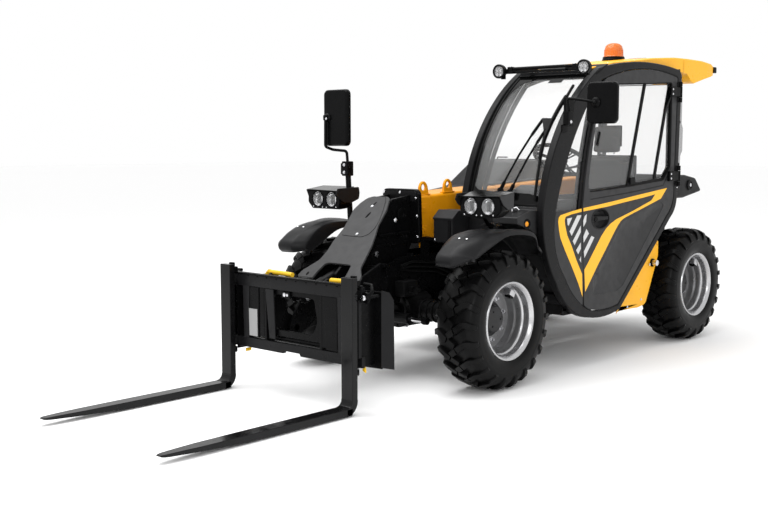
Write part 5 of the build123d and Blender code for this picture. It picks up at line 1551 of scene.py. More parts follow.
# welded wear-pad plates, their screws, and the seam of the front collar
for u, v in ((2080, 60), (2080, -70)):
    side_bits.append((boom_plate([(u - 22, v - 26), (u + 22, v - 26), (u + 22, v + 26), (u - 22, v + 26)], BX1 + 3, BX1 + 6.5, (), 1.5), boom_paint_and_shade))
    side_bits.append((bolt(boom_at(BX1 + 6, u, v), (1, 0, 0), 7, 5), boom_paint_and_shade))
for u in (2010, 1745):
    side_bits.append((boom_plate([(u - 2.5, -HH + 12), (u + 2.5, -HH + 12), (u + 2.5, HH - 12), (u - 2.5, HH - 12)], BX1 - 1, BX1 + 1.6, (), 1), boom_paint_and_shade))
tongue = boom_plate([(2121, -HH + 10), (2121, -HH - 24), (2112, -HH - 38), (2104, -HH - 34), (2096, -HH - 6), (2082, -HH + 4)], BX1 - 12, BX1 + 4, (), 3)
sleeve = [(lathe([(0, 34), (0, 62), (4, 66), (10, 66), (14, 62), (14, 34)], (BX1, PIV_Y, PIV_Z), (1, 0, 0), 44), boom_paint_and_shade),
          (lathe([(0, 34), (0, 62), (4, 66), (10, 66), (14, 62), (14, 34)], (BX0, PIV_Y, PIV_Z), (-1, 0, 0), 44), boom_paint_and_shade)]
clevis = []
for x0 in (-167, -81):
    clevis.append((plate("X", [boom_at(0, 1010, -HH + 2)[1:], boom_at(0, 1060, -HH - 50)[1:], (38, 712), (20, 700), (-20, 700), (-38, 712),
                               boom_at(0, 1200, -HH - 50)[1:], boom_at(0, 1250, -HH + 2)[1:]], x0, x0 + 18, (), 3), boom_paint_and_shade))
clevis.append((rod((-172, 0, 745), (-58, 0, 745), 19.5, 24, 2), zinc))
rear_cap = boom_plate([(-86, -HH + 8), (-82, -HH + 8), (-82, HH - 8), (-86, HH - 8)], BX0 + 10, BX1 - 10, (), 1.5)
pipes = []
for dx, dv in ((-22, 8), (-48, 8), (-70, 8)):
    pts = [boom_at(BX1 + dx - 60, u, HH + dv) for u in (150, 600, 1200, 1500)]
    pipes.append((tube(pts, 6, 0, 8), black))
for u in (300, 800, 1300):
    pipes.append((boom_plate([(u - 15, HH - 1), (u - 15, HH + 17), (u + 15, HH + 17), (u + 15, HH - 1)], BX1 - 142, BX1 - 72, (), 3), black))
piece("outer_boom_shell", [(outer, boom_paint_and_shade), (tongue, boom_paint_and_shade), (rear_cap, black)] + eyes + side_bits + sleeve + clevis + pipes,
      "boom", "boom_yellow", ("outer_boom",), angle=32)

# ------------------------------------------------------------------- boom head
face_n = Vector((0, -0.6476, 0.7619))
face_y = Vector((0, 0.7619, 0.6476))
face_m = Matrix(((1, 0, 0, 0), (0, face_y.y, face_n.y, -1196), (0, face_y.z, face_n.z, 1018), (0, 0, 0, 1)))
face_o = [(-236, -110), (-222, -52), (-196, -8), (-160, 8), (-49, 10), (-22, -6), (-13, -30), (17, -99), (42, -223), (76, -303),
          (105, -381), (127, -474), (144, -548), (196, -612), (204, -655), (84, -655), (80, -600), (66, -540), (44, -534), (-108, -534),
          (-134, -545), (-146, -600), (-148, -655), (-272, -655), (-262, -606), (-196, -520), (-190, -452), (-202, -365),
          (-200, -264), (-222, -160)]
face_o = [(p.x, p.y) for p in rounded([(a, b, 0) for a, b in face_o], [30, 24, 26, 18, 10, 8, 8, 40, 60, 60, 60, 40, 30, 16, 12, 6, 6, 12,
                                                                     10, 8, 14, 6, 6, 12, 16, 30, 30, 40, 60, 40], 3)]


def oval(cx, cy, w, h, a=0.0, n=20):
    out = []
    for k in range(n):
        t = 2 * pi * k / n
        x, y = w * cos(t), h * sin(t)
        out.append((cx + x * cos(a) - y * sin(a), cy + x * sin(a) + y * cos(a)))
    return out


holes_f = [oval(-87, -150, 9, 25, -0.15), oval(-101, -56, 6, 16, -0.2), oval(-206, -628, 8, 13), oval(150, -626, 7, 11)]
face_pl = plate("Z", face_o, 0, 13, holes_f, 3.0, m=face_m)
patch_o = [(-196, -20), (-150, 2), (-60, 2), (-36, -30), (-2, -110), (24, -180), (36, -255), (22, -300), (-14, -322), (-98, -322), (-170, -318)]
patch_o = [(p.x, p.y) for p in rounded([(a, b, 0) for a, b in patch_o], [20, 16, 16, 14, 40, 50, 40, 30, 26, 14, 10], 4)]
patch = plate("Z", patch_o, 13.2, 15.2, holes_f[:2], 0.9, m=face_m)
patch_line = plate("Z", inset(patch_o, -2.2), 12.8, 13.4, [inset(patch_o, 0.2)], 0.2, m=face_m)


def on_face(a, b, h=14):
    p = Vector((a, -1196, 1018)) + face_y * b + face_n * h
    return p


head = [(face_pl, head_coat), (patch, head_coat), (patch_line, black)]
for a, b in ((-107, -78), (-61, -305)):
    head.append((dome_bolt(on_face(a, b, 15), face_n, 10, 6), zinc))
# well behind the slots
head.append((plate("Z", [(-130, -190), (-50, -190), (-50, -20), (-130, -20)], -14, -6, (), 1, m=face_m), black))
FU = 2133.0
fl_o = rrect(BX0 + 2, BX1 + 34, -HH - 6, HH + 41, 34)
flange = loft([[boom_at(x, FU + 0, v) for x, v in rrect(BX0 + 4, BX1 + 32, -HH - 4, HH + 39, 32)],
               [boom_at(x, FU + 2, v) for x, v in fl_o], [boom_at(x, FU + 27, v) for x, v in fl_o],
               [boom_at(x, FU + 30, v) for x, v in rrect(BX0 + 5, BX1 + 31, -HH - 3, HH + 38, 31)]])
head.append((flange, black))
fl2 = loft([[boom_at(x, FU + 29, v) for x, v in rrect(BX0 + 14, BX1 + 22, HH - 30, HH + 30, 14)],
            [boom_at(x, FU + 33, v) for x, v in rrect(BX0 + 16, BX1 + 20, HH - 28, HH + 28, 13)]])
head.append((fl2, frame_coat))
bn = (Vector(boom_at(0, 1, 0)) - Vector(boom_at(0, 0, 0))).normalized()
for x, v in ((-96, HH + 20), (24, HH - 10), (-222, HH + 20), (28, -100), (28, 20)):
    head.append((bolt(boom_at(x, FU + 31, v), bn, 7, 5), zinc))
top_u = [boom_at(0, FU + 28, HH + 8)[1:], (-1192, 1020)]
back_u = [(-1400, 500), (-1265, 534), (-1190, 556), (-1060, 700), boom_at(0, FU + 28, -HH + 4)[1:]]
rc = top_u + [(-1694, 592), (-1760, 480), (-1842, 345), (-1838, 312), (-1812, 290), (-1780, 286), (-1745, 300), (-1600, 390)] + back_u
lc = top_u + [(-1650, 628), (-1640, 520), (-1600, 390)] + back_u
lf = [(-1652, 625), (-1694, 592), (-1760, 480), (-1842, 345), (-1838, 312), (-1812, 290), (-1780, 286), (-1745, 300), (-1600, 390),
      (-1440, 560), (-1440, 680), (-1500, 690)]


def soft(o, r=12):
    return [(p.x, p.y) for p in rounded([(a, b, 0) for a, b in o], r, 3)]


head += [(plate("X", soft(rc), -195, -177, (), 3), black), (plate("X", soft(lc), -33, -15, (), 3), black),
         (plate("X", soft(lf), 162, 180, (), 3), black)]
# ribs and the folded edge on the left cheek's outside
head += [(plate("X", [(-1320, 812), (-1044, 822), (-1046, 832), (-1320, 824)], -16, 2, (), 2), black),
         (plate("X", [(-1344, 752), (-1060, 768), (-1060, 776), (-1344, 764)], -16, -6, (), 2), black),
         (plate("X", [(-1062, 704), (-1190, 560), (-1262, 537), (-1400, 504), (-1398, 494), (-1258, 524), (-1180, 546), (-1050, 694)], -15, 26, (), 2), black),
         (poly_solid([(-33, -1500, 662), (180, -1500, 662), (180, -1445, 668), (-33, -1445, 668), (-33, -1500, 650), (180, -1500, 650),
                      (180, -1445, 656), (-33, -1445, 656)],
                     [(0, 1, 2, 3), (4, 5, 6, 7), (0, 1, 5, 4), (1, 2, 6, 5), (2, 3, 7, 6), (3, 0, 4, 7)], 2), black)]
head += [(lathe([(0, 0), (0, 34), (5, 38), (8, 38), (10, 34), (10, 16), (8, 14), (8, 0)], (-15, -1120, 930), (1, 0, 0), 32, close=False), black),
         (dome_bolt((-15, -1169, 898), (1, 0, 0), 14, 10), zinc),
         (dome_bolt((-15, -1361, 714), (1, 0, 0), 6, 3), black), (dome_bolt((-15, -1320, 716), (1, 0, 0), 5, 3), black)]
head += [(rod((-195, -1590, 450), (180, -1590, 450), 26, 28, 2), black), (rod((-33, -1475, 644), (180, -1475, 644), 24, 28, 2), black),
         (rod((-203, -1330, 715), (-7, -1330, 715), 16, 24, 2), zinc)]
for x0, x1 in ((-232, -177), (162, 232)):
    head.append((rod((x0, -1790, 335), (x1, -1790, 335), 20, 24, 2), zinc))
head += [(lathe([(0, 18), (0, 38), (4, 42), (10, 42), (12, 38), (12, 18)], (x, -1790, 335), (sx, 0, 0), 32), black)
         for x, sx in ((-195, -1), (180, 1))]
hoses = [tube([(-130, -1060, 905), (-128, -1180, 860), (-120, -1300, 800), (-105, -1420, 770), (-95, -1480, 742)], 9, 30, 10),
         tube([(-155, -1060, 880), (-154, -1200, 820), (-150, -1330, 780), (-140, -1440, 700), (-120, -1500, 690)], 9, 30, 10)]
head += [(h, hose_rubber) for h in hoses]
piece("boom_head_plates", head, "boom_extension", "head_paint", ("boom_head",), angle=30)

# --------------------------------------------------------------- quick coupler
qc = []
up_o = soft([(-1985, 610), (-1940, 650), (-1900, 640), (-1860, 560), (-1830, 420), (-1748, 372), (-1742, 320), (-1790, 285),
             (-1880, 262), (-1985, 262)], 14)
up_i = soft([(-1985, 610), (-1950, 640), (-1910, 600), (-1900, 262), (-1985, 262)], 12)
for s in (1, -1):
    qc.append((plate("X", up_o, min(s * 205, s * 223), max(s * 205, s * 223), [circle2(-1790, 335, 20.3)], 3), black))
    qc.append((plate("X", up_i, min(s * 380, s * 398), max(s * 380, s * 398), (), 3), black))
    qc.append((slab(min(s * 223, s * 380), max(s * 223, s * 380), -1985, -1966, 300, 600, 3), black))
qc += [(rod((-398, -1930, 605), (398, -1930, 605), 24, 28, 3), black), (rod((-398, -1930, 300), (398, -1930, 300), 24, 28, 3), black)]
win_o = rrect(-205, 205, 318, 598, 6)
win_h = [(q.x, q.y) for q in rounded([(-150, 352, 0), (140, 352, 0), (176, 420, 0), (150, 540, 0), (-160, 540, 0)], [30, 44, 40, 20, 20], 5)]
bmw = plate("Y", win_o, 0, 10, [win_h], 2)
qc.append((moved(bmw, 0, -1962 - 10, 0), black))
for x0 in (-123, -45):
    qc.append((plate("X", soft([(-1955, 620), (-1905, 632), (-1822, 550), (-1822, 500), (-1870, 490), (-1955, 585)], 10), x0, x0 + 18, (), 2.5), black))
qc.append((rod((-130, -1850, 520), (-20, -1850, 520), 14.8, 24, 2), zinc))
# locking pins with their levers
qc += [(tube([(-250, -1926, 648), (-120, -1932, 648), (-52, -1934, 646)], 13, 10, 16), lever_yellow),
       (poly_solid([(-286, -1936, 622), (-246, -1936, 662), (-232, -1936, 662), (-236, -1936, 634), (-262, -1936, 622),
                    (-286, -1922, 622), (-246, -1922, 662), (-232, -1922, 662), (-236, -1922, 634), (-262, -1922, 622)],
                   [(0, 1, 2, 3, 4), (5, 6, 7, 8, 9), (0, 1, 6, 5), (1, 2, 7, 6), (2, 3, 8, 7), (3, 4, 9, 8), (4, 0, 5, 9)], 1.5), lever_yellow),
       (tube([(236, -1930, 640), (310, -1932, 642), (372, -1932, 643)], 14, 10, 16), lever_yellow),
       (slab(-300, -236, -1946, -1914, 606, 634, 4), black), (slab(372, 396, -1950, -1912, 618, 660, 4), black),
       (rod((-62, -1986, 545), (-62, -1955, 545), 11, 20, 2), zinc), (rod((-40, -1986, 545), (-40, -1960, 545), 8, 20, 2), zinc),
       (slab(-84, -22, -1984, -1962, 528, 562, 4), black), (slab(-412, -402, -1960, -1925, 198, 216, 2), lever_yellow)]
piece("quick_coupler_welded", qc, "carriage", "black_paint", ("quick_coupler",), angle=32)

# ------------------------------------------------------------------ fork frame
rail_top = [(-510, 568), (510, 568), (510, 634)]
x = 490
n_edge = []
while x > -500:
    n_edge += [(x + 5, 634), (x + 5, 622), (x - 5, 622), (x - 5, 634)]
    x -= 76
rail_top += n_edge + [(-510, 634)]
ff = [(moved(plate("Y", rail_top, 0, 24, (), 2.0), 0, -1990, 0), frame_coat)]
low_o = [(-510, 232), (-74, 232), (-66, 246), (56, 246), (64, 232), (510, 232), (510, 287), (-510, 287)]
ff.append((moved(plate("Y", low_o, 0, 24, (), 2.5), 0, -1990, 0), frame_coat))
ff.append((slab(-505, 505, -1990, -1974, 634 - 8, 642, 3), black))
ff.append((slab(-508, 508, -2002, -1976, 636, 641, 2), black))
for x0, xt in ((-510, 0), (470, 0)):
    ff.append((slab(x0, x0 + 40, -2012, -1991, 284, 572, 2.5), frame_coat))
# window posts, wider at the top
for s in (1, -1):
    tap = [(s * 385, 286), (s * 345, 286), (s * 338, 570), (s * 392, 570)]
    tap = tap if s < 0 else tap[::-1]
    ff.append((moved(plate("Y", tap, 0, 20, (), 2.5), 0, -1991, 0), charcoal))
tap2 = [(-180, 300), (-132, 300), (-146, 566), (-210, 566)]
ff.append((moved(plate("Y", tap2, 0, 8, (), 2), 0, -1988, 0), charcoal))
tap3 = [(254, 292), (334, 292), (334, 566), (232, 566)]
ff.append((moved(plate("Y", tap3[::1], 0, 8, (), 2), 0, -1988, 0), black))
ff.append((moved(plate("Y", [(-336, 300), (-270, 300), (-271, 448), (-339, 448)], 0, 3, (), 1), 0, -1994, 0), blank_plate))
ff.append((slab(-335, -262, -1990, -1982, 295, 566, 2), black))
for s in (1, -1):
    sh = [(s * 432, -1990), (s * 432, -1884), (s * 442, -1886), (s * 448, -1898), (s * 448, -1990)]
    ff.append((slab(min(s * 434, s * 446), max(s * 434, s * 446), -1990, -1884, 216, 596, 2.5), black))
    ff.append((poly_solid([(s * 440, -1896, 216), (s * 543, -1882, 216), (s * 541, -1872, 216), (s * 436, -1885, 216),
                           (s * 440, -1896, 604), (s * 543, -1882, 604), (s * 541, -1872, 604), (s * 436, -1885, 604)],
                          [(0, 1, 2, 3), (4, 5, 6, 7), (0, 1, 5, 4), (1, 2, 6, 5), (2, 3, 7, 6), (3, 0, 4, 7)], 2), black))
    ff.append((poly_solid([(s * 541, -1884, 222), (s * 588, -1838, 212), (s * 580, -1830, 212), (s * 536, -1873, 222),
                           (s * 541, -1884, 610), (s * 570, -1856, 600), (s * 586, -1840, 560), (s * 578, -1831, 560), (s * 563, -1846, 600),
                           (s * 536, -1873, 610)],
                          [(0, 1, 2, 3), (4, 5, 6, 7, 8, 9), (0, 1, 6, 5, 4), (1, 2, 7, 6), (2, 3, 9, 8, 7), (3, 0, 4, 9)], 1.5), charcoal))
    ff.append((rod((s * 528, -1890, 584), (s * 528, -1992, 584), 9, 20, 2), black))
    ff.append((rod((s * 528, -1984, 584), (s * 528, -2004, 584), 14, 24, 4), zinc))
    ff.append((lathe([(0, 8), (0, 27), (6, 30), (12, 26), (12, 8)], (s * 528, -1974, 584), (0, -1, 0), 28), black))
    ff.append((tube([(s * 528, -1972, 584), (s * 545, -1950, 612), (s * 520, -1930, 640), (s * 470, -1930, 642)], 9, 16, 10), black))
    ff.append((slab(min(s * 486, s * 498), max(s * 486, s * 498), -1985, -1878, 232, 600, 3), black))
    ff.append((poly_solid([(s * 492, -1968, 214), (s * 512, -1968, 206), (s * 510, -1968, 226), (s * 500, -1968, 244), (s * 494, -1968, 244),
                           (s * 492, -1960, 214), (s * 512, -1960, 206), (s * 510, -1960, 226), (s * 500, -1960, 244), (s * 494, -1960, 244)],
                          [(0, 1, 2, 3, 4), (5, 6, 7, 8, 9), (0, 1, 6, 5), (1, 2, 7, 6), (2, 3, 8, 7), (3, 4, 9, 8), (4, 0, 5, 9)], 1.2), lever_yellow))
piece("fork_frame_welded", ff, "carriage", "black_paint", ("fork_frame",), angle=30)

# ----------------------------------------------------------------------- forks
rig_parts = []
for s in (1, -1):
    fx = s * 466.6
    # a forged blade: thick heel, flat top, underside tapering to a thin tip
    rows = []
    st = [(-2012, 6, 42), (-2052, 6, 42), (-2400, 6, 42), (-2720, 8, 42), (-2960, 18, 42), (-3060, 23, 42), (-3120, 26, 41.5),
          (-3150, 28.5, 41), (-3164, 31, 40), (-3169.5, 34, 38)]
    for y, zb, zt in st:
        w = 40.0
        if y < -2900:
            w = 40 - 19 * ((-2900 - y) / 270.0) ** 1.15
        if y < -3140:
            w -= 6 * ((-3140 - y) / 30.0) ** 2
        b = min(2.5, (zt - zb) * 0.3)
        rows.append([(fx - w, y, zb + b), (fx - w + b, y, zb), (fx + w - b, y, zb), (fx + w, y, zb + b),
                     (fx + w, y, zt - b), (fx + w - b, y, zt), (fx - w + b, y, zt), (fx - w, y, zt - b)])
    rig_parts.append((loft(rows[1:]), fork_coat))
    # heel: a quarter bend between blade and shank
    heel = []
    for k in range(9):
        a = pi / 2 * k / 8
        co, ci = (-2052.0 + 0, 78.0), (-2052.0, 78.0)
        oy, oz = -2052 + 36 * 1.0, 78
        r_out, r_in = 72.0, 36.0
        cy, cz = -2052.0 - 36.0 + 36.0, 78.0
        # outside and inside of the bend about (-2088, 78)
        ccy, ccz = -2088.0, 78.0
        po = (ccy + 72 * sin(a), ccz - 72 * cos(a))
        pi_ = (ccy + 36 * sin(a), ccz - 36 * cos(a))
        heel.append([(fx - 40, po[0], po[1]), (fx - 37.5, po[0] + 1.5 * sin(a), po[1] - 1.5 * cos(a)), (fx + 37.5, po[0] + 1.5 * sin(a), po[1] - 1.5 * cos(a)),
                     (fx + 40, po[0], po[1]), (fx + 40, pi_[0], pi_[1]), (fx + 37.5, pi_[0] - 1.5 * sin(a), pi_[1] + 1.5 * cos(a)),
                     (fx - 37.5, pi_[0] - 1.5 * sin(a), pi_[1] + 1.5 * cos(a)), (fx - 40, pi_[0], pi_[1])])
    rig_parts.append((loft(heel), fork_coat))
    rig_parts.append((slab(fx - 40, fx + 40, -2052, -2016, 76, 683, 3, 3), fork_coat))
    # hooks on the rails, and the latch on top
    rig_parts.append((slab(fx - 34, fx + 34, -2018, -1986, 630, 668, 5, 3), black))
    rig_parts.append((slab(fx - 34, fx + 34, -2018, -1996, 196, 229, 5, 3), black))
    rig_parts.append((slab(fx - 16, fx + 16, -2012, -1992, 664, 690, 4), black))
piece("forks_forged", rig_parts, "carriage", "black_paint", ("forks",), angle=34)

# ---------------------------------------------------------------- inner boom box
GI = 14.0


def in_ring(u, g, r):
    return [boom_at(x, u, v) for x, v in rrect(BX0 + GI - g, BX1 - GI + g, -HH + GI - g, HH - GI + g, r)]


inner = loft([in_ring(230, 0, 12), in_ring(2133, 0, 12), in_ring(2133, -8, 6), in_ring(230, -8, 6)], caps=False, loop=True)
pads = []
for v in (-80, 80):
    pads.append((boom_plate([(250, v - 25), (330, v - 25), (330, v + 25), (250, v + 25)], BX1 - GI - 2, BX1 - GI + 3.5, (), 1), rubber))
    pads.append((boom_plate([(250, v - 25), (330, v - 25), (330, v + 25), (250, v + 25)], BX0 + GI - 3.5, BX0 + GI + 2, (), 1), rubber))
piece("inner_boom_box", [(inner, frame_coat)] + pads, "boom_extension", "black_paint", ("inner_boom",), angle=32)


# --------------------------------------------------------------------- cylinders
def ram(base, eye, x, r_out, bore, r_rod, ear, bar_to, eye_r, eye_bore, eye_w, names, bodies, port_side):
    b, e = Vector((x, base[0], base[1])), Vector((x, eye[0], eye[1]))
    d = (e - b).normalized()
    up = Vector((0, -d.z, d.y))
    if up.z < 0:
        up = -up
    if port_side < 0:
        up = Vector((-1, 0, 0))
    length = (e - b).length
    barrel = lathe([(ear[0] * 0.75, 3), (ear[0] * 0.75, r_out - 4), (ear[0] * 0.75 + 5, r_out - 1), (bar_to - 52, r_out - 1), (bar_to - 49, r_out + 2),
                    (bar_to - 6, r_out + 2), (bar_to - 1, r_out - 3), (bar_to, r_rod + 6), (bar_to, r_rod + 0.4), (bar_to - 60, r_rod + 0.4),
                    (bar_to - 60, 3)], tuple(b), tuple(d), 40)
    earm = lathe([(-ear[1], ear[2]), (-ear[1], ear[0] - 2), (-ear[1] + 2, ear[0]), (ear[1] - 2, ear[0]), (ear[1], ear[0] - 2), (ear[1], ear[2])],
                 tuple(b), (1, 0, 0), 36)
    parts = [(barrel, black), (earm, black)]
    wiper = lathe([(bar_to - 1, r_rod + 0.4), (bar_to - 1, r_rod + 4), (bar_to + 2, r_rod + 2.5), (bar_to + 2, r_rod + 0.4)], tuple(b), tuple(d), 36)
    parts.append((wiper, rubber))
    for t in (ear[0] + 26, bar_to - 78):
        p0 = b + d * t + up * (r_out - 6)
        p1 = b + d * t + up * (r_out + 14)
        parts.append((rod(tuple(p0), tuple(p1), 10, 20, 2), black))
        parts.append((bolt(tuple(p1), tuple(up), 8, 8, False), zinc))
    pipe0 = b + d * (ear[0] + 26) + up * (r_out + 18)
    parts.append((tube([tuple(b + d * (bar_to - 78) + up * (r_out + 18)), tuple(b + d * (bar_to - 110) + up * (r_out + 20)),
                        tuple(pipe0 + d * 50 + up * 2), tuple(pipe0 + d * 12)], 5, 14, 10), zinc))
    piece(names[0], parts, bodies[0], "black_paint", (names[2],), angle=34)
    rodm = lathe([(95, 2), (95, bore), (122, bore), (122, r_rod), (length - eye_r - 14, r_rod), (length - eye_r - 12, r_rod - 2),
                  (length - eye_r - 12, 2)], tuple(b), tuple(d), 36)
    neck = lathe([(length - eye_r - 16, r_rod - 1), (length - eye_r - 16, r_rod + 2), (length - eye_r + 4, r_rod + 3), (length - eye_r + 6, r_rod - 2)],
                 tuple(b), tuple(d), 32)
    eyem = lathe([(-eye_w, eye_bore), (-eye_w, eye_r - 2), (-eye_w + 2, eye_r), (eye_w - 2, eye_r), (eye_w, eye_r - 2), (eye_w, eye_bore)],
                 tuple(e), (1, 0, 0), 36)
    nip = bolt(tuple(e + up * eye_r), tuple(up), 5, 7, False)
    piece(names[1], [(rodm, rod_chrome), (neck, black), (eyem, black), (nip, zinc)], bodies[1], "rod_chrome", (names[3],), angle=34)


ram((850, 430), (0, 745), -115, 48, 37.5, 25, (42, 34, 22.3), 800, 36, 20.2, 28,
    ("lift_cylinder_barrel", "lift_rod_polished", "lift_cylinder", "lift_rod"), ("lift_cylinder", "lift_rod"), 1)
ram((-1330, 715), (-1850, 520), -75, 32, 24.5, 16, (30, 30, 16.3), 430, 27, 15.2, 24,
    ("tilt_cylinder_barrel", "tilt_rod_polished", "tilt_cylinder", "tilt_rod"), ("tilt_cylinder", "tilt_rod"), -1)


# -------------------------------------------------------------------------- roof
def roof_sec(y, x0, x1, zb, zt, r, crown_h):
    hw, xm = (x1 - x0) / 2.0, (x0 + x1) / 2.0
    q = rounded([(x0, zb, 0), (x1, zb, 0), (x1, zt, 0), (x0, zt, 0)], [3, 3, r, r], 5)
    q = [(p.x, p.y) for p in q]
    out = []
    for i, a in enumerate(q):
        out.append(a)
        b = q[(i + 1) % len(q)]
        if abs(a[1] - zt) < 0.5 and abs(b[1] - zt) < 0.5 and abs(a[0] - b[0]) > 50:
            out += [(a[0] + (b[0] - a[0]) * k / 10.0, zt) for k in range(1, 10)]
    return [(a, y, z + (crown_h * max(0, 1 - ((a - xm) / hw) ** 2) if z > (zb + zt) / 2 else 0)) for a, z in out]


top_z = [(-150, 1790), (100, 1835), (448, 1870), (574, 1886), (865, 1906), (1063, 1908), (1263, 1905), (1390, 1893), (1430, 1884), (1452, 1868), (1463, 1848)]
bot_z = [(-150, 1782), (0, 1770), (500, 1800), (868, 1822), (1037, 1808), (1100, 1760), (1135, 1746), (1270, 1778), (1440, 1815), (1463, 1832)]


def along_y(table, y):
    return lerp_rows(table, y)[0]


roof_f = loft([roof_sec(y, 146, 644, along_y(bot_z, y), along_y(top_z, y), 9, -3 if y < 0 else 4)
               for y in (-150, -60, 0, 100, 220, 340, 448, 574, 700, 865, 950, 988)])
tail = []
for y in (984, 1010, 1037, 1063, 1100, 1135, 1200, 1263, 1330, 1390, 1430, 1452, 1463):
    inn = 0 if y < 1390 else 26 * ((y - 1390) / 73.0) ** 2
    tail.append(roof_sec(y, 333 + inn, 644 - inn, along_y(bot_z, y), along_y(top_z, y), 12, 4))
roof_t = loft(tail)
slots = []
for y in (644, 706):
    z = along_y(top_z, y) + 2
    slots.append((slab(424, 520, y - 9, y + 9, z - 5, z + 3.5, 3), black))
slots.append((slab(614, 642, 1436, 1478, 1832, 1874, 5), black))
slots.append((slab(618, 638, 1476, 1481, 1837, 1869, 2), red_lens))
slots.append((tube([(626, 1446, 1872), (606, 1380, 1896), (560, 1240, 1912)], 4, 20, 8), black))
for y in (60, 380, 940):
    slots.append((dome_bolt((622, y, along_y(top_z, y) - 1), (0, -0.1, 1), 6, 4), zinc))
    slots.append((dome_bolt((168, y, along_y(top_z, y) - 1), (0, -0.1, 1), 6, 4), zinc))
piece("cab_roof_moulded", [(roof_f, body_yellow), (roof_t, body_yellow)] + slots, "chassis", "body_yellow", ("cab_roof",), angle=36)

# -------------------------------------------------------------------- rear cover
rc_o = [(p.x, p.y) for p in rounded([(a, b, 0) for a, b in ((885, 965), (885, 1120), (1139, 1123), (1288, 1099), (1383, 1005), (1119, 965))],
                                    [14, 20, 30, 26, 14, 30], 4)]
cover = [(plate("X", rc_o, 60, 600, (), 16, 4), plastic)]
cover.append((lathe([(0, 0), (0, 34), (5, 38), (9, 34), (9, 26), (6, 24), (6, 0)], (600, 1190, 1052), (1, 0, 0), 36, close=False), black))
cover.append((lathe([(6, 0), (6, 13), (12, 12), (13, 0)], (600, 1190, 1052), (1, 0, 0), 24, close=False), zinc))
for k in range(7):
    cover.append((slab(120 + k * 62, 164 + k * 62, 930, 1080, 1118, 1127, 3), black))
cover.append((slab(44, 62, 1002, 1198, 982, 1078, 4), black))
piece("rear_cover_moulded", cover, "chassis", "charcoal_plastic", ("rear_cover",), angle=34)

# ------------------------------------------------------------- lower side panel
lp = [(136, 288), (440, 279), (512, 288), (540, 300), (690, 600), (690, 700), (610, 700), (165, 300)]
lp = [(p.x, p.y) for p in rounded([(a, b, 0) for a, b in lp], [6, 60, 20, 40, 20, 10, 10, 10], 5)]
lpp = [(plate("X", lp, 594, 648, (), 7, 3), body_yellow)]
lpp.append((plate("X", inset(lp, 26), 646, 650, (), 1.6, 2), body_yellow))
lpp.append((slab(100, 640, 180, 428, 280, 299, 4), black))
lpp.append((rod((640, 604, 560), (690, 604, 560), 20, 28, 3), zinc))
lpp.append((rod((636, 604, 560), (662, 604, 560), 27, 28, 3), black))
lpp.append((rod((640, 556, 552), (664, 556, 552), 9, 20, 2), zinc))
lpp += [(bolt((650, 300, 300), (1, 0, 0), 6, 4), zinc), (bolt((650, 470, 330), (1, 0, 0), 6, 4), zinc)]
piece("lower_side_panel_moulded", lpp, "chassis", "body_yellow", ("lower_side_panel",), angle=34)

# ------------------------------------------------------------------- engine hood
hp = [(-560, 931), (-560, 960), (-300, 1000), (100, 1045), (360, 1205), (450, 1222), (800, 1222), (850, 1190), (850, 931)]
hp = [(p.x, p.y) for p in rounded([(a, b, 0) for a, b in hp], [0, 12, 60, 80, 60, 30, 26, 26, 0], 5)]
cy_, cz_ = 200.0, 1020.0


def hood_sec(x, g):
    out = []
    n = len(hp)
    for i, (a, b) in enumerate(hp):
        p0, p1 = hp[max(i - 1, 0)], hp[min(i + 1, n - 1)]
        tx, tz = p1[0] - p0[0], p1[1] - p0[1]
        l = hypot(tx, tz) or 1
        nx, nz = -tz / l, tx / l
        if i in (0, n - 1):
            nz = 0
        out.append((x, a - nx * g, max(929, b - nz * g)))
    return out


rings = [(-699, 20), (-698, 13), (-694, 7), (-687, 2.5), (-677, 0.5), (-660, 0), (-560, -3), (-500, -4), (-440, -3), (-340, 0), (-323, 0.5), (-313, 2.5),
         (-306, 7), (-302, 13), (-301, 20)]
hs = [hood_sec(x, g) for x, g in rings]
verts = [W(*p) for s in hs for p in s]
n = len(hp)
faces = [(i * n + j, i * n + j + 1, (i + 1) * n + j + 1, (i + 1) * n + j) for i in range(len(hs) - 1) for j in range(n - 1)]
faces += [tuple(range(n)), tuple(range((len(hs) - 1) * n, len(hs) * n))]
hood_skin = clean(mesh_from(verts, faces))
bm = bmesh.new()
bm.from_mesh(hood_skin)
bmesh.ops.recalc_face_normals(bm, faces=bm.faces)
if sum(f.normal.z * f.calc_area() for f in bm.faces) < 0:
    bmesh.ops.reverse_faces(bm, faces=bm.faces)
bm.normal_update()
bmesh.ops.triangulate(bm, faces=[f for f in bm.faces if len(f.verts) > 4])
bm.to_mesh(hood_skin)
bm.free()
hood = apply_mods(hood_skin, ("SOLIDIFY", {"thickness": 0.005, "offset": -1.0}))
hd = [(hood, plastic)]
for k in range(9):
    y = 440 + k * 38
    hd.append((plate("X", [(y, 1000), (y + 16, 1000), (y + 40, 1160), (y + 24, 1160)], -703, -697, (), 2), black))
for k in range(8):
    x = -650 + k * 40
    hd.append((slab(x, x + 24, 520, 760, 1221, 1228, 3), black))
for x0 in (-620, -420):
    hd.append((rod((x0, 865, 938), (x0 + 40, 865, 938), 9, 20, 1), zinc))
    hd.append((slab(x0, x0 + 40, 849, 866, 932, 948, 2), black))
hd.append((slab(-530, -470, -566, -556, 936, 956, 3), black))
hd.append((tube([(-650, 640, 1226), (-650, 640, 1240), (-560, 640, 1240)], 5, 10, 8), black))
piece("engine_hood_moulded", hd, "engine_hood", "charcoal_plastic", ("engine_hood",), angle=36)

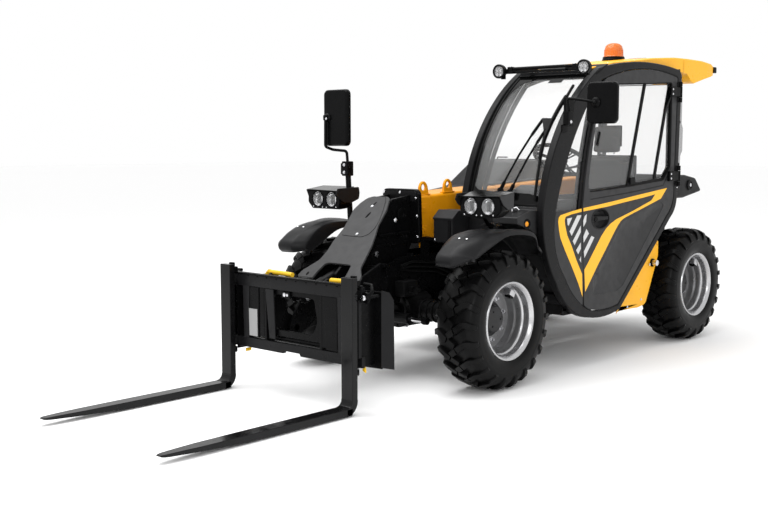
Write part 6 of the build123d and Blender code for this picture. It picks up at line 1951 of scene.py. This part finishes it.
# -------------------------------------------------------------------- engine bay
eo = [(-560, 925), (-560, 330), (560, 330), (640, 700), (850, 880), (850, 925)]
ei = [(842, 925), (842, 888), (632, 704), (553, 338), (-552, 338), (-552, 925)]
wall = plate("X", eo + ei, -692, -291, (), 1.5)
so = [(-560, 330), (-560, 925), (850, 925), (850, 880), (640, 700), (560, 330)]
so_r = [(p.x, p.y) for p in rounded([(a, b, 0) for a, b in so], [24, 6, 6, 14, 40, 24], 4)]
vents = [[(-420 + k * 44, 560), (-400 + k * 44, 560), (-380 + k * 44, 780), (-400 + k * 44, 780)] for k in range(18)]
side_r = plate("X", so_r, -700, -692, vents, 1.5)
side_l = plate("X", so_r, -291, -283, (), 1.5)
mesh_back = slab(-691, -688, -440, 430, 540, 800, 0.8, 1)
bay = [(wall, charcoal), (side_r, charcoal), (side_l, black), (mesh_back, black)]
for x0 in (-664, -579, -464, -379):
    bay.append((slab(x0, x0 + 43, 850, 872, 890, 922, 2), black))
    bay.append((lathe([(0, 0), (0, 8.6), (1, 9), (42, 9), (43, 8.6), (43, 0)], (x0, 865, 938), (1, 0, 0), 20, close=False), zinc))
    bay.append((slab(x0, x0 + 43, 858, 871, 918, 938, 2), black))
for y0 in (-300, 200):
    bay.append((slab(-600, -380, y0, y0 + 60, 338, 419, 4), black))
for y, z in ((-530, 360), (-530, 895), (530, 360), (820, 905), (0, 895), (400, 895)):
    bay.append((bolt((-700, y, z), (-1, 0, 0), 8, 5), zinc))
bay.append((rod((-706, 500, 640), (-692, 500, 640), 30, 28, 3), black))
bay.append((rod((-712, 500, 640), (-700, 500, 640), 12, 20, 2), zinc))
piece("engine_bay_shell", bay, "chassis", "charcoal_plastic", ("engine_bay",), angle=34)

# ------------------------------------------------------------------ engine block
en = [(slab(-600, -400, -300, 240, 440, 620, 12), cast), (slab(-590, -410, -280, 220, 620, 740, 10), cast),
      (slab(-570, -440, -260, 200, 740, 800, 16, 3), black_gloss), (slab(-580, -420, -260, 200, 420, 445, 8), cast),
      (rod((-500, -300, 560), (-500, -322, 560), 70, 40, 4), black), (rod((-500, -322, 560), (-500, -336, 560), 88, 40, 3), cast),
      (rod((-590, -300, 680), (-590, -326, 680), 34, 28, 3), zinc), (rod((-440, -300, 700), (-440, -326, 700), 30, 28, 3), zinc),
      (rod((-420, 60, 840), (-420, -180, 840), 36, 32, 8), black), (rod((-620, 80, 560), (-620, -20, 560), 26, 28, 6), lever_yellow),
      (rod((-610, 240, 520), (-610, 320, 520), 30, 28, 6), zinc)]
for k in range(4):
    y = -230 + k * 120
    en.append((rod((-505, y, 798), (-505, y, 826), 17, 20, 4), black))
    en.append((tube([(-400, y, 700), (-366, y, 704), (-352, y, 660), (-352, y + 20, 640)], 17, 16, 12), cast))
    en.append((tube([(-505, y, 826), (-560, y + 8, 832), (-622, y + 20, 780), (-626, y + 40, 640)], 4, 14, 8), zinc))
en.append((rod((-352, -240, 640), (-352, 230, 640), 24, 24, 4), cast))
belt = [(-500, -318, 560 - 72), (-425, -318, 590), (-408, -318, 700), (-440, -318, 732), (-590, -318, 716), (-624, -318, 680), (-572, -318, 556)]
en.append((tube(belt, 7, 24, 8, True), rubber))
piece("engine_assembly", en, "chassis", "cast_black", ("engine_block",), angle=34)

# ----------------------------------------------------------------- counterweight
low = [(1290, 330), (1440, 330), (1500, 400), (1500, 760), (1290, 760)]
low_r = [(p.x, p.y) for p in rounded([(a, b, 0) for a, b in low], [4, 16, 16, 12, 4], 4)]
jaw = [(1290, 330), (1440, 330), (1500, 400), (1500, 470), (1365, 470), (1365, 560), (1500, 560), (1500, 760), (1290, 760)]
jaw_r = [(p.x, p.y) for p in rounded([(a, b, 0) for a, b in jaw], [4, 16, 16, 10, 14, 14, 10, 12, 4], 4)]
cw = [(plate("X", low_r, -255, -60, (), 8, 3), black), (plate("X", low_r, 60, 255, (), 8, 3), black), (plate("X", jaw_r, -61, 61, (), 3), black)]
upo = [(1290, 785), (1490, 785), (1490, 900), (1440, 955), (1290, 955)]
upo = [(p.x, p.y) for p in rounded([(a, b, 0) for a, b in upo], [4, 18, 26, 26, 4], 4)]
cw += [(plate("X", upo, -300, 300, (), 12, 3), frame_coat), (slab(-255, 255, 1290, 1480, 758, 788, 3), black)]
cw += [(rod((0, 1415, 322), (0, 1415, 640), 15.5, 24, 2), zinc), (tube([(0, 1415, 640), (0, 1415, 664), (40, 1430, 668), (52, 1440, 650)], 6, 12, 10), zinc)]
for s in (1, -1):
    cw.append((lathe([(-4, 0), (-4, 44), (2, 46), (8, 42), (9, 36), (4, 34), (4, 0)], (s * 232, 1490, 850), (0, 1, 0), 36, close=False), black))
    cw.append((lathe([(3, 0), (3, 34), (8, 31), (10, 22), (10, 0)], (s * 232, 1490, 850), (0, 1, 0), 36, close=False), red_lens))
    cw.append((lathe([(-4, 0), (-4, 30), (2, 31), (6, 28), (7, 24), (4, 22), (4, 0)], (s * 158, 1490, 850), (0, 1, 0), 32, close=False), black))
    cw.append((lathe([(3, 0), (3, 22), (7, 20), (8, 12), (8, 0)], (s * 158, 1490, 850), (0, 1, 0), 32, close=False), amber))
    cw.append((slab(min(s * 160, s * 236), max(s * 160, s * 236), 1498, 1504 - 4.5, 690, 722, 1), red_lens))
    cw += [(bolt((s * 200, 1500, 620), (0, 1, 0), 15, 0.5 + 4 - 4), zinc)]
cw.append((slab(-90, 90, 1486, 1492, 822, 880, 2), black))
piece("rear_counterweight_cast", cw, "chassis", "cast_black", ("rear_counterweight",), angle=34)

# ------------------------------------------------------------------ cab interior
fl = [(slab(146, 652, -436, 118, 344, 352, 2), floor_mat_m)]
for k in range(12):
    fl.append((slab(170, 630, -400 + k * 40, -386 + k * 40, 350, 356, 2.5), floor_mat_m))
for x, w, tl in ((300, 46, -455), (395, 40, -450), (505, 50, -455)):
    fl.append((poly_solid([(x - w / 2, -380, 470), (x + w / 2, -380, 470), (x + w / 2, -440, 560), (x - w / 2, -440, 560),
                           (x - w / 2, -388, 464), (x + w / 2, -388, 464), (x + w / 2, -448, 554), (x - w / 2, -448, 554)],
                          [(0, 1, 2, 3), (4, 5, 6, 7), (0, 1, 5, 4), (1, 2, 6, 5), (2, 3, 7, 6), (3, 0, 4, 7)], 3), rubber))
    fl.append((tube([(x, -416, 508), (x, -440, 470), (x, -420, 350)], 8, 18, 10), black))
for k in range(6):
    z = 600 + k * 23
    q = rrect(218, 563, 168 - k * 1.0, 398, 22)
    a = [(x, y, z) for x, y in q]
    cx_, cy2 = 390, 283
    sh = lambda pts, f, zz: [(cx_ + (x - cx_) * f, cy2 + (y - cy2) * f, zz) for x, y, _ in pts]
    fl.append((loft([sh(a, 0.93, z), sh(a, 1.0, z + 9), sh(a, 1.0, z + 12), sh(a, 0.93, z + 21)]), rubber))
fl.append((slab(206, 590, 0, 392, 738, 758, 6), black))
fl.append((tube([(250, -12, 748), (250, -30, 744), (380, -30, 744), (380, -12, 748)], 6, 14, 10), zinc))
piece("cab_floor_trim", fl, "chassis", "charcoal_plastic", (), angle=34)


def column_at(t):
    r = radians(32)
    return (375.0, -60.0 - t * sin(r), 1236.0 - t * cos(r))


ds_o = [(-632, 935), (-560, 985), (-480, 1006), (-380, 1012), (-326, 1006), (-302, 966), (-330, 930), (-440, 896), (-500, 800), (-556, 766), (-612, 794)]
ds_o = [(p.x, p.y) for p in rounded([(a, b, 0) for a, b in ds_o], [10, 40, 30, 30, 22, 16, 20, 30, 30, 14, 14], 4)]
dash = [(plate("X", ds_o, 158, 642, (), 10, 3), plastic)]
bin_o = [(-470, 1000), (-430, 1060), (-350, 1088), (-318, 1076), (-300, 1000)]
bin_o = [(p.x, p.y) for p in rounded([(a, b, 0) for a, b in bin_o], [10, 26, 18, 12, 8], 4)]
dash += [(plate("X", bin_o, 270, 480, (), 12, 3), plastic), (slab(288, 462, -306, -300, 1010, 1062, 3), black_gloss)]
dash += [(lathe([(0, 0), (0, 30), (3, 32), (5, 29), (5, 26), (3, 25), (3, 0)], (x, -303, 1036), (0, 1, 0.1), 28, close=False), black_gloss) for x in (325, 424)]
dash += [(rod(column_at(330), column_at(26), 30, 28, 4), plastic), (slab(338, 438, -338, -222, 346, 720, 16, 3), plastic),
         (slab(330, 446, -346, -214, 700, 970, 18, 3), plastic)]
for sx in (-1, 1):
    p0 = Vector(column_at(70))
    dash.append((tube([tuple(p0), (375 + sx * 80, p0.y - 6, p0.z + 10), (375 + sx * 140, p0.y - 2, p0.z + 22)], 7, 16, 10), plastic))
    dash.append((rod((375 + sx * 136, p0.y - 2, p0.z + 22), (375 + sx * 162, p0.y, p0.z + 26), 10, 16, 3), black))
con = [(-60, 346), (-40, 896), (380, 898), (400, 600), (160, 400), (100, 346)]
con = [(p.x, p.y) for p in rounded([(a, b, 0) for a, b in con], [10, 40, 30, 40, 30, 10], 4)]
dash.append((plate("X", con, 148, 196, (), 12, 3), plastic))
dash.append((lathe([(0, 30), (0, 20), (14, 26), (18, 21), (32, 24), (36, 18), (48, 20), (52, 12), (56, 10), (56, 0), (0, 0)],
                   (172, 38, 894), (0, -0.2, 1), 28, close=False), rubber))
dash.append((lathe([(0, 0), (0, 13), (20, 15), (60, 17), (84, 21), (104, 24), (120, 22), (130, 12), (132, 0)], (172, 24, 930), (0, -0.16, 1), 28, close=False), black_gloss))
dash += [(rod((172, 6, 1046), (172, 5, 1056), 7, 16, 2), lever_yellow)]
for k in range(3):
    dash.append((slab(156, 188, 150 + k * 46, 178 + k * 46, 894, 904, 3), black_gloss))
piece("dashboard_moulded", dash, "chassis", "charcoal_plastic", ("dashboard",), angle=36)

sn = Vector((0, sin(radians(32)), cos(radians(32))))
sx_ = Vector((1, 0, 0))
sy_ = sn.cross(sx_)
C0 = Vector((375, -60, 1236))
ringp = [tuple(C0 + (sx_ * cos(2 * pi * k / 56) + sy_ * sin(2 * pi * k / 56)) * 175) for k in range(56)]
sw = [(tube(ringp, 13, 0, 16, True), rubber),
      (lathe([(-12, 0), (-12, 34), (-6, 40), (6, 40), (12, 34), (15, 20), (16, 0)], tuple(C0), tuple(sn), 36, close=False), plastic)]
for k in range(3):
    a = radians(90 + 120 * k)
    d1 = sx_ * cos(a) + sy_ * sin(a)
    d2 = sn.cross(d1)
    for off in (-1, 1):
        sw.append((tube([tuple(C0 + d1 * 30 + d2 * off * 11 - sn * 2), tuple(C0 + d1 * 100 + d2 * off * 9 - sn * 5), tuple(C0 + d1 * 170 + d2 * off * 13)],
                        5.5, 30, 8), black))
knob = C0 + (sx_ * cos(radians(205)) + sy_ * sin(radians(205))) * 172
sw.append((lathe([(8, 0), (8, 8), (26, 8), (30, 20), (42, 24), (54, 18), (58, 0)], tuple(knob), tuple(sn), 24, close=False), black_gloss))
piece("steering_wheel_moulded", sw, "steering_wheel", "charcoal_plastic", ("steering_wheel",), angle=40)


# ----------------------------------------------------------------- padded seat
def swell(ob, voxel, pressure, cap):
    """Puffs a closed pad up with cloth pressure; no point moves further than cap."""
    rm = ob.modifiers.new("remesh", "REMESH")
    rm.mode = "VOXEL"
    rm.voxel_size = voxel
    dg_ = bpy.context.evaluated_depsgraph_get()
    base_me = bpy.data.meshes.new_from_object(ob.evaluated_get(dg_))
    ob.modifiers.clear()
    ob.data = base_me
    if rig.quick():
        ob.data.shade_smooth()
        return
    start = [v.co.copy() for v in base_me.vertices]
    cl = ob.modifiers.new("cloth", "CLOTH")
    cl.settings.use_pressure = True
    cl.settings.uniform_pressure_force = pressure
    cl.settings.quality = 5
    cl.settings.mass = 0.35
    cl.settings.tension_stiffness = 22
    cl.settings.compression_stiffness = 22
    cl.settings.bending_stiffness = 2.5
    cl.settings.effector_weights.gravity = 0.0
    cl.collision_settings.use_collision = False
    cl.point_cache.frame_start = 1
    cl.point_cache.frame_end = 20
    for f in range(1, 21):
        scene.frame_set(f)
    dg_ = bpy.context.evaluated_depsgraph_get()
    out = bpy.data.meshes.new_from_object(ob.evaluated_get(dg_))
    ob.modifiers.clear()
    for v, s0 in zip(out.vertices, start):
        mv = v.co - s0
        if mv.length > cap:
            v.co = s0 + mv * (cap / mv.length)
    ob.data = out
    out.shade_smooth()
    scene.frame_set(1)
    sub = ob.modifiers.new("sub", "SUBSURF")
    sub.levels = sub.render_levels = 1


def pad(name, me, slot, replaces, cap=0.024):
    ob = bpy.data.objects.new(name, me)
    scene.collection.objects.link(ob)
    swell(ob, 0.0055, 4.0, cap)
    ob.data.materials.clear()
    ob.data.materials.append(seat_vinyl)
    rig.ride(ob, "chassis")
    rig.slot(ob, slot)
    if replaces:
        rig.replaces(ob, *replaces)
    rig.padded(ob, fill=0.7)
    return ob


def on_surface(ob, pts, lift=0.0):
    """Points in machine mm dropped on the pad's nearest surface, row-frame metres back to mm."""
    from mathutils.bvhtree import BVHTree
    bv = BVHTree.FromPolygons([v.co for v in ob.data.vertices], [p.vertices for p in ob.data.polygons])
    out = []
    for p in pts:
        hit, nrm, _, _ = bv.find_nearest(W(*p))
        q = (hit + nrm * (lift / 1000.0)) - ROW
        out.append((q.x * 1000, q.y * 1000, q.z * 1000))
    return out


def pad_block(x0, x1, top, bottom, r=18):
    """A pad between two side profiles given as (Y, Z) rows, front to back."""
    prof_ = top + bottom[::-1]
    q = [(p.x, p.y) for p in rounded([(a, b, 0) for a, b in prof_], r, 4)]
    return plate("X", q, x0, x1, (), 16, 4)


cushion = merge_meshes([pad_block(262, 554, [(-8, 826), (60, 826), (220, 812), (390, 816)], [(-8, 776), (390, 768)]),
                        pad_block(218, 278, [(-4, 838), (120, 840), (300, 836), (390, 830)], [(-4, 772), (390, 768)], 16),
                        pad_block(538, 598, [(-4, 838), (120, 840), (300, 836), (390, 830)], [(-4, 772), (390, 768)], 16)])
cu = pad("seat_cushion_padded", cushion, "seat_vinyl", ("seat_cushion",))
back = merge_meshes([pad_block(262, 550, [(362, 884), (384, 1000), (412, 1140), (428, 1272)], [(478, 884), (480, 1140), (478, 1272)]),
                     pad_block(218, 280, [(350, 900), (366, 1010), (398, 1140), (424, 1230)], [(474, 890), (476, 1140), (474, 1240)], 16),
                     pad_block(534, 594, [(350, 900), (366, 1010), (398, 1140), (424, 1230)], [(474, 890), (476, 1140), (474, 1240)], 16)])
bk = pad("seat_backrest_padded", back, "seat_vinyl", ("seat_backrest",))
hr = pad("seat_headrest_padded", pad_block(288, 478, [(430, 1282), (438, 1380), (440, 1448)], [(480, 1282), (480, 1448)], 14), "seat_vinyl", ())
seams = []
for x in (270, 546):
    seams.append((tube(on_surface(cu, [(x, -10 + 8 * k, 850) for k in range(0, 50)], 0.2), 1.7, 0, 6), rubber))
    seams.append((tube(on_surface(bk, [(x, 350 + (k / 46.0) * 70, 890 + 8 * k) for k in range(0, 47)], 0.2), 1.7, 0, 6), rubber))
for y in (110, 250):
    seams.append((tube(on_surface(cu, [(280 + 8 * k, y, 860) for k in range(0, 33)], 0.1), 1.5, 0, 6), rubber))
for z in (990, 1100, 1205):
    seams.append((tube(on_surface(bk, [(280 + 8 * k, 340, z) for k in range(0, 33)], 0.1), 1.5, 0, 6), rubber))
post_b = [(tube([(340, 462, 1270), (340, 462, 1345)], 6, 0, 12), zinc), (tube([(436, 462, 1270), (436, 462, 1345)], 6, 0, 12), zinc),
          (slab(228, 584, 484, 502, 880, 1262, 14, 3), black), (slab(300, 476, 480, 496, 1318, 1456, 8, 3), black),
          (slab(212, 236, 330, 470, 762, 880, 6), black), (slab(580, 604, 330, 470, 762, 880, 6), black)]
for sx0 in (208, 594):
    post_b.append((slab(sx0, sx0 + 14, 330, 420, 960, 1010, 5), black))
piece("seat_trim", seams + post_b, "chassis", "charcoal_plastic", (), angle=34)

# --------------------------------------------------------------- frame details
fd = []
for x, sx0 in ((37, 1), (-267, -1)):
    fd.append((lathe([(0, 0), (0, 48), (6, 52), (14, 50), (16, 34), (20, 32), (20, 0)], (x, 1130, 991), (sx0, 0, 0), 36, close=False), black))
    for k in range(6):
        a = 2 * pi * k / 6
        fd.append((bolt((x + sx0 * 6, 1130 + 72 * cos(a), 991 + 72 * sin(a)), (sx0, 0, 0), 7, 6), zinc))
    for ay in (-1065, 1065):
        for dy in (-42, 42):
            for z in (520, 556):
                fd.append((bolt((x, ay + dy, z), (sx0, 0, 0), 11, 9), black))
for y0, z0 in ((-1312, 455),):
    fd.append((slab(-240, 10, -1334, -1326, 436, 474, 3), black))
fd.append((slab(-190, -40, -1310, -1230, 430, 520, 10), cast))
for k in range(4):
    x = -176 + k * 38
    fd.append((rod((x, -1270, 520), (x, -1270, 548), 13, 20, 2), black))
    fd.append((tube([(x, -1270, 548), (x, -1262, 600), (x - 6, -1150, 640), (x - 4, -980, 610), (x, -900, 590)], 8, 40, 8), hose_rubber))
for dz in (0, 26, 52):
    fd.append((tube([(52, -1200, 640 - dz * 0.3), (56, -1100, 660 - dz), (58, -900, 640 - dz), (62, -560, 520 - dz), (62, 300, 500 - dz)], 8, 60, 8), hose_rubber))
fd.append((slab(40, 120, -1240, -1120, 470, 560, 12), cast))
fd.append((rod((120, -1200, 515), (150, -1200, 515), 17, 20, 3), black))
fd.append((slab(38, 150, -900, -560, 360, 460, 16, 3), black))
for k in range(7):
    fd.append((slab(150, 158, -880 + k * 46, -858 + k * 46, 372, 448, 3), black))
piece("frame_fittings", fd, "chassis", "charcoal_paint", (), angle=34)

for axle_n, ay, tw in (("front_axle", -1065, 1), ("rear_axle", 1065, -1)):
    ad = []
    for k in range(10):
        a = 2 * pi * (k + 0.5) / 10
        ad.append((bolt((88 * cos(a), ay + 105, 380 + 88 * sin(a)), (0, 1, 0), 6, 6), black))
        ad.append((bolt((88 * cos(a), ay - 105, 380 + 88 * sin(a)), (0, -1, 0), 6, 6), black))
    for s in (1, -1):
        for k in range(5):
            x = s * (130 + k * 44)
            ad.append((lathe([(-4, 54), (-4, 62), (-2, 64), (2, 64), (4, 62), (4, 54)], (x, ay, 380), (1, 0, 0), 32), cast))
        ad.append((lathe([(0, 0), (0, 40), (5, 42), (9, 38), (11, 22), (11, 0)], (s * 455, ay, 502), (0, 0, 1), 32, close=False), black))
        ad.append((lathe([(0, 0), (0, 40), (5, 42), (9, 38), (11, 22), (11, 0)], (s * 455, ay, 258), (0, 0, -1), 32, close=False), black))
        for k in range(4):
            a = pi / 4 + k * pi / 2
            ad.append((bolt((s * 455 + 32 * cos(a), ay + 32 * sin(a), 508), (0, 0, 1), 5, 5), zinc))
        cyy = ay - tw * 165
        ad.append((lathe([(150, 14.6), (150, 33), (158, 33), (160, 28), (160, 14.6)], (0, cyy, 350), (s, 0, 0), 32), black))
        ad.append((lathe([(160, 14.2), (160, 15), (262, 15), (262, 14.2)], (0, cyy, 350), (s, 0, 0), 28), rod_chrome))
        ad.append((lathe([(250, 0), (250, 20), (256, 22), (284, 20), (288, 12), (288, 0)], (0, cyy, 350), (s, 0, 0), 28, close=False), black))
        ad.append((rod((s * 120, cyy, 372), (s * 120, cyy, 394), 9, 16, 2), black))
        ad.append((tube([(s * 120, cyy, 392), (s * 118, cyy, 430), (s * 60, ay - tw * 120, 470), (s * 30 - 100, ay - tw * 60, 520)], 7, 20, 8), hose_rubber))
    ad.append((rod((0, ay - tw * 105, 380), (0, ay - tw * 132, 380), 40, 30, 4), black))
    ad.append((rod((0, ay - 30, 280), (0, ay - 30, 272), 14, 16, 2), zinc))
    piece(axle_n + "_fittings", ad, "chassis", "cast_black", (), angle=34)

# --------------------------------------------- rear corner pane behind the door
smoked = material("smoked_pane", (0.10, 0.10, 0.105), 0.08, vary=0.04, alpha=0.42, rough_vary=0.02, spec=0.3)
cg_o = [(842, 1150), (876, 1178), (884, 1260), (908, 1290), (910, 1440), (892, 1470), (894, 1640), (880, 1700), (884, 1790), (842, 1822)]
cg_o = [(p.x, p.y) for p in rounded([(a, b, 0) for a, b in cg_o], 10, 3)]
cg = [(plate("X", cg_o, 684, 689, (), 1.2), smoked)]
for y, z in ((862, 1200), (862, 1480), (862, 1770)):
    cg.append((bolt((689, y, z), (1, 0, 0), 7, 5), black))
cg_o2 = [(842, 1146), (850, 1146), (850, 1826), (842, 1826)]
cg.append((plate("X", cg_o2, 680, 693, (), 2), rubber))
piece("rear_corner_glass", cg, "chassis", "clear_glass", (), angle=34)
# ---------------------------------------------------------------- studio, camera
cam_data = bpy.data.cameras.new("camera")
cam = bpy.data.objects.new("camera", cam_data)
scene.collection.objects.link(cam)
cam_data.lens = 51.305
cam_data.sensor_width = 36.0
cam_data.shift_x = -0.02111
cam_data.shift_y = -0.01082
cam_data.clip_end = 200.0
yaw, pitch = -0.734, 0.0938
f_ = Vector((cos(pitch) * sin(yaw), cos(pitch) * cos(yaw), -sin(pitch)))
r_ = Vector((cos(yaw), -sin(yaw), 0.0))
u_ = r_.cross(f_)
cam.matrix_world = Matrix(((r_.x, u_.x, -f_.x, 4.0676), (r_.y, u_.y, -f_.y, -4.9753),
                           (r_.z, u_.z, -f_.z, 1.3302), (0, 0, 0, 1)))
scene.camera = cam

floor_me = mesh_from([(-60, -60, 0), (60, -60, 0), (60, 60, 0), (-60, 60, 0)], [(0, 1, 2, 3)])
floor = bpy.data.objects.new("floor", floor_me)
scene.collection.objects.link(floor)
fm = bpy.data.materials.new("studio_floor")
fm.use_nodes = True
fb = fm.node_tree.nodes["Principled BSDF"]
fb.inputs["Base Color"].default_value = (0.985, 0.985, 0.985, 1)
fb.inputs["Roughness"].default_value = 0.85
fb.inputs["Specular IOR Level"].default_value = 0.1
floor_me.materials.append(fm)
floor.location.z = -0.001
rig.stage(floor)

world = bpy.data.worlds.new("studio")
scene.world = world
world.use_nodes = True
bg = world.node_tree.nodes["Background"]
bg.inputs["Color"].default_value = (1.0, 1.0, 1.0, 1)
bg.inputs["Strength"].default_value = 1.0


def area(name, loc, target, size, power, color=(1, 1, 1)):
    d = bpy.data.lights.new(name, "AREA")
    d.shape = "RECTANGLE"
    d.size, d.size_y = size
    d.energy = power
    d.color = color
    o = bpy.data.objects.new(name, d)
    scene.collection.objects.link(o)
    o.location = loc
    o.rotation_euler = (Vector(target) - Vector(loc)).to_track_quat("-Z", "Y").to_euler()
    return o


area("top_softbox", (-1.0, -1.0, 5.5), (0, 0, 0.6), (5.0, 5.0), 300)
area("front_left", (5.5, -6.0, 3.6), (0, -0.4, 0.8), (3.0, 2.2), 120)

box_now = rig.bounds()
with open("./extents.json", "w") as fh:
    json.dump({"cad": [list(CAD_BOX[0]), list(CAD_BOX[1])],
               "visual": [list(box_now[0]), list(box_now[1])]}, fh)
